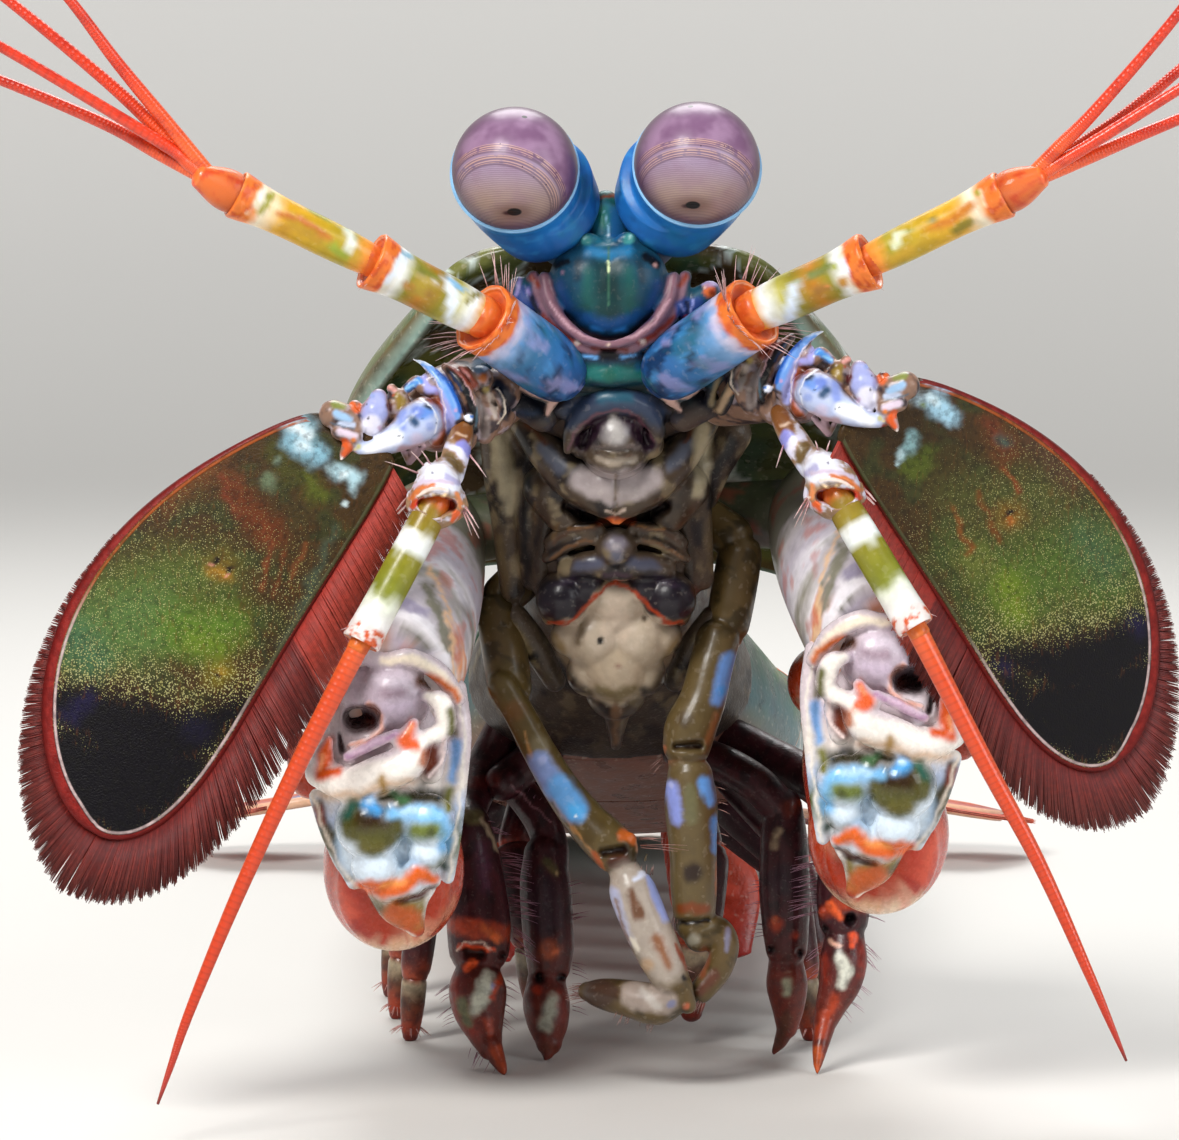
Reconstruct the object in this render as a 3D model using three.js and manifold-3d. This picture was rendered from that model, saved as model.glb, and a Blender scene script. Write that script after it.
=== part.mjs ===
// A peacock mantis shrimp at life size, reared up on its feet and looking along -Y.
// Millimetres, +Z up. The feet and the tail fan rest on z = 0 and the midline is x = 0.
// The right side of the animal is -X. Each limb has its own joint table for each side.
import * as THREE from 'three';
import Module from 'manifold-3d';
import { mergeVertices } from 'three/addons/utils/BufferGeometryUtils.js';

const wasm = await Module();
wasm.setup();

// Driving dimensions
const GAP = 0.3;                 // clearance between neighbouring plates and joints
const GROWTH = 0.44;             // how much a neighbour swells to cut that clearance
const MIDDLE_Y = 62.94;          // middle of the whole length, moved to the origin at the end
const SHELL = 1.2;               // thickness of the carapace wall
const EYE_RADIUS = 3.68;         // cornea
const EYE_SEAT = 1.75;           // how far behind the cornea's centre the cup's rim lies
const EYE_CUP = 3.7;             // length of the cup
const SCALE_LENGTH = 27.3;       // antennal scale, joint to tip
const SCALE_HALF = 6.3;          // half of its greatest width
const SCALE_THICK = 0.8;
const SCALE_CAMBER = 0.3;        // how far its middle stands in front of its margins
const SCALE_FRINGE = 3.9;        // the longest of the vanes round its inner margin and tip
const SCALE_VANES = 18;
const SCALE_VANE = 1.1;          // half width of one of them
const TAIL_FAN_THICK = 0.9;
const TAIL_FRINGE = 2.8;         // the vanes round each of the uropods' blades
const TAIL_VANES = 10;
const TAIL_VANE = 1.4;           // half width of one of them
const VANE_LAYER = 0.42;         // every other vane ends this far above the rim, the rest below it
const EXOPOD_SPINES = 9;         // movable spines along the exopod's outer margin

// Body stations from the rostral base to the telson tip
const BACK = line([
  [7.5, 6, 52], [5.8, 16.2, 45.6], [6, 24.5, 38.2], [9, 31, 30.6], [12.2, 38.5, 25.2], [12.8, 46.5, 22.8],
  [13.6, 55, 22.2], [14.5, 70, 22], [14.5, 88, 20.8], [14.2, 104, 17.6], [13.2, 115.5, 13.6], [9, 136, 2.3],
]);
const BELLY = line([
  [0, 4.5, 41.5], [0, 9, 34.5], [0, 15, 26.5], [0, 23, 19], [0, 32, 15], [0, 42, 12],
  [0, 52, 10.4], [0, 68, 9.4], [0, 87, 8.6], [0, 102.5, 6.8], [0, 113, 4.6], [0, 135.6, 0.4],
]);
const LAST_STATION = 11;
const CARAPACE_END = 3;
const THORAX_ENDS = [3.06, 4, 5, 6];
const ABDOMEN_ENDS = [6, 6.67, 7.28, 7.83, 8.46, 9.22, 10];

// Colours of the parts
const OLIVE = 0x5f6b2c;
const GREEN = 0x3f6b46;
const TEAL = 0x15626c;
const BLUE = 0x2a6fb0;
const LILAC = 0xa07c92;
const WHITE_BLUE = 0xc4cfe0;
const CREAM = 0xd8c3a6;
const ORANGE = 0xd9541e;
const RED = 0xa8231a;
const MAROON = 0x4a1518;

function line(rows) {
  const points = rows.map((row) => new THREE.Vector3(...row));
  return new THREE.CatmullRomCurve3(points, false, 'catmullrom', 0.5);
}

function vec(spot) {
  return spot.isVector3 ? spot.clone() : new THREE.Vector3(...spot);
}

function mix(a, b, t) {
  return a + (b - a) * t;
}

// Solids from three.js geometry
function signedVolume(spots, index) {
  const [a, b, c] = [new THREE.Vector3(), new THREE.Vector3(), new THREE.Vector3()];
  let volume = 0;
  for (let i = 0; i < index.length; i += 3) {
    a.fromBufferAttribute(spots, index[i]);
    b.fromBufferAttribute(spots, index[i + 1]);
    c.fromBufferAttribute(spots, index[i + 2]);
    volume += a.dot(b.cross(c)) / 6;
  }
  return volume;
}

function solid(geometry, place) {
  geometry.deleteAttribute('normal');
  geometry.deleteAttribute('uv');
  const merged = mergeVertices(geometry, 1e-6);
  const spots = merged.getAttribute('position');
  const spot = new THREE.Vector3();
  for (let i = 0; i < spots.count; i += 1) {
    place(spot.fromBufferAttribute(spots, i));
    spots.setXYZ(i, spot.x, spot.y, spot.z);
  }
  const index = Uint32Array.from(merged.getIndex().array);
  if (signedVolume(spots, index) < 0) {
    for (let i = 0; i < index.length; i += 3) [index[i], index[i + 1]] = [index[i + 1], index[i]];
  }
  const mesh = new wasm.Mesh({ numProp: 3, vertProperties: Float32Array.from(spots.array), triVerts: index });
  return new wasm.Manifold(mesh);
}

function largest(body) {
  const bodies = body.decompose();
  return bodies.reduce((best, one) => (one.volume() > best.volume() ? one : best));
}

// Joins pieces, and remembers the simple shapes that a body is made of
const SHAPES = new Map();
function withShapes(body, shapes) {
  SHAPES.set(body, shapes);
  return body;
}

function shapesOf(body) {
  return SHAPES.get(body) ?? [body];
}

function fuse(pieces) {
  const body = largest(pieces.reduce((sum, piece) => sum.add(piece)));
  return withShapes(body, pieces.flatMap(shapesOf));
}

function geometryOf(body) {
  const { vertProperties, triVerts, numProp } = body.getMesh();
  const spots = [];
  for (let i = 0; i < vertProperties.length; i += numProp) {
    spots.push(vertProperties[i], vertProperties[i + 1], vertProperties[i + 2]);
  }
  const geometry = new THREE.BufferGeometry();
  geometry.setAttribute('position', new THREE.Float32BufferAttribute(spots, 3));
  geometry.setIndex(Array.from(triVerts));
  geometry.computeVertexNormals();
  return geometry;
}

// A simple shape swollen by the clearance along its normals
function swollen(shape) {
  const geometry = geometryOf(shape);
  const normals = geometry.getAttribute('normal').clone();
  const spots = geometry.getAttribute('position');
  for (let i = 0; i < spots.count; i += 1) {
    const swell = (axis) => spots.getComponent(i, axis) + GROWTH * normals.getComponent(i, axis);
    spots.setXYZ(i, swell(0), swell(1), swell(2));
  }
  return solid(geometry, () => {});
}

// Cuts a piece so that it stays clear of each of its neighbours
function clearOf(piece, ...neighbours) {
  const swellings = neighbours.flatMap(shapesOf).map(swollen);
  const body = largest(swellings.reduce((rest, swelling) => rest.subtract(swelling), piece));
  return withShapes(body, shapesOf(piece));
}

function aboveFloor(piece) {
  return withShapes(largest(piece.trimByPlane([0, 0, 1], 0)), shapesOf(piece));
}

// A closed tube through rings, each with a centre and two half axes
function loft(rings, sides = 8, square = 1) {
  const last = rings.length - 1;
  const round = (n) => Math.sign(n) * Math.abs(n) ** square;
  return solid(new THREE.CylinderGeometry(1, 1, 1, sides, last), (spot) => {
    const ring = rings[Math.round((0.5 - spot.y) * last)];
    const [across, deep] = [round(spot.x), round(spot.z)];
    spot.copy(ring.at).addScaledVector(ring.across, across).addScaledVector(ring.deep, deep);
  });
}

// Rings square to a path: each station is a place with a radius, or a half width and a half depth
function ringsAlong(stations, upward = [0, 0, 1]) {
  const places = stations.map(([place]) => vec(place));
  const up = vec(upward);
  return stations.map(([, size], i) => {
    const [wide, deep] = Array.isArray(size) ? size : [size, size];
    const before = i > 0 ? places[i].clone().sub(places[i - 1]).normalize() : new THREE.Vector3();
    const after = i < places.length - 1 ? places[i + 1].clone().sub(places[i]).normalize() : new THREE.Vector3();
    const run = before.add(after).normalize();
    const across = up.clone().cross(run).normalize();
    const over = run.clone().cross(across).normalize();
    return { at: places[i], across: across.multiplyScalar(wide), deep: over.multiplyScalar(deep) };
  });
}

function tube(stations, sides = 8, upward = [0, 0, 1]) {
  return loft(ringsAlong(stations, upward), sides);
}

// Stations of a jointed limb: each segment swells between its joints and narrows at them
const SEGMENT_PROFILE = [[0.14, 0.96], [0.86, 1.03]];
function limb(joints, widths, { sides = 8, neck = 0.72, tip = 0.5, upward = [0, 0, 1] } = {}) {
  const stations = [[joints[0], widths[0] * neck]];
  for (let i = 0; i < joints.length - 1; i += 1) {
    const [start, end] = [vec(joints[i]), vec(joints[i + 1])];
    const endWidth = i < joints.length - 2 ? widths[i] : widths[i] * tip;
    for (const [share, swell] of SEGMENT_PROFILE) {
      stations.push([start.clone().lerp(end, share), mix(widths[i], endWidth, share) * swell]);
    }
    const next = i < joints.length - 2 ? Math.min(widths[i], widths[i + 1]) * neck : endWidth * neck;
    stations.push([end, next]);
  }
  return tube(stations, sides, upward);
}

function ball(at, size, wide = 10, high = 7) {
  const centre = vec(at);
  return solid(new THREE.SphereGeometry(1, wide, high), (spot) => {
    spot.set(spot.x * size[0], spot.z * size[1], spot.y * size[2]).add(centre);
  });
}

function spine(root, tip, radius, sides = 5) {
  const [start, end] = [vec(root), vec(tip)];
  const run = end.clone().sub(start);
  const turn = new THREE.Quaternion().setFromUnitVectors(new THREE.Vector3(0, 1, 0), run.clone().normalize());
  return solid(new THREE.ConeGeometry(radius, run.length(), sides), (spot) => {
    spot.y += run.length() / 2;
    spot.applyQuaternion(turn).add(start);
  });
}

// A flat tapered vane: it starts inside its root, and its end rises from it by lift
function vane(root, tip, width, face, lift) {
  const end = vec(tip).addScaledVector(face, lift);
  const middle = vec(root).lerp(vec(tip), 0.5).addScaledVector(face, lift * 0.75);
  return tube([[root, [width, 0.36]], [middle, [width, 0.34]], [end, [width * 0.4, 0.14]]], 3, face);
}

function layered(i) {
  return i % 2 ? VANE_LAYER : -VANE_LAYER;
}

// A closed sheet: at(u, t, layer) gives a point for u and t from 0 to 1 and layer -1 or 1
function sheet(across, along, at) {
  const face = new THREE.PlaneGeometry(1, 1, across, along);
  const spots = face.getAttribute('position');
  const index = Array.from(face.getIndex().array);
  const count = spots.count;
  const vertices = [];
  for (const layer of [1, -1]) {
    for (let i = 0; i < count; i += 1) {
      vertices.push(...at(spots.getX(i) + 0.5, 0.5 - spots.getY(i), layer).toArray());
    }
  }
  const triangles = [...index];
  for (let i = 0; i < index.length; i += 3) {
    triangles.push(index[i] + count, index[i + 2] + count, index[i + 1] + count);
  }
  const row = across + 1;
  const border = [];
  for (let i = 0; i < across; i += 1) border.push(i);
  for (let j = 0; j < along; j += 1) border.push(j * row + across);
  for (let i = across; i > 0; i -= 1) border.push(along * row + i);
  for (let j = along; j > 0; j -= 1) border.push(j * row);
  border.forEach((near, i) => {
    const far = border[(i + 1) % border.length];
    triangles.push(near, far, near + count, far, far + count, near + count);
  });
  const geometry = new THREE.BufferGeometry();
  geometry.setAttribute('position', new THREE.Float32BufferAttribute(vertices, 3));
  geometry.setIndex(triangles);
  return solid(geometry, () => {});
}

// The trunk, and the rings of the thorax and abdomen
function bodyRing(station, widen = 1, sink = 0) {
  const share = station / LAST_STATION;
  const back = BACK.getPoint(share);
  const half = back.x * widen;
  back.x = 0;
  const belly = BELLY.getPoint(share);
  const down = belly.clone().sub(back).normalize();
  back.addScaledVector(down, sink);
  return {
    at: back.clone().add(belly).multiplyScalar(0.5),
    across: new THREE.Vector3(half, 0, 0),
    deep: back.clone().sub(belly).multiplyScalar(0.5),
  };
}

function bodyPoint(station, x, depth) {
  const share = station / LAST_STATION;
  const back = BACK.getPoint(share);
  back.x = 0;
  const belly = BELLY.getPoint(share);
  return back.lerp(belly, depth).setX(x);
}

const TRUNK_SINK = SHELL + 2 * GAP + 0.2;
const trunk = loft([0.5, 1, 1.6, 2.3, THORAX_ENDS[0]].map((q) => bodyRing(q, 1, TRUNK_SINK)), 14, 0.85);

function thoraxSomite(number) {
  const [start, end] = [THORAX_ENDS[number - 6] + 0.035, THORAX_ENDS[number - 5]];
  const rings = [[start, 0.95], [mix(start, end, 0.35), 1], [end, 1.03]];
  return loft(rings.map(([q, widen]) => bodyRing(q, widen)), 16, 0.85);
}

function pleopod(q, side) {
  const root = bodyPoint(q, side * 6.2, 0.86);
  const foot = bodyPoint(q, side * 8.4, 1).setZ(1.6);
  foot.y -= 3.4;
  const middle = root.clone().lerp(foot, 0.55);
  return tube([[root, [1.2, 0.8]], [middle, [3.2, 0.7]], [foot, [1.6, 0.45]]], 6, [0, -1, 0.4]);
}

const REAR_SPINES = [2.6, 6.6, 10.2];
function rearSpine(q, x) {
  const root = bodyPoint(q - 0.06, x, 0).add(new THREE.Vector3(0, 0, -0.011 * x * x));
  const tip = root.clone().add(new THREE.Vector3(0.06 * x, 3.0, 0.5));
  return spine(root, tip, 0.75, 5);
}

function abdomenSomite(number) {
  const [start, end] = [ABDOMEN_ENDS[number - 1] + 0.022, ABDOMEN_ENDS[number]];
  const rings = [[start, 0.96], [mix(start, end, 0.3), 0.995], [mix(start, end, 0.75), 1.02], [end, 1.035]];
  const pieces = [loft(rings.map(([q, widen]) => bodyRing(q, widen)), 16, 0.8)];
  if (number < 6) {
    const middle = mix(start, end, 0.5);
    pieces.push(pleopod(middle, 1), pleopod(middle, -1));
  } else {
    pieces.push(...REAR_SPINES.flatMap((x) => [rearSpine(end, x), rearSpine(end, -x)]));
  }
  return aboveFloor(fuse(pieces));
}

// The carapace: an arched shell, narrow in front, with sides that turn down
const CARAPACE_ARCH = 1.46;
const CARAPACE_HALF = line([[10, 0, 0], [16.6, 0, 0], [17.4, 0, 0], [15.6, 0, 0]]);
const CARAPACE_DROP = line([[2.8, 0, 0], [6.6, 0, 0], [8.4, 0, 0], [8, 0, 0]]);
function carapacePoint(u, t, layer) {
  const side = 2 * u - 1;
  const front = 0.16 * Math.abs(side) ** 2.5;
  const rear = CARAPACE_END - 0.14 * (1 - side * side) - 0.1 * Math.abs(side) ** 8;
  const q = mix(front, rear, t);
  const back = BACK.getPoint(q / LAST_STATION).setX(0);
  const belly = BELLY.getPoint(q / LAST_STATION);
  const down = belly.sub(back).normalize();
  const share = q / CARAPACE_END;
  const half = CARAPACE_HALF.getPoint(share).x;
  const drop = CARAPACE_DROP.getPoint(share).x * Math.abs(side) ** 3.6;
  const spot = back.clone().addScaledVector(down, drop);
  spot.x = (half * Math.sin(side * CARAPACE_ARCH)) / Math.sin(CARAPACE_ARCH);
  const inward = down.clone().setX(-Math.sign(side) * 1.6 * Math.abs(side) ** 3).normalize();
  return spot.addScaledVector(inward, layer > 0 ? 0 : SHELL);
}
const carapace = sheet(14, 9, carapacePoint);

// The rostral plate hinges on the carapace and reaches forward between the eyes
const ROSTRAL_LENGTH = 3.9;
const rostralSheet = sheet(6, 3, (u, t, layer) => {
  const side = 2 * u - 1;
  const half = mix(2.8, 0.5, t ** 0.8);
  const arch = 0.55 * side * side;
  return new THREE.Vector3(side * half, 5.5 - ROSTRAL_LENGTH * 0.78 * t, 52.9 + ROSTRAL_LENGTH * 0.4 * t - arch)
    .add(new THREE.Vector3(0, 0, layer > 0 ? 0.1 : -0.7));
});

// The head: the plate between the eyes, the bars below it and the block that carries the feelers
const HEAD_BACK = bodyRing(0.5);
const headNormal = new THREE.Vector3(1, 0, 0).cross(HEAD_BACK.deep).normalize();
if (headNormal.y > 0) headNormal.negate();
const headWhole = fuse([
  ball([0, 6, 44.3], [8.2, 5.4, 5.0], 10, 7),
  ball([-0.1, -0.1, 48.9], [3.55, 2.9, 3.1], 10, 7),
  ball([0, 3.1, 50.4], [3.1, 2.5, 1.5], 8, 5),
  tube([[[-3.1, 0.6, 44.9], 0.9], [[0, -0.6, 44.3], [1.3, 1.0]], [[3.1, 0.6, 44.9], 0.9]], 6),
  tube([[[-3.9, 2.2, 43.2], 0.8], [[-2, 0.9, 41.9], 0.9], [[2, 0.9, 41.9], 0.9], [[3.9, 2.2, 43.2], 0.8]], 6),
]);
const headFront = headWhole.trimByPlane(headNormal.toArray(), headNormal.dot(HEAD_BACK.at) + GAP);
const head = withShapes(largest(headFront), shapesOf(headWhole));

const rostralPlate = clearOf(rostralSheet, head);

// Mouth parts on the front of the head and trunk
const labrum = clearOf(ball([0, 3.2, 39.5], [1.75, 2.6, 1.8], 8, 6), head);
const mandibleLobes = [-1, 1].map((side) => tube([
  [[side * 5, 6.2, 39.2], [0.8, 1.2]], [[side * 3, 5.4, 37.6], [1.5, 2.0]], [[side * 0.4, 5.6, 35.4], [0.8, 1.2]],
], 8));
const mandibles = clearOf(fuse([...mandibleLobes, ball([0, 6.0, 36.0], [1.5, 1.9, 1.6], 8, 6)]), trunk, head, labrum);
const maxillae = clearOf(fuse([
  tube([[[0, 8.2, 33.6], [2.6, 1.1]], [[0, 10.4, 30.4], [4.0, 1.9]], [[0, 12.6, 26.6], [3.3, 1.9]],
    [[0, 15.0, 22.2], [1.4, 1.3]], [[0, 16.2, 20.6], [0.6, 0.6]]], 10, [0, -1, 0]),
  ball([-3.3, 9.2, 31.0], [1.3, 1.7, 1.7], 8, 6),
  ball([3.3, 9.2, 31.0], [1.3, 1.7, 1.7], 8, 6),
]), trunk, mandibles);

// Joint tables of the two sides, right first where they are paired
const JOINTS = {
  right: {
    side: -1,
    eye: { centre: [-5.67, -1, 55.8], root: [-3.31, 3.5, 51.94] },
    antennule: [[-2.6, 1.2, 43.6], [-7.45, -3, 47.2], [-13.75, -5, 50.5], [-21.4, -7, 54.3]],
    strands: [
      [[-28.2, -8.3, 61.9], [-30.7, -9.2, 65.3], [-37, -11, 72.6]],
      [[-28.9, -7, 60.8], [-34.5, -6.5, 65.4], [-41.8, -5.6, 70.6]],
      [[-25.9, -7.6, 57.4], [-34.7, -9, 62.7], [-43.8, -10.6, 66.9]],
      [[-29.1, -6.3, 58.4], [-35.1, -5.8, 60.9], [-43.4, -4.4, 63.6]],
    ],
    protopod: [-9.7, 0.6, 42.5],
    crescent: [[-12, 1.2, 44.8], [-10.4, -1.6, 43.8], [-9.3, -2.2, 40.8]],
    exopod: [-12.4, -3.0, 41.0],
    fingers: [[-14.0, -4.9, 42.1], [-14.0, -5.1, 40.1]],
    scaleRoot: [-15.0, -4.0, 40.3],
    scaleRun: [-13.8, -2.6, -23.4],
    scaleOut: [-0.863, 0.16, 0.505],
    peduncle: [[-9.0, -1.2, 41.6], [-8.95, -4, 39.3], [-10.1, -6, 36.8], [-14.35, -8, 28.9]],
    flagellum: [[-17.9, -8.5, 22.0], [-21.35, -9, 14.6], [-24.2, -9.5, 7.75], [-26.05, -10, 2.4]],
    merus: [[-13.2, -1.5, 26.3], [-10.9, 17.3, 34.0]],
    ischium: [-5.2, 19.5, 34.0],
    carpus: [-13.1, -1.9, 16.6],
    propodus: [[-13, 2.4, 13.2], [-13.2, 9.6, 14.9], [-11.9, 18.6, 18.8]],
    dactyl: [[-11.4, 19.7, 22.3], [-11.9, 14.2, 22.5], [-12.6, 8, 20.9], [-12.8, 4.4, 19.9]],
    cleaner: [[-4.6, 14.6, 31.6], [-7.0, 12.0, 29.6], [-6.05, 10.5, 23.7], [0.45, 8, 14.0], [3.4, 7.2, 6.6]],
    cleanerHand: [[3.6, 7.2, 6.3], [1.6, 8.8, 5.4], [-0.9, 11.5, 5.4]],
    maxilliped3: [[-6.6, 26.0, 20.6], [-9.1, 22.8, 15.2], [-7.9, 17.8, 7.2], [-6.6, 13.8, -0.4]],
    maxilliped4: [[-4.0, 24.2, 19.4], [-5.4, 20.2, 17.2], [-3.4, 19.6, 12.2], [-3.4, 19.4, 6.2], [-4.2, 18.8, -0.4]],
    maxilliped5: [[-5.0, 30.0, 16.6], [-6.2, 27, 12.4], [-4.8, 25, 6.6], [-4.6, 25, 2.2]],
  },
  left: {
    side: 1,
    eye: { centre: [4.94, -1, 56.1], root: [3.03, 3.5, 52.4] },
    antennule: [[2.8, 1.2, 43.7], [8.1, -3, 47.5], [14.7, -5, 50.5], [22.25, -7, 54.3]],
    strands: [
      [[27.6, -8.3, 59.3], [32, -9.5, 64.6], [36.8, -11, 72.2]],
      [[29.4, -7, 59.0], [32.9, -6.5, 61.9], [40.4, -5.8, 68.6]],
      [[27.2, -7.8, 57.2], [33.6, -9, 61.2], [43, -10.8, 66.2]],
      [[30.8, -6.3, 58.0], [35.4, -5.8, 59.8], [43.9, -4.4, 62.4]],
    ],
    protopod: [10.2, 0.6, 43.0],
    crescent: [[12.4, 1.2, 46.3], [10.9, -1.6, 45.1], [9.7, -2.2, 42.0]],
    exopod: [13.1, -3.0, 42.7],
    fingers: [[14.7, -5.2, 43.7], [14.9, -5.7, 41.7]],
    scaleRoot: [15.1, -4.9, 42.2],
    scaleRun: [13.9, 7.6, -22.15],
    scaleOut: [0.8, 0.3, 0.49],
    peduncle: [[9.9, -1.2, 42.2], [10.6, -4, 39.9], [12.8, -6, 37.3], [17.3, -8, 29.75]],
    flagellum: [[21.3, -8.5, 22.0], [24.5, -9, 16.0], [27.3, -9.5, 9.8], [29.4, -10, 4.9]],
    merus: [[16.2, -0.2, 28.2], [12.6, 17.3, 35.2]],
    ischium: [5.2, 20.3, 34.4],
    carpus: [15.9, -1.1, 18.8],
    propodus: [[16.1, 2.7, 15.4], [16.0, 9.8, 17.0], [14.0, 18.6, 20.4]],
    dactyl: [[13.4, 19.7, 23.9], [14.2, 14.2, 24.3], [15.2, 8, 23.0], [15.6, 4.6, 21.9]],
    cleaner: [[4.6, 13.2, 35.4], [8.0, 11.8, 33.2], [7.0, 11.2, 27.5], [4.65, 9.5, 19.8], [4.9, 9, 10.6]],
    cleanerHand: [[5.2, 9.4, 10.3], [6.3, 10.4, 8.4], [4.5, 9.6, 5.6]],
    maxilliped3: [[6.8, 26.8, 20.2], [13.2, 24.0, 15.0], [14.4, 18.6, 8.4], [12.8, 14.2, -0.4]],
    maxilliped4: [[4.4, 24.2, 19.2], [8.6, 20.4, 17.3], [9.8, 20.8, 12.4], [10.0, 21.8, 6.8], [9.5, 21.6, -0.4]],
    maxilliped5: [[5.0, 30.0, 16.6], [6.2, 27, 12.4], [5.4, 25, 6.6], [5.2, 25, 2.2]],
  },
};

// Eyes: a cup on a short stalk, and a domed cornea that sits on the cup's rim
function eyeAxis(eye) {
  return vec(eye.centre).sub(vec(eye.root)).normalize();
}

function eyeStalk({ side, eye }) {
  const axis = eyeAxis(eye);
  const at = (along) => vec(eye.centre).addScaledVector(axis, along);
  const bottom = -EYE_SEAT - EYE_CUP;
  const cup = tube([
    [at(bottom - 0.3), 2.1], [at(bottom), 2.65], [at(bottom + 1.3), 2.75],
    [at(-EYE_SEAT - 0.5), 3.4], [at(-EYE_SEAT), 3.5],
  ], 10);
  const stalk = tube([[at(bottom + 1), 1.4], [[side * 1.7, 4.4, 50.6], 1.4]], 6);
  return clearOf(fuse([cup, stalk]), head, rostralPlate);
}

function cornea({ eye }) {
  const axis = eyeAxis(eye);
  const dome = ball(eye.centre, [EYE_RADIUS, EYE_RADIUS, EYE_RADIUS], 14, 10);
  return dome.trimByPlane(axis.toArray(), axis.dot(vec(eye.centre)) - EYE_SEAT + GAP);
}

// Antennules: three stout segments, then feelers that spread from the last one
const ANTENNULE_WIDTHS = [2.15, 1.4, 1.1];
function antennulePeduncle({ antennule }) {
  return clearOf(limb(antennule, ANTENNULE_WIDTHS, { neck: 0.8, tip: 1 }), head);
}

function antennuleFlagella({ antennule, strands }) {
  const end = vec(antennule[3]);
  const run = end.clone().sub(vec(antennule[2])).normalize();
  const root = end.clone().addScaledVector(run, GAP);
  const inner = root.clone().addScaledVector(run, 0.9);
  const pieces = [tube([[root, 0.9], [inner, 1.1], [inner.clone().addScaledVector(run, 1.2), 0.7]], 8)];
  for (const [near, edge, far] of strands) {
    pieces.push(tube([
      [inner, 0.42], [inner.clone().lerp(vec(near), 0.5), 0.4], [near, 0.35],
      [edge, 0.3], [vec(edge).lerp(vec(far), 0.5), 0.26], [far, 0.12],
    ], 5, [0, 1, 0]));
  }
  return fuse(pieces);
}

// Antennae: a knobbed base, the three-jointed peduncle with its whip, and the broad scale
function antennaBase({ side, protopod, crescent, exopod, fingers }) {
  const [tip, middle, foot] = crescent;
  const pieces = [
    ball(protopod, [2.5, 2.9, 2.6], 8, 5),
    tube([[[side * 6.6, 4.4, 42.8], 2.2], [protopod, 2.3], [exopod, 1.6]], 6),
    tube([[foot, 0.7], [middle, 0.95], [vec(middle).lerp(vec(tip), 0.6), 0.7], [tip, 0.15]], 5, [0, 1, 0]),
    ball(exopod, [2.1, 2.2, 1.8], 7, 5),
    ...fingers.map((finger) => tube([[exopod, 1.1], [finger, 0.75]], 5)),
  ];
  return clearOf(fuse(pieces), head);
}

const PEDUNCLE_WIDTHS = [1.45, 1.6, 1.02];
const PEDUNCLE_END = 0.86;
function antennaPeduncle({ peduncle }, base) {
  return clearOf(limb(peduncle, PEDUNCLE_WIDTHS, { neck: 0.8, tip: PEDUNCLE_END }), base);
}

function antennaFlagellum({ peduncle, flagellum }) {
  const end = vec(peduncle[3]);
  const run = vec(flagellum[0]).sub(end).normalize();
  const root = end.clone().addScaledVector(run, GAP);
  const [a, b, c, tip] = flagellum;
  return tube([[root, 0.62], [a, 0.52], [b, 0.42], [c, 0.3], [vec(c).lerp(vec(tip), 0.6), 0.22], [tip, 0.1]], 8);
}

// The scale's outline, by a turn from -1 at the inner base through 0 at the tip to 1 at the outer base
const SCALE_WIDEST = 0.57;
function scaleHalf(t) {
  if (t < SCALE_WIDEST) return mix(2.9, SCALE_HALF, Math.sin((Math.PI / 2) * (t / SCALE_WIDEST)) ** 0.75);
  return SCALE_HALF * Math.max(0, 1 - ((t - SCALE_WIDEST) / (1 - SCALE_WIDEST)) ** 2.2) ** 0.5;
}

function scaleShift(t) {
  return 1.4 * t + 2.6 * Math.sin(Math.PI * Math.min(t, 1)) ** 0.9;
}

function scaleShare(turn) {
  const part = Math.min(Math.abs(turn), 1);
  if (part > 0.5) return SCALE_WIDEST * (2 - 2 * part);
  return SCALE_WIDEST + (1 - SCALE_WIDEST) * Math.max(0, Math.cos(part * Math.PI)) ** 0.909;
}

function scaleFrame({ scaleRoot, scaleRun, scaleOut }) {
  const run = vec(scaleRun).normalize();
  const out = vec(scaleOut).addScaledVector(run, -vec(scaleOut).dot(run)).normalize();
  const face = run.clone().cross(out).normalize();
  if (face.y > 0) face.negate();
  return { root: vec(scaleRoot), run, out, face };
}

// A place on the scale: along and aside in millimetres, lift from its cambered middle surface
function onScale({ root, run, out, face }, along, aside, lift) {
  const t = along / SCALE_LENGTH;
  const across = (aside - scaleShift(Math.min(Math.max(t, 0), 1))) / SCALE_HALF;
  const height = lift + SCALE_CAMBER * (0.5 - Math.min(across * across, 1.6));
  return root.clone().addScaledVector(run, along).addScaledVector(out, aside).addScaledVector(face, height);
}

function scaleEdge(frame, turn, beyond, lift) {
  const t = scaleShare(turn);
  const rise = Math.abs(turn) > 0.5 ? 0 : Math.cos(turn * Math.PI);
  const slope = turn < 0 ? 0.5 + 0.5 * rise : rise;
  const outward = Math.sign(turn) * Math.sqrt(1 - Math.min(slope, 1) ** 2);
  const half = Math.max(scaleHalf(t), 0.3);
  const along = SCALE_LENGTH * t + beyond * slope;
  return onScale(frame, along, scaleShift(t) + Math.sign(turn) * half + beyond * outward, lift);
}

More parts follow.
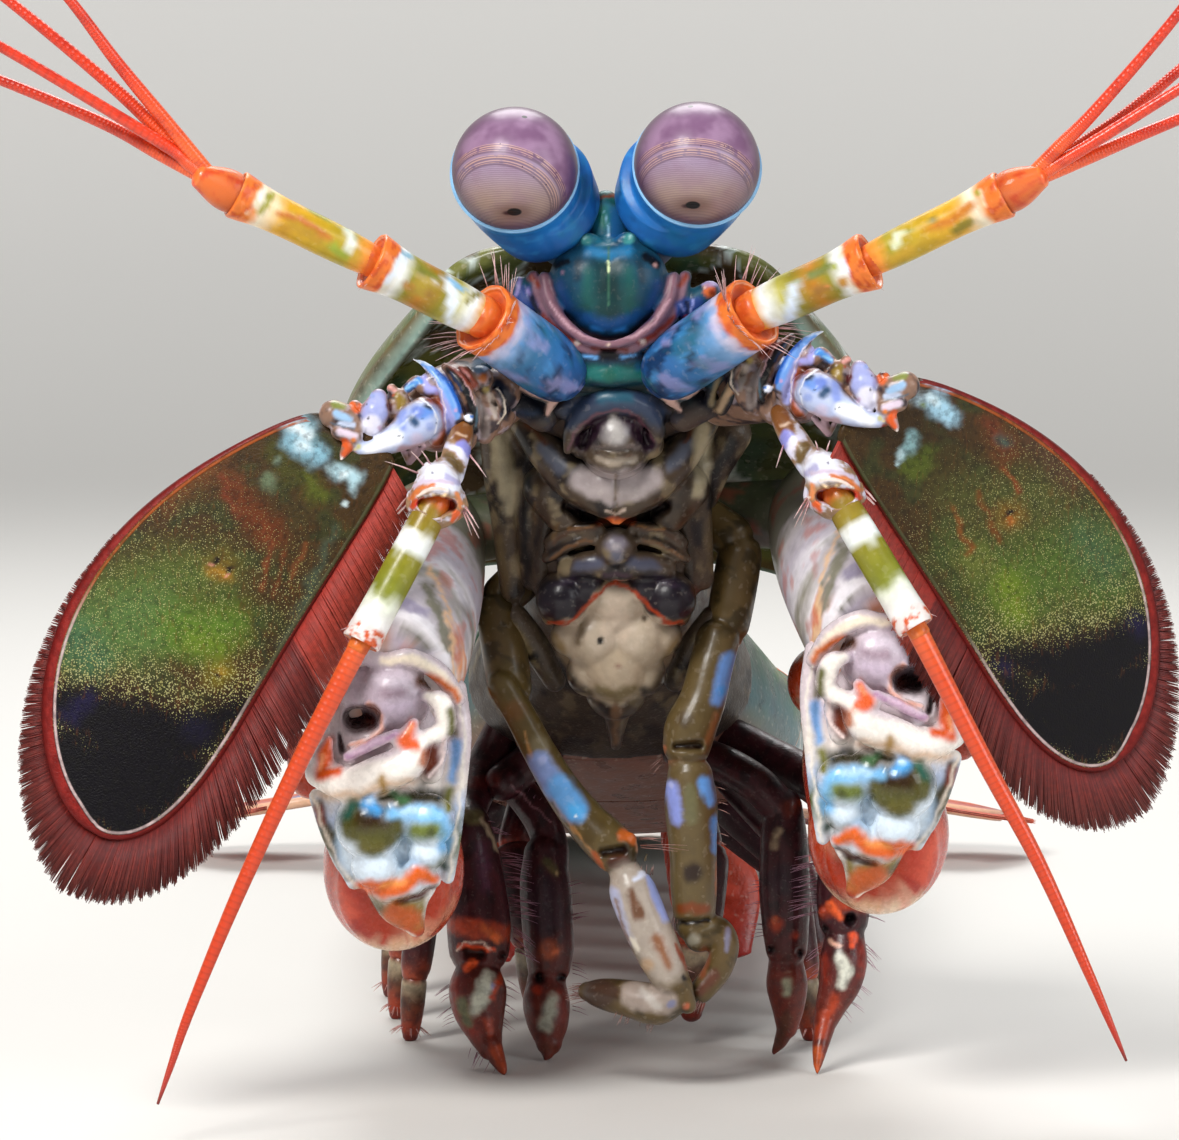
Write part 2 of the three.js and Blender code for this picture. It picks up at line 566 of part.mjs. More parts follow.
function antennalScale(joints, base, peduncle) {
  const frame = scaleFrame(joints);
  const plate = sheet(4, 7, (u, t, layer) => {
    const share = scaleShare(mix(-1, -0.03, t));
    const aside = scaleShift(share) + (2 * u - 1) * Math.max(scaleHalf(share), 0.4);
    return onScale(frame, SCALE_LENGTH * share + 0.9 * (1 - t), aside, (layer * SCALE_THICK) / 2);
  });
  const vanes = Array.from({ length: SCALE_VANES }, (_, i) => {
    const turn = mix(-0.9, 0.25, (i + 0.5) / SCALE_VANES);
    const length = SCALE_FRINGE * (turn < 0 ? Math.min(1, 1.65 + 1.1 * turn) : 1 - 2.2 * turn);
    return vane(scaleEdge(frame, turn, -0.9, 0), scaleEdge(frame, turn, length, 0), SCALE_VANE, frame.face, layered(i));
  });
  const hinge = tube([[onScale(frame, 3.2, 0.4, 0), [1.5, 0.3]], [onScale(frame, 0.6, 0, 0), [1.3, 0.8]], [joints.exopod, 1.1]], 6);
  return clearOf(fuse([plate, hinge, ...vanes]), base, peduncle);
}

// Raptorial legs: the heavy upper segment, the knobbed wrist, the hand and the hammer
const MERUS_SIZE = [[3.3, 3.9], [4.1, 4.7], [4.4, 4.9], [4.3, 4.8]];
function raptorialMerus({ merus, ischium }) {
  const [front, rear] = merus.map(vec);
  const at = (share) => front.clone().lerp(rear, share);
  const main = tube([
    [at(1.02), [2.2, 2.8]], [at(0.9), MERUS_SIZE[0]], [at(0.6), MERUS_SIZE[1]],
    [at(0.25), MERUS_SIZE[2]], [at(0.06), MERUS_SIZE[3]], [at(0), [3.5, 4.0]],
  ], 12);
  const root = tube([[at(0.93), 2.3], [ischium, 1.9]], 8);
  return clearOf(fuse([main, root]), trunk);
}

function raptorialCarpus({ side, carpus }, merusBody) {
  const at = (x, y, z) => [carpus[0] + side * x, carpus[1] + y, carpus[2] + z];
  return clearOf(fuse([
    ball(at(0, 0, 0), [4.1, 3.6, 5.4], 9, 6),
    tube([[at(0, 0.4, 3.4), 2.8], [at(0, 1.6, 8.6), 2.3]], 7),
    tube([[at(3.4, -2, 5.2), 0.8], [at(0.4, -3.3, 3.6), 1.3], [at(-3.0, -2, 5.0), 0.9], [at(-2.2, -2.6, 7.0), 0.6]], 5,
      [0, -1, 0]),
    ball(at(1.6, -2.6, 0.8), [2.1, 1.9, 2.0], 6, 5),
    ball(at(-2.0, -2.6, 0.9), [1.9, 1.8, 1.9], 6, 5),
    spine(at(0.3, -2.4, -1.2), at(-0.6, -3.7, -4.4), 1.5, 5),
    ball(at(-0.4, -0.9, -4.5), [2.4, 1.9, 1.8], 7, 5),
  ]), merusBody);
}

function raptorialPropodus({ propodus }, carpusBody) {
  const [front, middle, rear] = propodus.map(vec);
  const body = tube([
    [front, [3.4, 4.0]], [front.clone().lerp(middle, 0.35), [4.3, 4.9]], [middle, [4.0, 4.4]],
    [middle.clone().lerp(rear, 0.6), [3.0, 3.1]], [rear, [2.0, 2.2]],
  ], 12);
  return clearOf(body, carpusBody);
}

function raptorialDactyl({ dactyl }, neighbours) {
  const [heel, ...blade] = dactyl;
  const body = fuse([
    ball(heel, [2.3, 2.6, 2.4], 8, 6),
    tube([[heel, 1.5], [blade[0], 1.15], [blade[1], 0.8], [blade[2], 0.25]], 8),
  ]);
  return clearOf(body, ...neighbours);
}

// The slender cleaning limbs, the small maxillipeds and the walking legs
function cleaningLimb({ cleaner, cleanerHand }, merusBody) {
  const pieces = [
    limb(cleaner, [1.3, 1.4, 1.45, 1.5], { sides: 6, neck: 0.85, tip: 0.8 }),
    limb(cleanerHand, [1.0, 0.9], { sides: 6, neck: 0.9, tip: 0.6 }),
  ];
  return clearOf(fuse(pieces), trunk, merusBody);
}

const MAXILLIPED_WIDTHS = { 3: [1.5, 2.0, 1.7], 4: [1.4, 1.8, 1.9, 1.5], 5: [1.2, 1.6, 1.4] };
function smallMaxilliped(number, joints) {
  const path = joints[`maxilliped${number}`];
  const tipShare = number === 5 ? 0.6 : 0.32;
  const body = limb(path, MAXILLIPED_WIDTHS[number], { sides: 6, neck: 0.8, tip: tipShare, upward: [1, 0.2, 0] });
  return aboveFloor(clearOf(body, trunk, thoraxSomite(6)));
}

const LEG_ROWS = [[3.55, 12.6], [4.5, 13.8], [5.5, 14.6]];
function walkingLeg(number, side) {
  const [station, reach] = LEG_ROWS[number - 1];
  const root = bodyPoint(station, side * 7.4, 0.9);
  const knee = new THREE.Vector3(side * (reach - 1.2), root.y - 0.8, root.z - 4.4);
  const ankle = new THREE.Vector3(side * reach, root.y - 1.6, 4.2);
  const foot = new THREE.Vector3(side * (reach + 0.3), root.y - 1.4, -0.5);
  const leg = limb([root, knee, ankle, foot], [1.35, 1.05, 0.85], { sides: 6, neck: 0.85, tip: 0.7 });
  return aboveFloor(clearOf(leg, thoraxSomite(number + 5)));
}

// The tail fan: the telson with its keels and teeth, and on each side a uropod with two blades
const TELSON_RINGS = [[10.03, 0.94], [10.25, 1], [10.6, 1.0], [10.9, 0.9], [11, 0.7]];
const TELSON_KEELS = [0, 4.2, -4.2];
const TELSON_TEETH = [[3.0, 10.93, 2.6], [7.0, 10.86, 2.4], [10.9, 10.62, 2.0]];
function telsonKeel(x) {
  const rise = 0.5 - 0.014 * x * x;
  const at = (q, lift) => bodyPoint(q, x * mix(1, 0.82, q - 10), 0).add(new THREE.Vector3(0, 0, lift));
  return tube([[at(10.12, rise - 1.1), 0.8], [at(10.5, rise - 0.8), 0.9], [at(10.9, rise - 1.2), 0.5]], 4, [0, 0, 1]);
}

function telsonTooth([x, station, length], side) {
  const root = bodyPoint(station, side * x, 0.5);
  const tip = root.clone().add(new THREE.Vector3(side * 0.35 * length, length, -0.1 * length));
  root.y -= 2;
  return tube([[root, [1.9, 0.8]], [root.clone().lerp(tip, 0.5), [1.4, 0.7]], [tip, [0.25, 0.2]]], 5);
}

const telsonTeeth = [1, -1].flatMap((side) => TELSON_TEETH.map((tooth) => telsonTooth(tooth, side)));
const telson = aboveFloor(fuse([
  loft(TELSON_RINGS.map(([q, widen]) => bodyRing(q, widen)), 16, 0.8),
  ...TELSON_KEELS.map(telsonKeel),
  ...telsonTeeth,
]));

const UROPOD_ROOT = [11.2, 111.5, 7.2];
const ENDOPOD_ROOT = [11.9, 116.0, 4.6];
const ENDOPOD_TIP = [19.2, 134.2, 1.5];
const EXOPOD_TIP = [33.0, 121.8, 3.4];
const EXOPOD_KNEE = [21.6, 116.8, 5.8];

// A blade of the fan and its rim of vanes: the turn runs from -1 through 0 at the tip to 1
function bladeFrame(start, end, half, lean) {
  const [from, to] = [vec(start), vec(end)];
  const run = to.clone().sub(from).normalize();
  const out = vec(lean).addScaledVector(run, -vec(lean).dot(run)).normalize();
  return { from, to, half, run, out, face: run.clone().cross(out).normalize() };
}

function bladeHalf(half, t) {
  return half * Math.max(0.16, Math.sin(Math.PI * (0.14 + 0.84 * t)) ** 0.7);
}

function blade({ from, to, half, out, face }) {
  return sheet(2, 5, (u, t, layer) => {
    const spot = from.clone().lerp(to, t).addScaledVector(out, (2 * u - 1) * bladeHalf(half, t));
    return spot.addScaledVector(face, (layer * TAIL_FAN_THICK) / 2);
  });
}

function bladeVanes({ from, to, half, run, out, face }, count, reach) {
  return Array.from({ length: count }, (_, i) => {
    const turn = mix(-reach[0], reach[1], (i + 0.5) / count);
    const t = 1 - Math.abs(turn) ** 1.6;
    const ahead = Math.cos((Math.min(1, Math.abs(turn) * 1.3) * Math.PI) / 2) * 0.85 + 0.15;
    const aside = Math.sign(turn) * Math.sqrt(1 - Math.min(1, ahead) ** 2);
    const direction = run.clone().multiplyScalar(ahead).addScaledVector(out, aside).normalize();
    const edge = from.clone().lerp(to, t).addScaledVector(out, Math.sign(turn) * bladeHalf(half, t) * 0.9);
    const tip = edge.clone().addScaledVector(direction, TAIL_FRINGE);
    return vane(edge.clone().addScaledVector(direction, -0.9), tip, TAIL_VANE, face, layered(i));
  });
}

function sided(spot, side) {
  return [side * spot[0], spot[1], spot[2]];
}

function exopodSpines(first, side) {
  return Array.from({ length: EXOPOD_SPINES }, (_, i) => {
    const t = mix(0.3, 1.02, i / (EXOPOD_SPINES - 1));
    const edge = first.from.clone().lerp(first.to, t).addScaledVector(first.out, bladeHalf(first.half, t) * 0.86);
    const tip = edge.clone().addScaledVector(first.out, mix(1.3, 2.0, t)).addScaledVector(first.run, mix(0.6, 1.6, t));
    return spine(edge, tip, 0.42, 4);
  });
}

function uropodExopod(side) {
  const [root, knee, tip] = [UROPOD_ROOT, EXOPOD_KNEE, EXOPOD_TIP].map((spot) => sided(spot, side));
  const lean = [side * 0.35, -0.94, 0];
  const first = bladeFrame(vec(root).lerp(vec(knee), 0.1), vec(knee).lerp(vec(tip), 0.1), 3.6, lean);
  const last = bladeFrame(knee, tip, 4.6, lean);
  const body = fuse([
    tube([[root, 2.1], [vec(root).lerp(vec(knee), 0.3), [2.4, 1.7]]], 8),
    blade(first),
    blade(last),
    ...exopodSpines(first, side),
    ...bladeVanes(last, TAIL_VANES, [0.82, 0.75]),
  ]);
  return aboveFloor(clearOf(body, abdomenSomite(6), telson));
}

function uropodEndopod(side, neighbour) {
  const [root, tip] = [ENDOPOD_ROOT, ENDOPOD_TIP].map((spot) => sided(spot, side));
  const frame = bladeFrame(root, tip, 3.4, [side * 0.9, -0.35, 0]);
  const body = fuse([blade(frame), ...bladeVanes(frame, TAIL_VANES, [0.8, 0.8])]);
  return aboveFloor(clearOf(body, telson, neighbour));
}

// The exported group
const group = new THREE.Group();
group.position.set(0, -MIDDLE_Y, 0);

function add(name, body, color, roughness = 0.4) {
  const finish = new THREE.MeshStandardMaterial({ color, roughness, metalness: 0 });
  const mesh = new THREE.Mesh(geometryOf(body), finish);
  mesh.name = name;
  group.add(mesh);
}

add('carapace', carapace, OLIVE);
add('rostral_plate', rostralPlate, TEAL);
add('head', head, TEAL);
add('labrum', labrum, WHITE_BLUE);
add('mandibles', mandibles, CREAM);
add('maxillae', maxillae, CREAM);
add('trunk', trunk, CREAM);
for (const number of [6, 7, 8]) add(`thorax_${number}`, thoraxSomite(number), GREEN);
for (const number of [1, 2, 3, 4, 5, 6]) add(`abdomen_${number}`, abdomenSomite(number), GREEN);
add('telson', telson, GREEN);

for (const [name, joints] of Object.entries(JOINTS)) {
  add(`eye_stalk_${name}`, eyeStalk(joints), BLUE);
  add(`cornea_${name}`, cornea(joints), LILAC, 0.15);
  add(`antennule_peduncle_${name}`, antennulePeduncle(joints), BLUE);
  add(`antennule_flagella_${name}`, antennuleFlagella(joints), ORANGE);
  const base = antennaBase(joints);
  add(`antenna_base_${name}`, base, WHITE_BLUE);
  const peduncle = antennaPeduncle(joints, base);
  add(`antenna_peduncle_${name}`, peduncle, OLIVE);
  add(`antenna_flagellum_${name}`, antennaFlagellum(joints), ORANGE);
  add(`antennal_scale_${name}`, antennalScale(joints, base, peduncle), OLIVE);
  const merus = raptorialMerus(joints);
  const carpus = raptorialCarpus(joints, merus);
  const propodus = raptorialPropodus(joints, carpus);
  add(`raptorial_merus_${name}`, merus, WHITE_BLUE);
  add(`raptorial_carpus_${name}`, carpus, WHITE_BLUE);
  add(`raptorial_propodus_${name}`, propodus, ORANGE);
  add(`raptorial_dactyl_${name}`, raptorialDactyl(joints, [propodus, merus, carpus]), ORANGE);
  add(`maxilliped_1_${name}`, cleaningLimb(joints, merus), OLIVE);
  for (const number of [3, 4, 5]) add(`maxilliped_${number}_${name}`, smallMaxilliped(number, joints), MAROON);
  for (const number of [1, 2, 3]) {
    add(`walking_leg_${number}_${name}`, walkingLeg(number, joints.side), MAROON);
  }
  const exopod = uropodExopod(joints.side);
  add(`uropod_exopod_${name}`, exopod, RED);
  add(`uropod_endopod_${name}`, uropodEndopod(joints.side, exopod), RED);
}

export default group;
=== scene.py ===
"""The looks of a peacock mantis shrimp at life size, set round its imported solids.

Until a piece is finished its lengths are millimetres in the animal's own frame: the midline is
x = 0, the floor is z = 0, and y runs from the rostrum, near 2, to the telson's tip, near 136.
The right side of the animal is -x.
"""
import math
import random

import bmesh
import bpy
import numpy as np
from mathutils import Matrix, Vector


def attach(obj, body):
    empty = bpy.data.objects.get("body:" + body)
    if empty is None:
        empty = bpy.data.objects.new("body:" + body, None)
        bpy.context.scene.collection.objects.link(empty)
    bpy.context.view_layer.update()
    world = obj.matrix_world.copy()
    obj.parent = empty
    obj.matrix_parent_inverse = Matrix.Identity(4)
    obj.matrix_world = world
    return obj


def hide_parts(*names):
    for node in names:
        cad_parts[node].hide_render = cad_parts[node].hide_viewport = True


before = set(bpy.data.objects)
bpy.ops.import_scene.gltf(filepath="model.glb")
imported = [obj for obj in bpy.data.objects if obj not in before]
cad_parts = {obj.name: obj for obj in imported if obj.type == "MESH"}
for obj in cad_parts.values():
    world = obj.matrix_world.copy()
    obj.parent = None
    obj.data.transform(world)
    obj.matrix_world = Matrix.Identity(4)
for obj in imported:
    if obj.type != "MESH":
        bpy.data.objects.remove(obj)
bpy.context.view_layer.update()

# The animal's frame in the shared one
MM = 0.001
MIDDLE_Y = 62.94
TO_FRAME = Matrix.Diagonal((MM, MM, MM, 1)) @ Matrix.Translation((0, -MIDDLE_Y, 0))

# Driving sizes, as in the solids
SHELL = 1.2
EYE_RADIUS = 3.68
EYE_SEAT = 1.75
EYE_CUP = 3.7
SCALE_LENGTH = 27.3
SCALE_HALF = 6.3
SCALE_THICK = 0.8
SCALE_CAMBER = 0.3
SCALE_FRINGE = 3.9
SCALE_WIDEST = 0.57
TAIL_FAN_THICK = 0.9
TAIL_FRINGE = 2.8

# Body stations from the rostral base to the telson tip
BACK = [
    (7.5, 6, 52), (5.8, 16.2, 45.6), (6, 24.5, 38.2), (9, 31, 30.6), (12.2, 38.5, 25.2),
    (12.8, 46.5, 22.8), (13.6, 55, 22.2), (14.5, 70, 22), (14.5, 88, 20.8), (14.2, 104, 17.6),
    (13.2, 115.5, 13.6), (9, 136, 2.3),
]
BELLY = [
    (0, 4.5, 41.5), (0, 9, 34.5), (0, 15, 26.5), (0, 23, 19), (0, 32, 15), (0, 42, 12),
    (0, 52, 10.4), (0, 68, 9.4), (0, 87, 8.6), (0, 102.5, 6.8), (0, 113, 4.6), (0, 135.6, 0.4),
]
LAST_STATION = len(BACK) - 1
CARAPACE_END = 3
THORAX_ENDS = [3.06, 4, 5, 6]
ABDOMEN_ENDS = [6, 6.67, 7.28, 7.83, 8.46, 9.22, 10]

# Joint tables of the two sides
JOINTS = {
    "right": {
        "side": -1,
        "eye": {"centre": (-5.67, -1, 55.8), "root": (-3.31, 3.5, 51.94)},
        "antennule": [(-2.6, 1.2, 43.6), (-7.45, -3, 47.2), (-13.75, -5, 50.5), (-21.4, -7, 54.3)],
        "strands": [
            [(-28.2, -8.3, 61.9), (-30.7, -9.2, 65.3), (-37, -11, 72.6)],
            [(-28.9, -7, 60.8), (-34.5, -6.5, 65.4), (-41.8, -5.6, 70.6)],
            [(-25.9, -7.6, 57.4), (-34.7, -9, 62.7), (-43.8, -10.6, 66.9)],
            [(-29.1, -6.3, 58.4), (-35.1, -5.8, 60.9), (-43.4, -4.4, 63.6)],
        ],
        "protopod": (-9.7, 0.6, 42.5),
        "crescent": [(-12, 1.2, 44.8), (-10.4, -1.6, 43.8), (-9.3, -2.2, 40.8)],
        "exopod": (-12.4, -3.0, 41.0),
        "fingers": [(-14.0, -4.9, 42.1), (-14.0, -5.1, 40.1)],
        "scale_root": (-15.0, -4.0, 40.3),
        "scale_run": (-13.8, -2.6, -23.4),
        "scale_out": (-0.863, 0.16, 0.505),
        "peduncle": [(-9.0, -1.2, 41.6), (-8.95, -4, 39.3), (-10.1, -6, 36.8), (-14.35, -8, 28.9)],
        "flagellum": [(-17.9, -8.5, 22.0), (-21.35, -9, 14.6), (-24.2, -9.5, 7.75), (-26.05, -10, 2.4)],
        "merus": [(-13.2, -1.5, 26.3), (-10.9, 17.3, 34.0)],
        "ischium": (-5.2, 19.5, 34.0),
        "carpus": (-13.1, -1.9, 16.6),
        "propodus": [(-13, 2.4, 13.2), (-13.2, 9.6, 14.9), (-11.9, 18.6, 18.8)],
        "dactyl": [(-11.4, 19.7, 22.3), (-11.9, 14.2, 22.5), (-12.6, 8, 20.9), (-12.8, 4.4, 19.9)],
        "cleaner": [
            (-4.6, 14.6, 31.6), (-7.0, 12.0, 29.6), (-6.05, 10.5, 23.7), (0.45, 8, 14.0), (3.4, 7.2, 6.6),
        ],
        "cleaner_hand": [(3.6, 7.2, 6.3), (1.6, 8.8, 5.4), (-0.9, 11.5, 5.4)],
        "maxilliped_3": [(-6.6, 26.0, 20.6), (-9.1, 22.8, 15.2), (-7.9, 17.8, 7.2), (-6.6, 13.8, 0)],
        "maxilliped_4": [
            (-4.0, 24.2, 19.4), (-5.4, 20.2, 17.2), (-3.4, 19.6, 12.2), (-3.4, 19.4, 6.2),
            (-4.2, 18.8, 0),
        ],
        "maxilliped_5": [(-5.0, 30.0, 16.6), (-6.2, 27, 12.4), (-4.8, 25, 6.6), (-4.6, 25, 2.2)],
    },
    "left": {
        "side": 1,
        "eye": {"centre": (4.94, -1, 56.1), "root": (3.03, 3.5, 52.4)},
        "antennule": [(2.8, 1.2, 43.7), (8.1, -3, 47.5), (14.7, -5, 50.5), (22.25, -7, 54.3)],
        "strands": [
            [(27.6, -8.3, 59.3), (32, -9.5, 64.6), (36.8, -11, 72.2)],
            [(29.4, -7, 59.0), (32.9, -6.5, 61.9), (40.4, -5.8, 68.6)],
            [(27.2, -7.8, 57.2), (33.6, -9, 61.2), (43, -10.8, 66.2)],
            [(30.8, -6.3, 58.0), (35.4, -5.8, 59.8), (43.9, -4.4, 62.4)],
        ],
        "protopod": (10.2, 0.6, 43.0),
        "crescent": [(12.4, 1.2, 46.3), (10.9, -1.6, 45.1), (9.7, -2.2, 42.0)],
        "exopod": (13.1, -3.0, 42.7),
        "fingers": [(14.7, -5.2, 43.7), (14.9, -5.7, 41.7)],
        "scale_root": (15.1, -4.9, 42.2),
        "scale_run": (13.9, 7.6, -22.15),
        "scale_out": (0.8, 0.3, 0.49),
        "peduncle": [(9.9, -1.2, 42.2), (10.6, -4, 39.9), (12.8, -6, 37.3), (17.3, -8, 29.75)],
        "flagellum": [(21.3, -8.5, 22.0), (24.5, -9, 16.0), (27.3, -9.5, 9.8), (29.4, -10, 4.9)],
        "merus": [(16.2, -0.2, 28.2), (12.6, 17.3, 35.2)],
        "ischium": (5.2, 20.3, 34.4),
        "carpus": (15.9, -1.1, 18.8),
        "propodus": [(16.1, 2.7, 15.4), (16.0, 9.8, 17.0), (14.0, 18.6, 20.4)],
        "dactyl": [(13.4, 19.7, 23.9), (14.2, 14.2, 24.3), (15.2, 8, 23.0), (15.6, 4.6, 21.9)],
        "cleaner": [
            (4.6, 13.2, 35.4), (8.0, 11.8, 33.2), (7.0, 11.2, 27.5), (4.65, 9.5, 19.8), (4.9, 9, 10.6),
        ],
        "cleaner_hand": [(5.2, 9.4, 10.3), (6.3, 10.4, 8.4), (4.5, 9.6, 5.6)],
        "maxilliped_3": [(6.8, 26.8, 20.2), (13.2, 24.0, 15.0), (14.4, 18.6, 8.4), (12.8, 14.2, 0)],
        "maxilliped_4": [
            (4.4, 24.2, 19.2), (8.6, 20.4, 17.3), (9.8, 20.8, 12.4), (10.0, 21.8, 6.8), (9.5, 21.6, 0),
        ],
        "maxilliped_5": [(5.0, 30.0, 16.6), (6.2, 27, 12.4), (5.4, 25, 6.6), (5.2, 25, 2.2)],
    },
}


# Numbers and colours
def tint(code):
    """A colour written as six hex digits, in linear light."""
    parts = np.array([int(code[i:i + 2], 16) / 255 for i in (0, 2, 4)])
    return np.where(parts <= 0.04045, parts / 12.92, ((parts + 0.055) / 1.055) ** 2.4)


def vec(spot):
    return np.array(spot, float)


def unit(rows):
    rows = np.asarray(rows, float)
    return rows / np.maximum(np.linalg.norm(rows, axis=-1, keepdims=True), 1e-9)


def mix(a, b, t):
    return a + (b - a) * t


def smooth_step(low, high, value):
    t = np.clip((value - low) / (high - low), 0, 1)
    return t * t * (3 - 2 * t)


def along_line(rows, share):
    """Points at each share, 0 to 1, of a smooth line through rows of numbers."""
    rows = np.array(rows, float)
    last = len(rows) - 1
    padded = np.vstack([2 * rows[0] - rows[1], rows, 2 * rows[-1] - rows[-2]])
    at = np.clip(np.atleast_1d(share), 0, 1) * last
    start = np.minimum(at.astype(int), last - 1)
    t = (at - start)[:, None]
    a, b, c, d = (padded[start + k] for k in range(4))
    return 0.5 * (2 * b + (c - a) * t + (2 * a - 5 * b + 4 * c - d) * t ** 2
                  + (3 * b - a - 3 * c + d) * t ** 3)


def ripple(spots, size, seed=0, octaves=3):
    """Smooth noise from about -1 to 1 with features of that size."""
    draw = np.random.default_rng(seed)
    total = np.zeros(len(spots))
    for octave in range(octaves):
        for _ in range(5):
            direction = unit(draw.normal(size=3))
            pace = 2 * math.pi / size * 2 ** octave * draw.uniform(0.7, 1.3)
            total += np.sin(spots @ direction * pace + draw.uniform(0, 2 * math.pi)) / 2 ** octave
    return total / 3.2


def banded(share, stops):
    """Colours along a share: stops are (share, colour), and runs between two stops are blended."""
    places = [stop[0] for stop in stops]
    colours = np.array([tint(stop[1]) for stop in stops])
    return np.stack([np.interp(share, places, colours[:, k]) for k in range(3)], axis=1)


def plain(code, rows):
    """The same colour for every row."""
    return np.tile(tint(code), (len(rows), 1))


def over(colours, cover, colour):
    """Lays a colour over others where cover is 1."""
    return colours * (1 - cover[:, None]) + tint(colour) * cover[:, None]


def patched(colours, spots, size, seed, colour, cover, low, high):
    """Lays a colour over others in patches of that size, whose edges run from low to high in the noise."""
    return over(colours, cover * smooth_step(low, high, ripple(spots, size, seed)), colour)


def end_to_end(*stops):
    """The paint of a tube whose colours change from its start to its end."""
    return lambda u, share, spots: banded(share, stops)


# Shapes: each works on a mesh in millimetres with a UV map and a painted colour at each vertex
class Shape:
    def __init__(self, *notes, charted=False):
        """notes name numbers kept at each vertex, and charted asks for a UV map, for a material to read."""
        self.bm = bmesh.new()
        self.uv = self.bm.loops.layers.uv.new("UVMap") if charted else None
        self.paint = self.bm.verts.layers.float_color.new("Paint")
        self.notes = {name: self.bm.verts.layers.float.new(name) for name in notes}


# The photograph's frame. A sheet is an enlarged part of it: its corner's pixel and its units to a pixel
CAMERA_PLACE = (-1.3235, -299.2692, 53.2799)
CAMERA_PITCH = math.radians(4)
FOCAL = 5100
MIDDLE_PIXEL = (589.5, 570)


def seen(sheet, spots):
    """Where places show on a sheet, from its left and its top."""
    away = spots - vec(CAMERA_PLACE)
    c, s = math.cos(CAMERA_PITCH), math.sin(CAMERA_PITCH)
    depth = away[:, 1] * c - away[:, 2] * s
    rise = away[:, 1] * s + away[:, 2] * c
    pixel = np.stack([MIDDLE_PIXEL[0] + FOCAL * away[:, 0] / depth,
                      MIDDLE_PIXEL[1] - FOCAL * rise / depth], axis=1)
    return (pixel - sheet[:2]) * sheet[2]


def shown(sheet, x, y, depth):
    """The place at that y of the animal's frame which shows there on a sheet."""
    right = (sheet[0] + x / sheet[2] - MIDDLE_PIXEL[0]) / FOCAL
    down = (sheet[1] + y / sheet[2] - MIDDLE_PIXEL[1]) / FOCAL
    c, s = math.cos(CAMERA_PITCH), math.sin(CAMERA_PITCH)
    run = np.array([right, c - down * s, -s - down * c])
    return vec(CAMERA_PLACE) + run * (depth - CAMERA_PLACE[1]) / run[1]


def brush(places, line):
    """How far places on a sheet lie outside a line of discs, each x, y and radius."""
    line = np.array(line, float).reshape(-1, 3)
    reach = np.linalg.norm(places - line[0, :2], axis=1) - line[0, 2]
    for a, b in zip(line, line[1:]):
        run = b[:2] - a[:2]
        t = np.clip((places - a[:2]) @ run / (run @ run), 0, 1)
        beside = np.linalg.norm(places - a[:2] - t[:, None] * run, axis=1)
        reach = np.minimum(reach, beside - mix(a[2], b[2], t))
    return reach


def facing_front(normals):
    return smooth_step(0.25, -0.15, normals[:, 1])


def stroked(sheet, spots, facing, colours, strokes, waver, grain, seed):
    """Lays brush strokes on what faces forwards: each is a colour, a softness and a line of discs."""
    shift = np.stack([ripple(spots, grain, seed), ripple(spots, grain, seed + 1)], axis=1)
    places = seen(sheet, spots) + waver * shift
    for colour, soft, line in strokes:
        cover = smooth_step(soft, -soft, brush(places, line)) * facing
        colours = over(colours, cover, colour)
    return colours


def carved(shape, sheet, cuts, move=None):
    """Presses what faces forwards in along y: each cut is a depth, a softness and a line of discs."""
    shape.bm.normal_update()
    verts = shape.bm.verts[:]
    spots = np.array([vertex.co for vertex in verts])
    facing = smooth_step(0.05, -0.4, np.array([vertex.normal.y for vertex in verts]))
    places = seen(sheet, spots if move is None else move(spots))
    for depth, soft, line in cuts:
        spots[:, 1] += depth * facing * smooth_step(soft, -soft, brush(places, line))
    for vertex, spot in zip(verts, spots):
        vertex.co = spot


def modelled(shape, sheet, rows, move=None, sides=24):
    """Adds tubes and balls shown on a sheet: each row is a line of x, y, depth and radius."""
    for row in rows:
        line = np.array(row, float).reshape(-1, 4)
        places = np.array([shown(sheet, x, y, depth) for x, y, depth, _ in line])
        places = places if move is None else move(places)
        if len(line) == 1:
            orb(shape, places[0], (line[0, 3],) * 3, sides=sides, rows=sides * 2 // 3)
        else:
            upward = (0, -1, 0) if abs(unit(places[-1] - places[0])[1]) < 0.8 else (0, 0, 1)
            stations = list(zip(places, line[:, 3]))
            tube(shape, stations, sides=sides, rings=12 * len(line), upward=upward, ends=(1, 1))


# The colour of a shape without a paint of its own
PLAIN = "c8b49a"


def surface(shape, columns, rows, at):
    """A grid bent to at(u, v): places, UV places, colours and a dict of notes; doubles are merged."""
    made = bmesh.ops.create_grid(shape.bm, x_segments=columns, y_segments=rows, size=1)["verts"]
    flat = np.array([vertex.co for vertex in made])
    places, chart, colours, notes = at((flat[:, 0] + 1) / 2, (flat[:, 1] + 1) / 2)
    layers = [(shape.notes[name], values) for name, values in notes.items()]
    for i, vertex in enumerate(made):
        vertex.co = places[i]
        vertex[shape.paint] = (*colours[i], 1)
        for layer, values in layers:
            vertex[layer] = values[i]
    if shape.uv:
        charted = dict(zip(made, chart))
        for face in {face for vertex in made for face in vertex.link_faces}:
            for loop in face.loops:
                loop[shape.uv].uv = charted[loop.vert]
    bmesh.ops.remove_doubles(shape.bm, verts=made, dist=1e-4)


def rings_along(places, sizes, upward=(0, 0, 1)):
    """Ring frames square to a path: centre, half width and half depth vectors."""
    run = unit(np.gradient(places, axis=0))
    across = unit(np.cross(np.array(upward, float), run))
    deep = unit(np.cross(run, across))
    return np.stack([places, across * sizes[:, :1], deep * sizes[:, 1:]], axis=1), run


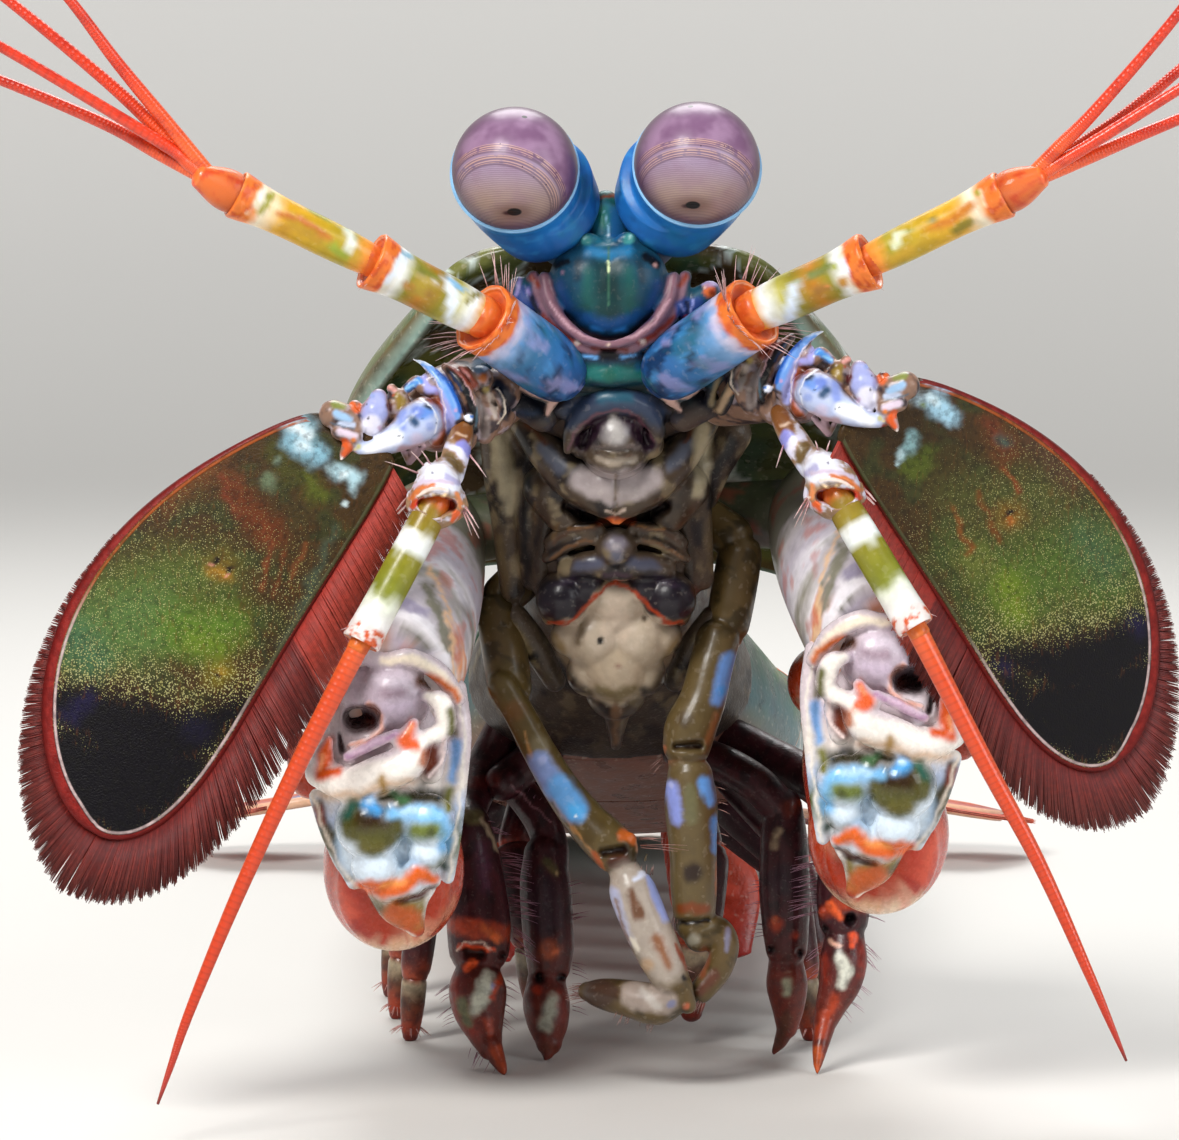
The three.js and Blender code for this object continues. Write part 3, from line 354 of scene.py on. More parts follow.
def ring_tube(shape, rings, run, sides=28, ends=(0.5, 0.5), square=1.0, paint=None, swell=None):
    """A closed tube through ring frames, with ends rounded by a share of the last ring's size."""
    turns = np.linspace(0, math.pi / 2, 6)[:-1]
    first, last = rings[0], rings[-1]
    reach = [end * min(np.linalg.norm(ring[1]), np.linalg.norm(ring[2]))
             for end, ring in zip(ends, (first, last))]
    front = [(first * np.array([[1], [math.sin(t)], [math.sin(t)]])) for t in turns]
    for ring, t in zip(front, turns):
        ring[0] -= run[0] * reach[0] * math.cos(t)
    rear = [(last * np.array([[1], [math.sin(t)], [math.sin(t)]])) for t in turns[::-1]]
    for ring, t in zip(rear, turns[::-1]):
        ring[0] += run[-1] * reach[1] * math.cos(t)
    frames = np.concatenate([front, rings, rear])
    shares = np.concatenate([np.zeros(len(turns)), np.linspace(0, 1, len(rings)), np.ones(len(turns))])
    rows = len(frames) - 1

    def at(u, v):
        row = np.rint(v * rows).astype(int)
        frame_here, share = frames[row], shares[row]
        angle = 2 * math.pi * u
        c, s = np.cos(angle), np.sin(angle)
        c, s = np.sign(c) * np.abs(c) ** square, np.sign(s) * np.abs(s) ** square
        grow = np.ones(len(u)) if swell is None else 1 + swell(u, share)
        outward = frame_here[:, 1] * c[:, None] + frame_here[:, 2] * s[:, None]
        spots = frame_here[:, 0] + outward * grow[:, None]
        colours = plain(PLAIN, u) if paint is None else paint(u, share, spots)
        return spots, np.stack([u, share], axis=1), colours, {}

    surface(shape, sides, rows, at)


def tube(shape, stations, sides=28, rings=None, upward=(0, 0, 1), **options):
    """A closed tube through stations, each a place with a radius or a half width and half depth."""
    sizes = [size if isinstance(size, (tuple, list)) else (size, size) for _, size in stations]
    table = np.hstack([np.array([place for place, _ in stations], float), np.array(sizes, float)])
    fine = along_line(table, np.linspace(0, 1, rings or 8 * len(stations)))
    frames, run = rings_along(fine[:, :3], np.maximum(fine[:, 3:], 0.01), upward)
    ring_tube(shape, frames, run, sides, **options)


def orb(shape, centre, size, sides=28, rows=18, paint=None):
    """An ellipsoid with its pole along z."""
    def at(u, v):
        angle, tilt = 2 * math.pi * u, math.pi * (v - 0.5)
        around = np.cos(tilt)
        local = np.stack([np.cos(angle) * around, np.sin(angle) * around, np.sin(tilt)], axis=1) * size
        spots = local + vec(centre)
        colours = plain(PLAIN, u) if paint is None else paint(u, v, spots)
        return spots, np.stack([u, v], axis=1), colours, {}

    surface(shape, sides, rows, at)


def plate(shape, columns, rows, at, thick, edge=0.04):
    """A closed plate with round edges: at(u, v, lift) gives places, UV places, colours and notes."""
    def rounded(share):
        near = np.minimum(share, 1 - share) / edge
        return np.sqrt(np.clip(1 - (1 - np.minimum(near, 1)) ** 2, 0, 1))

    def both(u, v):
        front = u <= 0.5
        across = np.where(front, 2 * u, 2 - 2 * u)
        lift = np.where(front, 1, -1) * thick / 2 * rounded(across) * rounded(v)
        return at(across, v, lift)

    surface(shape, 2 * columns, rows, both)


def fused(shape, fineness, smoothing):
    """The closed bodies of a shape run together into one skin of small squares, still to be painted."""
    mesh = bpy.data.meshes.new("draft")
    shape.bm.to_mesh(mesh)
    shape.bm.free()
    draft = bpy.data.objects.new("draft", mesh)
    bpy.context.scene.collection.objects.link(draft)
    remesh = draft.modifiers.new("skin", "REMESH")
    remesh.mode = "VOXEL"
    remesh.voxel_size = fineness
    relax = draft.modifiers.new("relax", "SMOOTH")
    relax.iterations = smoothing
    skin = draft.evaluated_get(bpy.context.evaluated_depsgraph_get()).to_mesh()
    joined = Shape()
    joined.bm.from_mesh(skin)
    layers = joined.bm.verts.layers.float_color
    joined.paint = layers.get("Paint") or layers.new("Paint")
    bpy.data.objects.remove(draft)
    bpy.data.meshes.remove(mesh)
    return joined


def repaint(shape, paint):
    """Colours every vertex of a shape by paint(places, normals)."""
    shape.bm.normal_update()
    spots = np.array([vertex.co for vertex in shape.bm.verts])
    normals = np.array([vertex.normal for vertex in shape.bm.verts])
    for vertex, colour in zip(shape.bm.verts, paint(spots, normals)):
        vertex[shape.paint] = (*colour, 1)


def finish_piece(shape, name, material, replaces=()):
    """Makes a shape a piece of the model in the shared frame. What would sink into the floor lies on it."""
    bmesh.ops.recalc_face_normals(shape.bm, faces=shape.bm.faces[:])
    bmesh.ops.transform(shape.bm, matrix=TO_FRAME, verts=shape.bm.verts[:])
    for vertex in shape.bm.verts:
        vertex.co.z = max(vertex.co.z, 0.0)
    mesh = bpy.data.meshes.new(name)
    shape.bm.to_mesh(mesh)
    shape.bm.free()
    mesh.polygons.foreach_set("use_smooth", np.ones(len(mesh.polygons), bool))
    mesh.materials.append(material)
    piece = bpy.data.objects.new(name, mesh)
    bpy.context.scene.collection.objects.link(piece)
    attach(piece, "root")
    if replaces:
        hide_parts(*replaces)
    return piece


# Bristles: many thin tapered hairs in one mesh. Each takes a small patch of the chart
BRISTLE_SIDES = 3
PATCH = 0.003
ABOVE_FLOOR = 0.02


class Bristles:
    """Hairs gathered from roots, tips and sizes, then made one mesh."""

    def __init__(self):
        self.rows = []

    def add(self, roots, tips, sag, width, thick, face, charts, root_colour, tip_colour):
        """sag moves each hair's middle; face is the way its flat side looks."""
        count = len(roots)
        spread = lambda value: np.broadcast_to(np.asarray(value, float).reshape(-1, 1), (count, 1))
        self.rows.append((
            np.asarray(roots, float), np.asarray(tips, float), np.broadcast_to(sag, (count, 3)),
            spread(width), spread(thick), np.broadcast_to(face, (count, 3)), np.asarray(charts, float),
            np.tile(tint(root_colour), (count, 1)), np.tile(tint(tip_colour), (count, 1)),
        ))

    def finish(self, name, slot, material):
        joined = (np.concatenate(part) for part in zip(*self.rows))
        roots, tips, sag, width, thick, face, charts, low, high = joined
        run = unit(tips - roots)
        across = unit(np.cross(run, face))
        deep = unit(np.cross(across, run))
        count = len(roots)
        middle = (roots + tips) / 2 + sag
        angles = 2 * math.pi * np.arange(BRISTLE_SIDES) / BRISTLE_SIDES
        rings = []
        for centre, share in ((roots, 1.0), (middle, 0.85), (tips, 0.3)):
            for angle in angles:
                aside = across * width * share * math.cos(angle)
                rings.append(centre + aside + deep * thick * share * math.sin(angle))
        spots = np.stack(rings, axis=1)
        faces = [(0, 2, 1), (6, 7, 8)]
        for ring in (0, 3):
            for side in range(BRISTLE_SIDES):
                after = (side + 1) % BRISTLE_SIDES
                faces.append((ring + side, ring + after, ring + 3 + after, ring + 3 + side))
        spots[:, :, 2] = np.maximum(spots[:, :, 2], ABOVE_FLOOR)
        verts = (spots.reshape(-1, 3) - np.array([0, MIDDLE_Y, 0])) * MM
        step = spots.shape[1]
        all_faces = [tuple(int(k) + step * i for k in one) for i in range(count) for one in faces]
        mesh = bpy.data.meshes.new(name)
        mesh.from_pydata(verts.tolist(), [], all_faces)
        share = np.repeat([0.0, 0.55, 1.0], BRISTLE_SIDES)
        colours = low[:, None] * (1 - share[None, :, None]) + high[:, None] * share[None, :, None]
        painted = np.concatenate([colours.reshape(-1, 3), np.ones((count * step, 1))], axis=1)
        layer = mesh.attributes.new("Paint", "FLOAT_COLOR", "POINT")
        layer.data.foreach_set("color", painted.astype(np.float32).ravel())
        corners = np.zeros(len(mesh.loops), np.int32)
        mesh.loops.foreach_get("vertex_index", corners)
        offsets = np.stack([np.tile(np.cos(angles), 3), np.repeat([-1.0, 0.0, 1.0], 3)], axis=1) * PATCH / 2
        chart = (charts[:, None] + offsets[None]).reshape(-1, 2)[corners]
        mesh.uv_layers.new(name="OFBake").data.foreach_set("uv", chart.astype(np.float32).ravel())
        mesh.polygons.foreach_set("use_smooth", np.ones(len(mesh.polygons), bool))
        mesh.materials.append(material)
        piece = bpy.data.objects.new(name, mesh)
        bpy.context.scene.collection.objects.link(piece)
        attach(piece, "root")
        return piece


# Finishes
LENS_ROWS = 210.0
FEELER_RINGS = 620.0
VIEW_LEVEL, VIEW_TILT = 0.998, 0.07
BELT_LINES = [
    (-0.06, 0.005), (-0.09, 0.01), (-0.125, 0.006), (-0.15, 0.004), (-0.22, 0.005), (-0.25, 0.009),
    (-0.29, 0.006), (-0.32, 0.004),
]


class Finish:
    """A material in the making, for a mesh in metres. The size of a pattern is given in millimetres."""

    def __init__(self, name, roughness=0.35, coat=0.3):
        self.material = bpy.data.materials.new(name)
        self.material.use_nodes = True
        self.tree = self.material.node_tree
        self.tree.nodes.clear()
        self.shader = self.node("ShaderNodeBsdfPrincipled")
        output = self.node("ShaderNodeOutputMaterial")
        self.tree.links.new(self.shader.outputs["BSDF"], output.inputs["Surface"])
        self.shader.inputs["Roughness"].default_value = roughness
        self.shader.inputs["Coat Weight"].default_value = coat
        self.shader.inputs["Coat Roughness"].default_value = 0.12
        self.where = self.node("ShaderNodeTexCoord").outputs["Object"]

    def node(self, kind, **settings):
        node = self.tree.nodes.new(kind)
        for name, value in settings.items():
            setattr(node, name, value)
        return node

    def feed(self, socket, value):
        if isinstance(value, bpy.types.NodeSocket):
            self.tree.links.new(value, socket)
        elif socket.type == "RGBA":
            socket.default_value = (*(tint(value) if isinstance(value, str) else value), 1)
        else:
            socket.default_value = value

    def attribute(self, name, output="Fac"):
        return self.node("ShaderNodeAttribute", attribute_name=name).outputs[output]

    def noise(self, size, detail=3.0, where=None, distortion=0.0):
        node = self.node("ShaderNodeTexNoise")
        self.feed(node.inputs["Vector"], where or self.where)
        node.inputs["Scale"].default_value = 1 / (size * MM)
        node.inputs["Detail"].default_value = detail
        node.inputs["Distortion"].default_value = distortion
        return node.outputs["Fac"]

    def cells(self, size):
        """How far places lie from the middle of cells of that size."""
        node = self.node("ShaderNodeTexVoronoi")
        self.feed(node.inputs["Vector"], self.where)
        node.inputs["Scale"].default_value = 1 / (size * MM)
        return node.outputs["Distance"]

    def stretched(self, scale):
        """Coordinates stretched, for streaks."""
        node = self.node("ShaderNodeMapping")
        self.feed(node.inputs["Vector"], self.where)
        node.inputs["Scale"].default_value = scale
        return node.outputs["Vector"]

    def maths(self, how, a, b=0.0):
        node = self.node("ShaderNodeMath", operation=how)
        self.feed(node.inputs[0], a)
        self.feed(node.inputs[1], b)
        return node.outputs[0]

    def step(self, value, low, high, to=(0.0, 1.0)):
        """A smooth step of value from low to high."""
        node = self.node("ShaderNodeMapRange", interpolation_type="SMOOTHSTEP")
        sockets = ("Value", "From Min", "From Max", "To Min", "To Max")
        for socket, number in zip(sockets, (value, low, high, *to)):
            self.feed(node.inputs[socket], number)
        return node.outputs["Result"]

    def blend(self, cover, under, top, how="MIX"):
        node = self.node("ShaderNodeMix", data_type="RGBA", blend_type=how)
        self.feed(node.inputs[0], cover)
        self.feed(node.inputs[6], under)
        self.feed(node.inputs[7], top)
        return node.outputs[2]

    def colour(self, value):
        self.feed(self.shader.inputs["Base Color"], value)

    def bump(self, height, depth):
        """Dents the surface by a height times a depth in millimetres."""
        node = self.node("ShaderNodeBump")
        self.feed(node.inputs["Height"], height)
        node.inputs["Distance"].default_value = depth * MM
        self.tree.links.new(node.outputs["Normal"], self.shader.inputs["Normal"])

    def rough(self, value, low, high):
        self.feed(self.shader.inputs["Roughness"], self.step(value, 0.3, 0.7, (low, high)))


def shell_finish(name, rough=(0.26, 0.46), coat=0.12, mottle=0.3, mottle_size=0.7, grain=0.16, depth=0.03,
                 shine=0.35, flecks=0.15):
    """Painted shell with soft mottling, fine pale and dark flecks and a pitted surface."""
    finish = Finish(name, coat=coat)
    painted = finish.attribute("Paint", "Color")
    cloud = finish.noise(mottle_size, 2.5)
    darker = finish.blend(finish.step(cloud, 0.62, 0.32, (0.0, mottle)), painted, "140d10")
    fleck = finish.step(finish.noise(grain * 1.4, 1.0), 0.6, 0.72)
    lighter = finish.blend(finish.maths("MULTIPLY", fleck, flecks), darker, "e8dccb", "SCREEN")
    finish.colour(lighter)
    pits = finish.noise(grain, 1.5)
    finish.rough(cloud, *rough)
    finish.bump(finish.maths("ADD", finish.maths("MULTIPLY", pits, 0.5), cloud), depth)
    finish.shader.inputs["Specular IOR Level"].default_value = shine
    return finish.material


def eye_finish(name, joints, belt, offset, pupil, speck):
    """The cornea: lilac with fine rows of lenses, a belt of tan lines, dark spots and painted shade towards
    its edge as seen from the front.
    """
    finish = Finish(name, roughness=0.34, coat=0.08)
    finish.shader.inputs["Specular IOR Level"].default_value = 0.26
    centre = (vec(joints["eye"]["centre"]) - np.array([0, MIDDLE_Y, 0])) * MM
    local = finish.node("ShaderNodeMapping", vector_type="POINT")
    finish.feed(local.inputs["Vector"], finish.where)
    scale = 1 / (EYE_RADIUS * MM)
    local.inputs["Location"].default_value = tuple(-centre * scale)
    local.inputs["Scale"].default_value = (scale, scale, scale)
    place = local.outputs["Vector"]

    def toward(direction):
        node = finish.node("ShaderNodeVectorMath", operation="DOT_PRODUCT")
        finish.feed(node.inputs[0], place)
        node.inputs[1].default_value = tuple(unit(direction))
        return node.outputs["Value"]

    height = toward(belt)
    facing = toward((0, -1, 0.07))
    level = toward((0.05, 0.28, 0.96))
    above = finish.maths("SUBTRACT", height, offset)
    cloud = finish.noise(1.6, 2.0)
    upper = finish.blend(finish.step(cloud, 0.35, 0.65), "7a5878", "9a7a98")
    lower = finish.blend(finish.step(level, -0.2, -0.75), "9a869e", "a0887e")
    lower = finish.blend(finish.step(cloud, 0.4, 0.7, (0.0, 0.4)), lower, "8a6a80")
    whole = finish.blend(finish.step(above, -0.22, -0.1), lower, upper)
    rows = finish.maths("SINE", finish.maths("MULTIPLY", level, LENS_ROWS))
    fading = finish.step(above, -0.2, -0.38, (0.04, 0.22))
    rows_low = finish.maths("MULTIPLY", finish.step(rows, -0.3, 0.8), fading)
    lined = finish.blend(rows_low, whole, "4a2c3c")
    broken = finish.step(finish.noise(0.55, 2.0), 0.34, 0.46)
    for i, (shift, width) in enumerate(BELT_LINES):
        drift = finish.maths("SUBTRACT", finish.noise(2.2 + 0.3 * i, 1.0), 0.5)
        wander = finish.maths("MULTIPLY", drift, 0.03)
        gap = finish.maths("SUBTRACT", finish.maths("ADD", above, wander), shift)
        distance = finish.maths("ABSOLUTE", gap)
        shade_at = finish.maths("ABSOLUTE", finish.maths("ADD", gap, 0.02))
        lined = finish.blend(finish.step(shade_at, 0.02, 0.004, (0.0, 0.45)), lined, "3c1c30")
        line = finish.maths("MULTIPLY", finish.step(distance, width * 1.5, width * 0.5, (0.0, 0.7)), broken)
        lined = finish.blend(line, lined, "c8a090")
    flecks = finish.step(finish.cells(0.55), 0.1, 0.06, (0.0, 0.8))
    near_belt = finish.step(finish.maths("ABSOLUTE", finish.maths("ADD", above, 0.19)), 0.2, 0.12)
    lined = finish.blend(finish.maths("MULTIPLY", flecks, near_belt), lined, "2a1020")
    # Painted shade: the cornea darkens to purple-brown where it turns away from the front.
    rim = finish.step(facing, 0.72, 0.2, (0.0, 0.9))
    edge_shaded = finish.blend(rim, lined, "3f1638")

    def spot(under, at, wide, high, colour, soft=0.15):
        gap = finish.node("ShaderNodeVectorMath", operation="SUBTRACT")
        finish.feed(gap.inputs[0], place)
        gap.inputs[1].default_value = at
        squash = finish.node("ShaderNodeVectorMath", operation="DIVIDE")
        finish.feed(squash.inputs[0], gap.outputs[0])
        squash.inputs[1].default_value = (wide, wide, high)
        reach = finish.node("ShaderNodeVectorMath", operation="LENGTH")
        finish.feed(reach.inputs[0], squash.outputs[0])
        return finish.blend(finish.step(reach.outputs["Value"], 1 + soft, 1 - soft), under, colour)

    haloed = spot(edge_shaded, pupil, 0.3, 0.14, "7a5f58", 0.6)
    beside = (pupil[0] - 0.11, pupil[1], pupil[2] - 0.02)
    haloed = spot(haloed, beside, 0.08, 0.035, "3a2226", 0.5)
    marked_eye = spot(haloed, pupil, 0.115, 0.066, "050304")
    finish.colour(spot(marked_eye, speck, 0.045, 0.03, "150a12"))
    low_rows = finish.maths("MULTIPLY", rows, finish.step(above, -0.2, -0.4))
    finish.bump(finish.maths("ADD", low_rows, finish.noise(0.08, 2.0)), 0.004)
    return finish.material


def view_point(right, up):
    """A place on the unit sphere from where it shows in the camera's view."""
    near = math.sqrt(max(0.0, 1 - right * right - up * up))
    return (right, -near * VIEW_LEVEL + up * VIEW_TILT, up * VIEW_LEVEL + near * VIEW_TILT)


def scale_finish(name):
    """The antennal scale: painted zones with gold dust, a white line and a red rim."""
    finish = Finish(name, coat=0.06)
    finish.shader.inputs["Specular IOR Level"].default_value = 0.14
    painted = finish.attribute("Paint", "Color")
    along, turn, rim = finish.attribute("Along"), finish.attribute("Turn"), finish.attribute("Rim")
    body = finish.blend(finish.step(finish.noise(0.35, 3.0), 0.42, 0.7, (0.0, 0.45)), painted, "0c0a04")
    streaks = finish.noise(0.5, 3.0, finish.stretched((2.4, 2.4, 0.6)), 0.6)
    streaks = finish.step(streaks, 0.55, 0.72, (0.0, 0.3))
    streaked = finish.maths("MULTIPLY", streaks, finish.step(finish.attribute("Dust"), 0.04, 0.16))
    body = finish.blend(streaked, body, "6a3c18")
    grains = finish.maths("LESS_THAN", finish.cells(0.11), finish.attribute("Dust"))
    sparse = finish.step(finish.noise(0.17, 1.0), 0.38, 0.5)
    gold = finish.blend(finish.noise(0.5, 1.0), "a09a40", "dcd8a0")
    sparse = finish.maths("MULTIPLY", sparse, 0.55)
    body = finish.blend(finish.maths("MULTIPLY", grains, sparse), body, gold)
    inner = finish.step(turn, -0.05, 0.1)
    widest = finish.maths("ADD", finish.maths("MULTIPLY", inner, 0.45), 0.34)
    wide = finish.maths("MULTIPLY", finish.step(along, 0.0, 18.0, (0.5, 1.0)), widest)
    red = finish.blend(finish.step(finish.noise(0.5, 3.0), 0.35, 0.65), "6a120e", "86201a")
    red = finish.blend(finish.step(rim, 0.5, 0.0), red, "560e0c")
    gap = finish.maths("ABSOLUTE", finish.maths("SUBTRACT", rim, finish.maths("ADD", wide, 0.07)))
    line = finish.step(gap, 0.12, 0.04)
    fading = finish.step(finish.noise(0.6, 2.0), 0.3, 0.6, (0.45, 0.9))
    tip_side = finish.step(along, 14.0, 19.0)
    line_colour = finish.blend(tip_side, finish.blend(inner, "4a4a30", "9a4a1c"), "c4acaa")
    body = finish.blend(finish.maths("MULTIPLY", line, fading), body, line_colour)
    finish.colour(finish.blend(finish.step(rim, wide, finish.maths("SUBTRACT", wide, 0.1)), body, red))
    grit = finish.noise(0.1, 1.5)
    finish.rough(grit, 0.34, 0.56)
    finish.bump(finish.maths("ADD", grit, finish.maths("MULTIPLY", line, 1.2)), 0.03)
    return finish.material


def feeler_finish(name):
    """Ringed feelers: the rings run round the tube by its UV map."""
    finish = Finish(name, coat=0.25)
    painted = finish.attribute("Paint", "Color")
    chart = finish.node("ShaderNodeUVMap", uv_map="UVMap")
    parts = finish.node("ShaderNodeSeparateXYZ")
    finish.feed(parts.inputs[0], chart.outputs[0])
    rings = finish.maths("SINE", finish.maths("MULTIPLY", parts.outputs["Y"], FEELER_RINGS))
    finish.colour(finish.blend(finish.step(rings, 0.2, 1.0, (0.0, 0.2)), painted, "7a1408"))
    finish.bump(rings, 0.007)
    finish.shader.inputs["Roughness"].default_value = 0.34
    return finish.material


def bristle_finish(name):
    finish = Finish(name, roughness=0.5, coat=0.0)
    painted = finish.attribute("Paint", "Color")
    darker = finish.step(finish.noise(0.3, 2.0), 0.35, 0.65, (0.0, 0.3))
    finish.colour(finish.blend(darker, painted, "2a0606"))
    return finish.material


SMOOTH_FINISH = shell_finish("smooth shell", rough=(0.28, 0.42), coat=0.08, mottle=0.12, grain=0.3,
                             depth=0.015, flecks=0.06)
GLOSS_FINISH = shell_finish("glossy shell", rough=(0.2, 0.34), coat=0.12, mottle=0.1, mottle_size=0.4,
                            grain=0.2, depth=0.012, flecks=0.04)
HEAD_FINISH = shell_finish("head shell", rough=(0.36, 0.52), coat=0.03, mottle=0.2, mottle_size=1.2,
                           depth=0.02, shine=0.25, flecks=0.02)
DARK_FINISH = shell_finish("maroon shell", rough=(0.3, 0.48), coat=0.06, mottle=0.35, mottle_size=0.5,
                           flecks=0.03)
FLESH_FINISH = shell_finish("soft skin", rough=(0.35, 0.55), coat=0.1, mottle=0.25, mottle_size=1.2,
                            depth=0.06, flecks=0.04)
PLATE_FINISH = shell_finish("back shell", rough=(0.25, 0.45), mottle=0.35, mottle_size=1.4, grain=0.3,
                            depth=0.05)
CUP_FINISH = shell_finish("eye cup shell", rough=(0.34, 0.46), coat=0.05, mottle=0.15, mottle_size=1.8,
                          grain=0.2, depth=0.008, shine=0.28, flecks=0.0)
FEELER_FINISH = feeler_finish("ringed feeler")
BRISTLE_FINISH = bristle_finish("bristles")


# The body's tube between its back line and its belly line
BODY_SIDES = 72


def body_ring(station, widen, sink):
    back = along_line(BACK, station / LAST_STATION)[0]
    belly = along_line(BELLY, station / LAST_STATION)[0]
    half = back[0] * widen
    back = np.array([0, back[1], back[2]])
    back = back + unit(belly - back) * sink
    return np.stack([(back + belly) / 2, [half, 0, 0], (back - belly) / 2])


def body_point(station, x, depth):
    back = along_line(BACK, station / LAST_STATION)[0]
    belly = along_line(BELLY, station / LAST_STATION)[0]
    spot = mix(np.array([0, back[1], back[2]]), belly, depth)
    return np.array([x, spot[1], spot[2]])


def body_tube(shape, stations, square, paint):
    """A length of the body: stations are (station, widen, sink)."""
    fine = along_line(stations, np.linspace(0, 1, 10 * len(stations)))
    rings = np.stack([body_ring(*row) for row in fine])
    ring_tube(shape, rings, unit(np.gradient(rings[:, 0], axis=0)), BODY_SIDES, (0.05, 0.05), square, paint)


# Eyes
CUP_SIDES = 110
CUP_ROWS = 110


def eye_axis(joints):
    return unit(vec(joints["eye"]["centre"]) - vec(joints["eye"]["root"]))


def right_twin(name, key):
    """Two moves for a row of the joint tables: places of a side to the right side's, and back again."""
    here, home = (np.array(JOINTS[side][key], float).reshape(-1, 3) for side in (name, "right"))
    turn = np.array([-JOINTS[name]["side"], 1, 1])
    shift = home - here * turn
    order = np.argsort(here[:, 2])

    def shifted(spots, known):
        height = np.asarray(spots, float)[:, 2]
        return np.stack([np.interp(height, known[order, 2], shift[order, k]) for k in range(3)], axis=1)

    def to_right(spots):
        return spots * turn + shifted(spots, here)

    def from_right(spots):
        return (spots - shifted(spots, home)) * turn

    return to_right, from_right


def make_eye(name, joints, belt, offset, pupil, speck):
    centre, axis = vec(joints["eye"]["centre"]), eye_axis(joints)
    side = joints["side"]
    rim = unit(np.array([side * 0.08, -0.93, 0.36]))
    bottom = -EYE_SEAT - EYE_CUP
    inner = unit(np.array([-side, 0.0, 0.3]))
    cup = Shape()
    shares = np.linspace(0, 1, CUP_ROWS)
    profile = along_line([
        (bottom - 0.5, 2.0, 0), (bottom - 0.15, 2.5, 0), (bottom + 0.3, 2.86, 0.02),
        (bottom + 1.0, 3.08, 0.1), (bottom + 2.0, 3.3, 0.35), (bottom + 2.9, 3.46, 0.6),
        (-1.5, 3.6, 0.85), (-0.9, 3.7, 1),
        (-0.55, 3.74, 1), (-0.34, 3.82, 1), (-0.2, 3.84, 1), (-0.12, 3.76, 1),
    ], shares)
    runs = unit(axis + (rim - axis) * profile[:, 2:])
    across = unit(np.cross((0, 0, 1), runs))
    deep = unit(np.cross(runs, across))
    radii = profile[:, 1:2]
    frames = np.stack([centre + runs * profile[:, :1], across * radii, deep * radii], axis=1)

    def collar(u, share):
        """The inner side's fold: a step that ends in a rounded edge below the rim."""
        along = np.interp(share, shares, profile[:, 0])
        angle = 2 * math.pi * u
        toward = np.clip(np.cos(angle - math.atan2(inner @ deep[30], inner @ across[30])), 0, 1) ** 0.7
        fold = 0.2 * smooth_step(-2.15, -2.6, along) * smooth_step(bottom - 0.3, bottom + 1.2, along)
        return toward * (fold - 0.02 * smooth_step(-3, -1.5, along))

    def cup_paint(u, share, spots):
        along = np.interp(share, shares, profile[:, 0]) + 0.1 * ripple(spots, 2.0, 2)
        # Painted shade: the blue deepens towards the cup's base, with dark blue clouds low down.
        colours = banded(along, [(bottom, "0c3068"), (bottom + 0.5, "154c8c"), (bottom + 1.6, "1b62ac"),
                                 (-2.4, "1d6cb6"), (-1.0, "2276c0"), (-0.4, "2c86cc")])
        cloud = smooth_step(0.1, 0.8, ripple(spots, 2.6, 3))
        colours = over(colours, 0.6 * cloud * smooth_step(-1.2, -2.6, along), "12407a")
        colours = patched(colours, spots, 1.8, 4, "3c96d4", 0.4, 0.3, 0.9)
        colours = patched(colours, spots, 3.4, 5, "1a7a94", 0.35, 0.2, 0.9)
        ahead = (spots - centre) @ rim
        return over(colours, smooth_step(-0.42, -0.34, ahead), "8cc0ec")

    ring_tube(cup, frames, runs, CUP_SIDES, (0.3, 0.02), paint=cup_paint, swell=collar)
    at = lambda along: centre + axis * along
    stalk_paint = end_to_end((0, "0d2f58"), (0.6, "3b6f8c"), (1, "8a6a74"))
    stalk = [(at(bottom + 1), 1.5), (at(bottom - 0.8), 1.55), ((side * 1.7, 4.2, 50.7), 1.3)]
    tube(cup, stalk, sides=32, paint=stalk_paint)
    finish_piece(cup, f"eye_cup_{name}", CUP_FINISH, [f"eye_stalk_{name}"])
    dome = Shape()
    orb(dome, centre, (EYE_RADIUS,) * 3, sides=96, rows=64)
    whole = dome.bm.verts[:] + dome.bm.edges[:] + dome.bm.faces[:]
    place, way = Vector(centre - rim * 1.4), Vector(-rim)
    cut = bmesh.ops.bisect_plane(dome.bm, geom=whole, plane_co=place, plane_no=way, clear_outer=True)
    loop = [edge for edge in cut["geom_cut"] if isinstance(edge, bmesh.types.BMEdge)]
    bmesh.ops.contextual_create(dome.bm, geom=loop)
    material = eye_finish(f"cornea {name}", joints, belt, offset, pupil, speck)
    finish_piece(dome, f"cornea_skin_{name}", material, [f"cornea_{name}"])


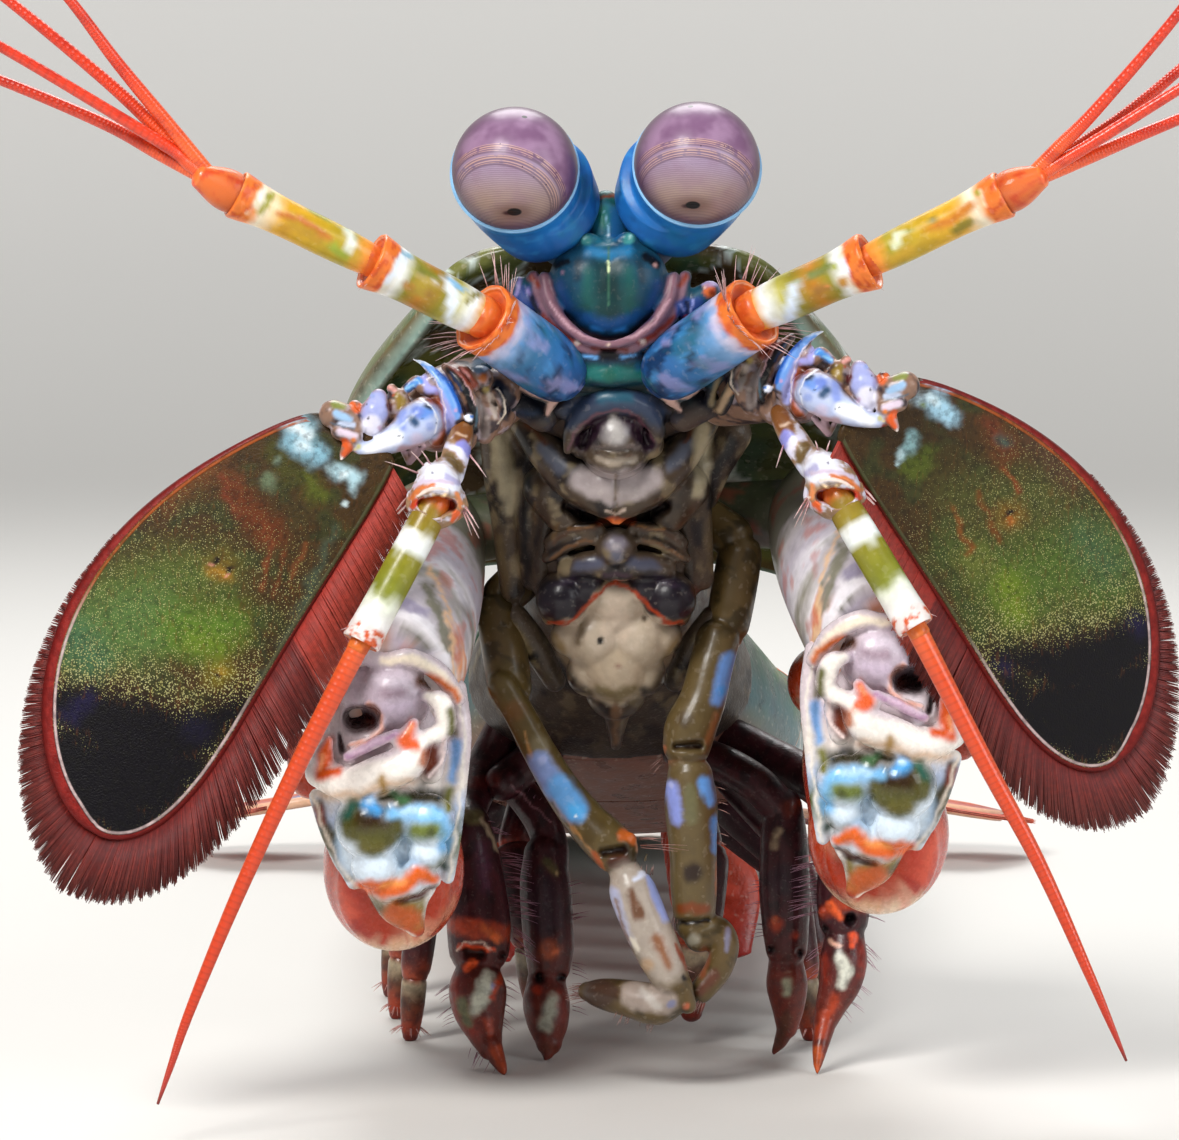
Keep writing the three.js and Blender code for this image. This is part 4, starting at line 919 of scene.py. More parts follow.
# The head, the mouth parts and the trunk as they show on their sheets
HEAD_SHEET = (400, 60, 3.92)
MOUTH_SHEET = (440, 360, 3.92)
HEAD_FORMS = [
    (745, 870, 1.2, 2.45), (890, 870, 1.2, 2.45), (817, 945, 1.2, 2.3), (690, 895, 2.0, 1.85),
    (945, 895, 2.0, 1.85), (817, 800, 1.5, 1.85),
    (690, 745, 0.9, 0.35, 735, 704, 0.3, 0.42, 785, 722, 0.3, 0.34),
    (944, 745, 0.9, 0.35, 895, 700, 0.3, 0.42, 850, 720, 0.3, 0.34),
    (745, 775, 0.2, 0.9, 890, 775, 0.2, 0.9),
    (806, 566, 2.7, 0.85, 806, 620, 2.5, 1.25, 808, 690, 2.2, 1.4),
    (832, 580, 2.7, 0.8, 832, 690, 2.3, 1.3), (817, 620, 3.6, 1.1, 817, 760, 3.6, 1.6),
    (565, 850, 0.7, 0.34, 580, 930, 0.2, 0.36, 625, 1010, -0.2, 0.38, 695, 1075, -0.5, 0.34,
        755, 1106, -0.7, 0.3, 817, 1118, -0.8, 0.28, 880, 1106, -0.7, 0.3, 942, 1075, -0.5, 0.34,
        1012, 1010, -0.2, 0.38, 1058, 930, 0.2, 0.36, 1074, 850, 0.7, 0.34),
    (522, 850, 1.3, 0.4, 545, 940, 0.8, 0.42, 592, 1030, 0.4, 0.42, 655, 1095, 0.1, 0.36,
        730, 1135, -0.1, 0.3, 817, 1150, -0.2, 0.26, 905, 1135, -0.1, 0.3, 980, 1095, 0.1, 0.36,
        1046, 1030, 0.4, 0.42, 1094, 940, 0.8, 0.42, 1118, 850, 1.3, 0.4),
    (690, 1172, 0.6, 0.5, 760, 1172, 0.1, 0.5, 817, 1180, 0.2, 0.35, 878, 1172, 0.1, 0.5,
        945, 1172, 0.6, 0.5),
    (690, 1228, 0.9, 0.6, 817, 1232, 0.4, 0.75, 950, 1228, 0.9, 0.6),
    (640, 1275, 1.4, 0.3, 740, 1290, 1.1, 0.3, 817, 1290, 1.0, 0.3, 900, 1288, 1.1, 0.3,
        1000, 1272, 1.4, 0.3),
    (666, 1175, 0.9, 0.22, 680, 1245, 0.9, 0.22), (986, 1168, 0.9, 0.22, 974, 1240, 0.9, 0.22),
    (460, 1275, 1.3, 0.22, 520, 1305, 0.9, 0.34, 600, 1312, 0.8, 0.5, 660, 1295, 1.0, 0.25),
    (600, 1330, 1.0, 0.4, 575, 1392, 1.2, 0.16),
    (985, 1290, 1.0, 0.25, 1050, 1308, 0.8, 0.5, 1120, 1312, 0.9, 0.34, 1188, 1275, 1.3, 0.2),
    (1060, 1330, 1.0, 0.4, 1100, 1372, 1.2, 0.16),
    (250, 1230, 1.2, 0.4, 330, 1300, 1.0, 0.45, 390, 1400, 1.3, 0.4),
    (330, 1210, 1.4, 0.4, 400, 1290, 1.2, 0.35, 430, 1370, 1.5, 0.3),
    (1390, 1200, 1.2, 0.4, 1310, 1280, 1.0, 0.45, 1260, 1370, 1.3, 0.4),
    (1300, 1190, 1.4, 0.4, 1230, 1270, 1.2, 0.35, 1210, 1350, 1.5, 0.3),
    (500, 960, 1.6, 0.9, 470, 900, 1.8, 0.8), (1135, 970, 1.5, 0.95, 1215, 905, 1.0, 0.62),
    (1225, 900, 0.6, 0.35), (480, 1340, 2.4, 0.9, 560, 1400, 2.4, 0.9),
    (1220, 1340, 2.4, 0.9, 1110, 1400, 2.4, 0.9),
]

HEAD_STROKES = [
    ("0f4058", 30, (817, 860, 250)), ("0c3436", 46, (817, 800, 60, 817, 960, 70)),
    ("175450", 34, (735, 830, 20, 735, 960, 26)), ("175450", 34, (898, 830, 20, 898, 960, 26)),
    ("174c88", 22, (700, 1010, 26, 817, 1046, 22, 930, 1010, 26)),
    ("2e7cca", 12, (755, 1056, 12, 790, 1062, 8)), ("2e7cca", 12, (880, 1056, 12, 845, 1062, 8)),
    ("123c70", 22, (625, 880, 18, 660, 985, 22)), ("123c70", 22, (1010, 880, 18, 975, 985, 22)),
    # The near-black 081a40 line round the shield is painted shade in the gap between the shield and the
    # fold round it.
    ("081a40", 10, (584, 860, 8, 612, 960, 8, 682, 1050, 8, 760, 1090, 8, 870, 1090, 8, 950, 1050, 8,
        1022, 960, 8, 1052, 860, 8)),
    ("1d70a0", 18, (745, 745, 24, 817, 765, 20, 890, 745, 24)),
    ("0c2c3c", 16, (700, 790, 16, 690, 860, 12)), ("0c2c3c", 16, (940, 790, 16, 950, 860, 12)),
    # The pale a4d4d0 dots on the ears are painted highlights; the near-black 030509 marks are painted shade
    # in the holes beside the shield.
    ("3f9090", 9, (735, 705, 22)), ("3f9090", 9, (895, 700, 22)), ("a4d4d0", 6, (726, 698, 6)),
    ("a4d4d0", 6, (903, 692, 6)), ("030509", 8, (610, 806, 10, 655, 792, 14)),
    ("030509", 8, (965, 772, 18, 1010, 800, 14)), ("b48a86", 6, (1000, 800, 8)),
    ("8a6a80", 6, (636, 832, 7)), ("3c6a54", 3, (817, 700, 2, 817, 960, 2)),
    ("dcecb4", 4, (815, 788, 4, 817, 834, 4)), ("1c6a80", 16, (790, 600, 50, 800, 680, 50)),
    ("1c5c94", 16, (850, 600, 24, 850, 680, 24)), ("1f7a6c", 14, (790, 590, 20, 800, 640, 20)),
    ("8a3c1c", 6, (762, 556, 4, 800, 530, 5, 838, 530, 5, 868, 556, 4)),
    ("8cc0d8", 4, (803, 590, 2, 812, 640, 3, 817, 690, 4)), ("eef6fa", 4, (817, 684, 4)),
    ("7e5864", 12, (568, 850, 20, 585, 940, 20, 640, 1030, 22, 720, 1092, 18, 817, 1112, 14,
        915, 1092, 18, 1000, 1030, 22, 1052, 940, 20, 1072, 850, 20)),
    ("84606e", 12, (525, 850, 22, 548, 940, 22, 600, 1040, 22, 700, 1125, 18, 817, 1148, 12,
        930, 1125, 18, 1040, 1040, 22, 1090, 940, 22, 1114, 850, 22)),
    ("b48c98", 5, (588, 950, 4, 648, 1036, 5, 730, 1086, 4, 817, 1098, 3, 908, 1086, 4, 992, 1036, 5,
        1054, 945, 4)),
    ("7a2616", 10, (560, 1000, 8, 640, 1080, 12, 700, 1112, 8)),
    ("7a2616", 10, (1080, 1000, 8, 1000, 1078, 12, 935, 1110, 8)),
    ("6a2418", 8, (755, 1130, 7, 817, 1136, 7, 885, 1130, 7)),
    ("8a3a2a", 10, (512, 850, 12, 540, 885, 10)), ("8a3a2a", 10, (1122, 850, 12, 1096, 885, 10)),
    ("dac6ba", 8, (692, 1108, 10)), ("dac6ba", 8, (950, 1104, 10)), ("dcc4b0", 6, (820, 1114, 6)),
    ("0a1428", 12, (690, 1165, 14, 950, 1165, 14)), ("05070c", 12, (795, 1152, 16, 838, 1152, 16)),
    ("62a0dc", 7, (722, 1158, 5, 768, 1164, 8)), ("62a0dc", 7, (870, 1164, 8, 925, 1156, 5)),
    ("17645f", 16, (700, 1228, 30, 940, 1228, 30)), ("1d5c50", 16, (822, 1236, 26)),
    ("1d5c90", 12, (705, 1206, 10)), ("1d5c90", 12, (935, 1206, 10)),
    ("c2a29a", 7, (667, 1178, 8, 680, 1240, 8)), ("c2a29a", 7, (986, 1170, 8, 975, 1236, 8)),
    ("04191a", 9, (640, 1284, 8, 740, 1292, 10, 900, 1292, 10, 1000, 1280, 8)),
    ("0a0a16", 16, (430, 1290, 40, 530, 1380, 40)), ("0a0a16", 16, (1180, 1310, 40, 1250, 1360, 40)),
    ("1a2c44", 16, (440, 1390, 14, 540, 1380, 10)),
    ("c8a498", 7, (466, 1280, 9, 520, 1304, 14, 598, 1312, 26, 655, 1298, 14)),
    ("c8a498", 7, (602, 1334, 20, 576, 1388, 7)),
    ("eedcd0", 5, (480, 1274, 4, 540, 1292, 5, 640, 1286, 5)),
    ("c8a498", 7, (988, 1288, 14, 1050, 1308, 26, 1120, 1312, 14, 1186, 1276, 8)),
    ("c8a498", 7, (1058, 1336, 20, 1098, 1370, 7)),
    ("eedcd0", 5, (1000, 1284, 5, 1090, 1296, 4, 1176, 1272, 4)),
    ("b4683c", 8, (215, 1215, 12, 290, 1262, 12, 350, 1330, 8)),
    ("7c2c14", 8, (235, 1235, 8, 300, 1290, 8)), ("c8a884", 10, (340, 1290, 16, 400, 1400, 16)),
    ("8a7a5c", 10, (380, 1280, 10, 420, 1380, 10)),
    ("b4683c", 8, (1420, 1180, 12, 1350, 1240, 12, 1290, 1310, 8)),
    ("7c2c14", 8, (1400, 1210, 8, 1340, 1270, 8)), ("c8a884", 10, (1300, 1270, 16, 1250, 1370, 16)),
    ("8a7a5c", 10, (1250, 1250, 10, 1220, 1350, 10)), ("27407e", 12, (500, 960, 40, 480, 910, 30)),
    ("9084bc", 7, (470, 850, 8, 455, 920, 6)), ("9084bc", 6, (500, 905, 6, 540, 960, 5)),
    ("0c1230", 8, (520, 930, 12, 545, 990, 10)), ("2a4688", 12, (1125, 975, 46, 1160, 960, 30)),
    ("8a94d0", 5, (1100, 960, 5, 1112, 990, 4)), ("8a94d0", 5, (1150, 940, 5, 1140, 1000, 4)),
    ("0c1230", 7, (1125, 950, 8, 1130, 1005, 7)), ("b8485a", 5, (1110, 1012, 5, 1160, 996, 4)),
    ("b4a2d0", 8, (1195, 876, 12, 1250, 872, 12, 1276, 918, 10, 1240, 946, 8)),
    ("dc6a30", 9, (1212, 908, 24)), ("a83c18", 8, (1222, 906, 12)), ("e8b8a4", 5, (1192, 890, 5)),
]

MOUTH_FORMS = {
    "labrum": [
        (690, 300, 2.2, 1.6),
        (600, 385, 2.4, 0.45, 645, 408, 2.0, 0.5, 690, 416, 1.8, 0.55, 735, 408, 2.0, 0.5,
            780, 385, 2.4, 0.45),
        (500, 352, 2.6, 0.3, 520, 270, 2.0, 0.55, 575, 200, 1.5, 0.75, 640, 165, 1.2, 0.85,
            690, 158, 1.1, 0.85, 745, 165, 1.2, 0.85, 810, 200, 1.5, 0.75, 850, 270, 2.0, 0.55,
            842, 345, 2.6, 0.3),
        (470, 190, 2.4, 0.7, 560, 160, 2.0, 0.8), (880, 200, 2.4, 0.7, 820, 160, 2.0, 0.8),
        (560, 330, 3.2, 0.9), (820, 330, 3.2, 0.9), (690, 330, 3.6, 2.2),
    ],
    "mandibles": [
        (330, 245, 5.2, 0.9, 430, 370, 4.8, 1.2, 560, 480, 4.4, 1.5, 650, 540, 4.4, 1.25),
        (1040, 235, 5.2, 0.9, 940, 370, 4.8, 1.2, 815, 480, 4.4, 1.5, 730, 540, 4.4, 1.25),
        (640, 490, 4.2, 1.35, 740, 490, 4.2, 1.35), (655, 560, 4.4, 0.95, 684, 628, 4.6, 0.3),
        (728, 560, 4.4, 0.95, 698, 628, 4.6, 0.3), (420, 500, 6.4, 1.5, 480, 600, 6.6, 1.2),
        (960, 500, 6.4, 1.5, 900, 600, 6.6, 1.2),
    ],
    "maxillae": [
        (430, 715, 6.8, 0.42, 500, 665, 6.4, 0.42, 620, 655, 6.0, 0.36),
        (950, 715, 6.8, 0.42, 880, 665, 6.4, 0.42, 760, 655, 6.0, 0.36),
        (420, 775, 6.9, 0.4, 510, 720, 6.5, 0.42, 600, 700, 6.1, 0.36),
        (960, 775, 6.9, 0.4, 870, 720, 6.5, 0.42, 790, 700, 6.1, 0.36), (690, 735, 6.2, 1.25),
        (505, 815, 7.0, 0.75, 600, 800, 6.6, 0.85, 665, 820, 6.4, 0.75),
        (880, 815, 7.0, 0.75, 780, 800, 6.6, 0.85, 715, 820, 6.4, 0.75), (480, 935, 7.8, 1.65),
        (575, 890, 7.6, 1.15), (900, 935, 7.8, 1.65), (805, 890, 7.6, 1.15), (515, 1080, 9.6, 1.3),
        (868, 1080, 9.6, 1.3), (590, 1225, 10.5, 1.5), (790, 1225, 10.5, 1.5), (610, 1085, 9.8, 2.1),
        (775, 1085, 9.8, 2.1), (690, 990, 9.2, 1.6), (690, 1190, 10.4, 2.35), (690, 1290, 11.4, 1.9),
        (690, 1330, 12.0, 1.2, 690, 1440, 13.0, 0.6, 690, 1510, 13.6, 0.35), (690, 900, 9.6, 2.6),
        (500, 760, 9.2, 1.9), (880, 760, 9.2, 1.9),
    ],
}

TRUNK_FORMS = [
    (225, 290, 9.0, 1.15, 250, 480, 9.4, 1.2, 262, 620, 10.0, 1.0, 285, 900, 11.0, 0.8),
    (355, 420, 8.4, 0.7, 345, 620, 8.6, 0.75, 360, 860, 9.4, 0.7),
    (430, 480, 7.8, 0.8, 420, 640, 8.0, 0.7, 400, 820, 8.6, 0.7, 440, 1000, 9.6, 0.7),
    (300, 1010, 11.2, 0.8, 380, 1130, 11.8, 0.9, 450, 1260, 12.6, 0.7),
    (1150, 290, 9.0, 1.15, 1080, 420, 9.2, 1.0, 1040, 540, 9.6, 0.8),
    (1015, 420, 8.4, 0.7, 1020, 620, 8.6, 0.75, 1030, 860, 9.4, 0.7),
    (945, 480, 7.8, 0.8, 955, 640, 8.0, 0.7, 980, 820, 8.6, 0.7, 940, 1000, 9.6, 0.7),
    (1070, 1010, 11.2, 0.8, 990, 1130, 11.8, 0.9, 920, 1260, 12.6, 0.7),
]

MOUTH_STROKES = [
    ("2b3850", 24, (500, 230, 50, 590, 170, 55, 690, 150, 55, 800, 170, 55, 870, 230, 50)),
    ("215064", 18, (640, 145, 22, 740, 145, 22)), ("0c0c12", 16, (470, 230, 24, 470, 300, 24)),
    ("0c0c12", 16, (900, 230, 24, 890, 300, 24)),
    ("2a1826", 16, (560, 320, 40, 600, 270, 40, 690, 230, 20, 770, 270, 40, 810, 320, 40)),
    ("6a4450", 6, (508, 350, 4, 530, 280, 4, 600, 215, 4, 660, 196, 4, 740, 200, 4, 800, 250, 4,
        842, 320, 4)),
    ("8e8888", 22, (690, 290, 50)), ("a9a4a0", 14, (680, 240, 18, 690, 300, 24)),
    ("6a605c", 8, (600, 340, 10, 690, 350, 8, 780, 340, 10)),
    ("96897a", 10, (620, 385, 14, 690, 400, 16, 760, 385, 14)),
    ("3a3022", 5, (596, 408, 4, 640, 428, 4, 690, 434, 4, 740, 428, 4, 784, 408, 4)),
    ("a89c9c", 24, (560, 470, 50, 690, 500, 60, 820, 470, 50)),
    ("a99d9c", 16, (600, 520, 26, 690, 540, 30, 780, 520, 26)),
    ("565a68", 18, (400, 340, 26, 470, 420, 26)), ("565a68", 18, (980, 330, 26, 910, 410, 26)),
    ("5a3420", 10, (340, 250, 10, 420, 330, 8)), ("5a3420", 10, (1020, 240, 10, 960, 320, 8)),
    ("7a6650", 6, (690, 450, 2, 690, 600, 3)), ("c8b4a4", 6, (660, 590, 6, 690, 610, 5, 720, 590, 6)),
    # The near-black 120708 strokes are painted shade in the two hollows that MOUTH_CUTS presses in.
    ("120708", 16, (490, 570, 22, 560, 610, 26, 610, 636, 8)),
    ("120708", 16, (890, 570, 22, 820, 610, 26, 760, 636, 8)),
    ("b84a18", 12, (625, 636, 10, 690, 632, 12, 755, 636, 10)), ("ee7a30", 7, (676, 634, 6, 706, 634, 6)),
    # On the brown rib arcs the lighter 8a6034 and 6a4420 lines are painted highlights, and the near-black
    # 1a0f0c between the ribs is painted shade.
    ("4a2c14", 8, (440, 715, 9, 510, 668, 9, 610, 658, 7)),
    ("4a2c14", 8, (940, 715, 9, 870, 668, 9, 770, 658, 7)), ("8a6034", 5, (500, 664, 4, 600, 652, 4)),
    ("8a6034", 5, (880, 664, 4, 780, 652, 4)), ("1a0f0c", 10, (450, 750, 12, 540, 700, 8)),
    ("1a0f0c", 10, (930, 750, 12, 840, 700, 8)), ("6a4420", 6, (430, 780, 6, 510, 728, 6, 590, 704, 5)),
    ("6a4420", 6, (955, 780, 6, 870, 728, 6, 800, 704, 5)), ("77707c", 18, (690, 720, 40)),
    ("9a9498", 10, (690, 730, 14)), ("484a5c", 16, (540, 810, 24, 620, 795, 26)),
    ("484a5c", 16, (840, 810, 24, 760, 795, 26)), ("5c5c6c", 14, (690, 775, 24)),
    ("0a0508", 6, (690, 812, 9)), ("3a2430", 10, (640, 850, 10, 690, 835, 8, 740, 850, 10)),
    ("17101a", 20, (450, 930, 80, 560, 880, 50)), ("17101a", 20, (930, 930, 80, 820, 880, 50)),
    ("2c2030", 14, (520, 860, 16, 440, 900, 12)), ("2c2030", 14, (860, 860, 16, 940, 900, 12)),
    ("bcac98", 24, (690, 1090, 200)), ("ae9e88", 24, (490, 1080, 44, 590, 1220, 64)),
    ("ae9e88", 24, (890, 1080, 44, 790, 1220, 64)), ("b2a088", 20, (690, 1240, 110)),
    ("c6b4a0", 14, (690, 960, 40, 690, 1050, 60)),
    ("17101a", 9, (440, 950, 64, 520, 950, 60, 600, 880, 22, 640, 860, 8)),
    ("17101a", 9, (935, 950, 64, 855, 950, 60, 780, 880, 22, 738, 860, 8)),
    ("a83a14", 6, (420, 1030, 5, 500, 1034, 6, 560, 980, 6, 620, 910, 6, 690, 868, 6)),
    ("a83a14", 6, (950, 1030, 5, 880, 1030, 6, 830, 975, 6, 765, 905, 6, 690, 868, 6)),
    ("8a7450", 16, (452, 1090, 16, 500, 1180, 14)), ("8a7450", 16, (928, 1090, 16, 880, 1180, 14)),
    ("6c5c46", 14, (560, 1030, 12, 540, 1110, 14)), ("5c4c3c", 9, (800, 1015, 10)),
    ("0a0606", 5, (632, 1098, 13)), ("80704e", 16, (620, 1290, 20, 690, 1320, 24, 760, 1290, 20)),
    ("6a4c34", 14, (690, 1360, 20, 690, 1500, 10)), ("8c6c5c", 10, (700, 1200, 8)),
    ("aa9e80", 16, (230, 300, 40, 260, 460, 44, 280, 590, 24)),
    ("120d0c", 12, (335, 330, 14, 345, 480, 16, 330, 640, 18, 345, 880, 14)),
    ("3a2a1a", 12, (400, 460, 18, 410, 640, 22, 390, 820, 20)), ("6a5234", 8, (368, 560, 5, 372, 640, 5)),
    ("6a5234", 8, (440, 700, 6, 470, 640, 5)), ("120d0c", 12, (210, 560, 10, 250, 640, 10)),
    ("5c4c34", 14, (230, 700, 20, 260, 860, 20, 250, 970, 14)),
    ("7a6a48", 12, (280, 1040, 14, 330, 1110, 18, 360, 1180, 14)),
    ("1a1410", 12, (370, 1160, 18, 330, 1190, 12)), ("4a3c28", 12, (420, 1240, 18)),
    ("b4a88a", 16, (1030, 270, 30, 1030, 420, 34, 1010, 520, 20)),
    ("120d0c", 12, (1150, 330, 24, 1080, 430, 22, 1060, 580, 14)),
    ("3a2a1a", 12, (960, 460, 14, 960, 640, 22, 985, 820, 20)),
    ("b8a884", 12, (1230, 330, 20, 1210, 420, 18)), ("7a3818", 14, (1120, 540, 24, 1230, 540, 22)),
    ("5c4c34", 14, (1050, 640, 20, 1060, 800, 16)), ("4a2412", 12, (1000, 900, 16, 1060, 960, 16)),
]

MOUTH_CUTS = [
    (1.0, 16, (500, 575, 16, 560, 612, 20)), (1.0, 16, (880, 575, 16, 820, 612, 20)),
    (0.35, 5, (632, 1098, 8)), (0.3, 8, (690, 812, 8)), (0.4, 10, (690, 445, 3, 690, 600, 4)),
    (0.5, 12, (560, 330, 16, 600, 280, 14)), (0.5, 12, (815, 330, 16, 775, 280, 14)),
    (0.3, 8, (600, 345, 4, 690, 356, 4, 780, 345, 4)),
]


def make_head():
    head = Shape()
    modelled(head, HEAD_SHEET, HEAD_FORMS, sides=28)
    orb(head, (0, 6, 44.3), (8.2, 5.2, 5.0), sides=40, rows=26)
    orb(head, (0, 5.4, 50.2), (3.2, 2.6, 1.8), sides=32, rows=20)
    head = fused(head, fineness=0.138, smoothing=3)

    def head_paint(spots, normals):
        height = spots[:, 2] + 0.4 * ripple(spots, 2.5, 61)
        colours = banded(height, [
            (38, "3a3028"), (41, "4a3c34"), (43, "163a44"), (46, "14405c"), (51, "15505e"), (55, "1a6a64"),
        ])
        colours = patched(colours, spots, 1.6, 62, "0c2038", 0.5, 0.2, 0.8)
        return stroked(HEAD_SHEET, spots, facing_front(normals), colours, HEAD_STROKES, waver=4, grain=0.9,
                       seed=63)

    repaint(head, head_paint)
    finish_piece(head, "head_shell_and_folds", HEAD_FINISH, ["head", "rostral_plate"])


# Antennules: the widths and bands of their three segments
ANTENNULE_WIDTHS = [2.0, 1.36, 1.08]
ANTENNULE_BANDS = [
    [
        (0, "1d3f74"), (0.35, "2a6aa8"), (0.6, "2f6f9c"), (0.76, "7fa8d8"), (0.84, "d0cbe4"),
        (0.93, "dcb0ae"), (0.97, "d8541c"), (1, "c8400f"),
    ],
    [
        (0, "e8661c"), (0.08, "d89a30"), (0.16, "eef2f4"), (0.3, "b8b050"), (0.42, "8a8020"),
        (0.58, "b87820"), (0.72, "8f8a26"), (0.82, "f2f4f2"), (0.92, "f0c890"), (0.96, "e0561a"),
        (1, "d04a14"),
    ],
    [
        (0, "e8661c"), (0.08, "e89838"), (0.2, "a89a28"), (0.45, "c8a020"), (0.7, "e0a828"),
        (0.83, "f6ead0"), (0.9, "f08a30"), (1, "ea5a18"),
    ],
]


def turned(shape, start, end, profile, sides, rows, **options):
    """A closed body turned on the line between two places: its profile is shares of the line and radii."""
    start, end = vec(start), vec(end)
    run = unit(end - start)
    across = unit(np.cross((0, 0, 1), run))
    fine = along_line(profile, np.linspace(0, 1, rows))
    places = start + (end - start) * fine[:, :1]
    frames = np.stack([places, across * fine[:, 1:], np.cross(run, across) * fine[:, 1:]], axis=1)
    ring_tube(shape, frames, np.tile(run, (rows, 1)), sides, **options)


def make_segment(shape, start, end, radius, flare, next_radius, bands, seed, collar="e8782c", mottling=0.0,
                 strokes=None):
    """One limb segment: narrow where it leaves its joint, with a cupped and flared rim at its far end."""
    start, end = vec(start), vec(end)
    length = np.linalg.norm(end - start)
    run = (end - start) / length
    lip = radius * flare

    def ragged(u, share):
        wave = np.sin(4 * math.pi * u + seed) + 0.6 * np.sin(10 * math.pi * u + 2.3 * seed)
        wave += 0.4 * np.sin(22 * math.pi * u)
        return 0.03 * wave * smooth_step(0.5, 0.7, share) * smooth_step(1.0, 0.9, share)

    def paint(u, share, spots):
        along = (spots - start) @ run / length + 0.02 * ripple(spots, 1.6, seed)
        colours = banded(along, bands)
        if mottling:
            fade = smooth_step(0.85, 0.6, along)
            dark = mottling * smooth_step(0.0, 0.6, ripple(spots, 2.0, seed + 1)) * fade
            colours = over(colours, dark, "0c2a50")
            colours = patched(colours, spots, 1.8, seed + 2, "4a98d8", 0.6 * mottling, 0.25, 0.9)
            colours = patched(colours, spots, 2.2, seed + 3, "9a98cc", 0.6 * mottling, 0.3, 0.9)
            teal = 0.6 * mottling * smooth_step(0.3, 0.9, ripple(spots, 2.4, seed + 4)) * fade
            colours = over(colours, teal, "16606a")
        if strokes:
            sheet, rows = strokes
            colours = stroked(sheet, spots, np.ones(len(spots)), colours, rows, waver=6, grain=0.7,
                              seed=seed)
        band = smooth_step(1 - 1.0 / length, 1 - 0.7 / length, along)[:, None]
        orange = patched(plain(collar, u), spots, 0.9, seed + 7, "d0541c", 1, 0, 0.8)
        rim = banded(share + 0.02 * ripple(spots, 0.6, seed + 6), [
            (0.7, collar), (0.76, "ee9460"), (0.79, "f4c09c"), (0.82, collar),
            (0.9, "e06a28"), (0.96, "c04c1c"),
        ])
        inside = smooth_step(0.7, 0.74, share)[:, None]
        return (colours * (1 - band) + orange * band) * (1 - inside) + rim * inside

    turned(shape, start, end, [
        (-0.02, radius * 0.72), (0.06, radius * 0.9), (0.28, radius), (0.66, radius * 1.02),
        (0.84, mix(radius, lip, 0.4)), (0.94, mix(radius, lip, 0.8)), (1.0, lip),
        (1 + 0.16 / length, lip * 0.97),
        (1 + 0.2 / length, lip * 0.91), (1 + 0.08 / length, lip * 0.85), (1 - 0.08 / length, lip * 0.78),
        (1 - 0.2 / length, next_radius * 0.9),
    ], sides=56, rows=80, ends=(0.35, 0.01), paint=paint, swell=ragged)

    def joint_paint(u, share, spots):
        return patched(plain("e0702c", u), spots, 1.2, seed + 8, "c85420", 1, 0.0, 0.8)

    joint = [(end - run * 0.9, next_radius * 0.95), (end + run * 0.6, next_radius * 0.95)]
    tube(shape, joint, sides=28, rings=10, paint=joint_paint)


def fan_bristles(bristles, centre, run, radius, count, length, spread, seed, colours=("d89a98", "e8c8c8"),
                 width=0.045):
    """A ring of hairs round a joint that lean outwards along run."""
    draw = random.Random(seed)
    run = unit(run)
    side = unit(np.cross(run, (0.1, 0.2, 1)))
    other = np.cross(run, side)
    roots, tips = [], []
    for _ in range(count):
        angle = 2 * math.pi * draw.uniform(0, 1)
        out = side * math.cos(angle) + other * math.sin(angle)
        root = centre + out * radius * 0.96
        lean = unit(out * spread + run + 0.25 * np.array([draw.uniform(-1, 1) for _ in range(3)]))
        roots.append(root - lean * 0.2)
        tips.append(root + lean * length * draw.uniform(0.55, 1.1))
    charts = np.array([[draw.random(), draw.random()] for _ in roots])
    sag = np.array([[0, 0, 0.03 * length]])
    bristles.add(roots, tips, sag, width, width, run, charts, *colours)


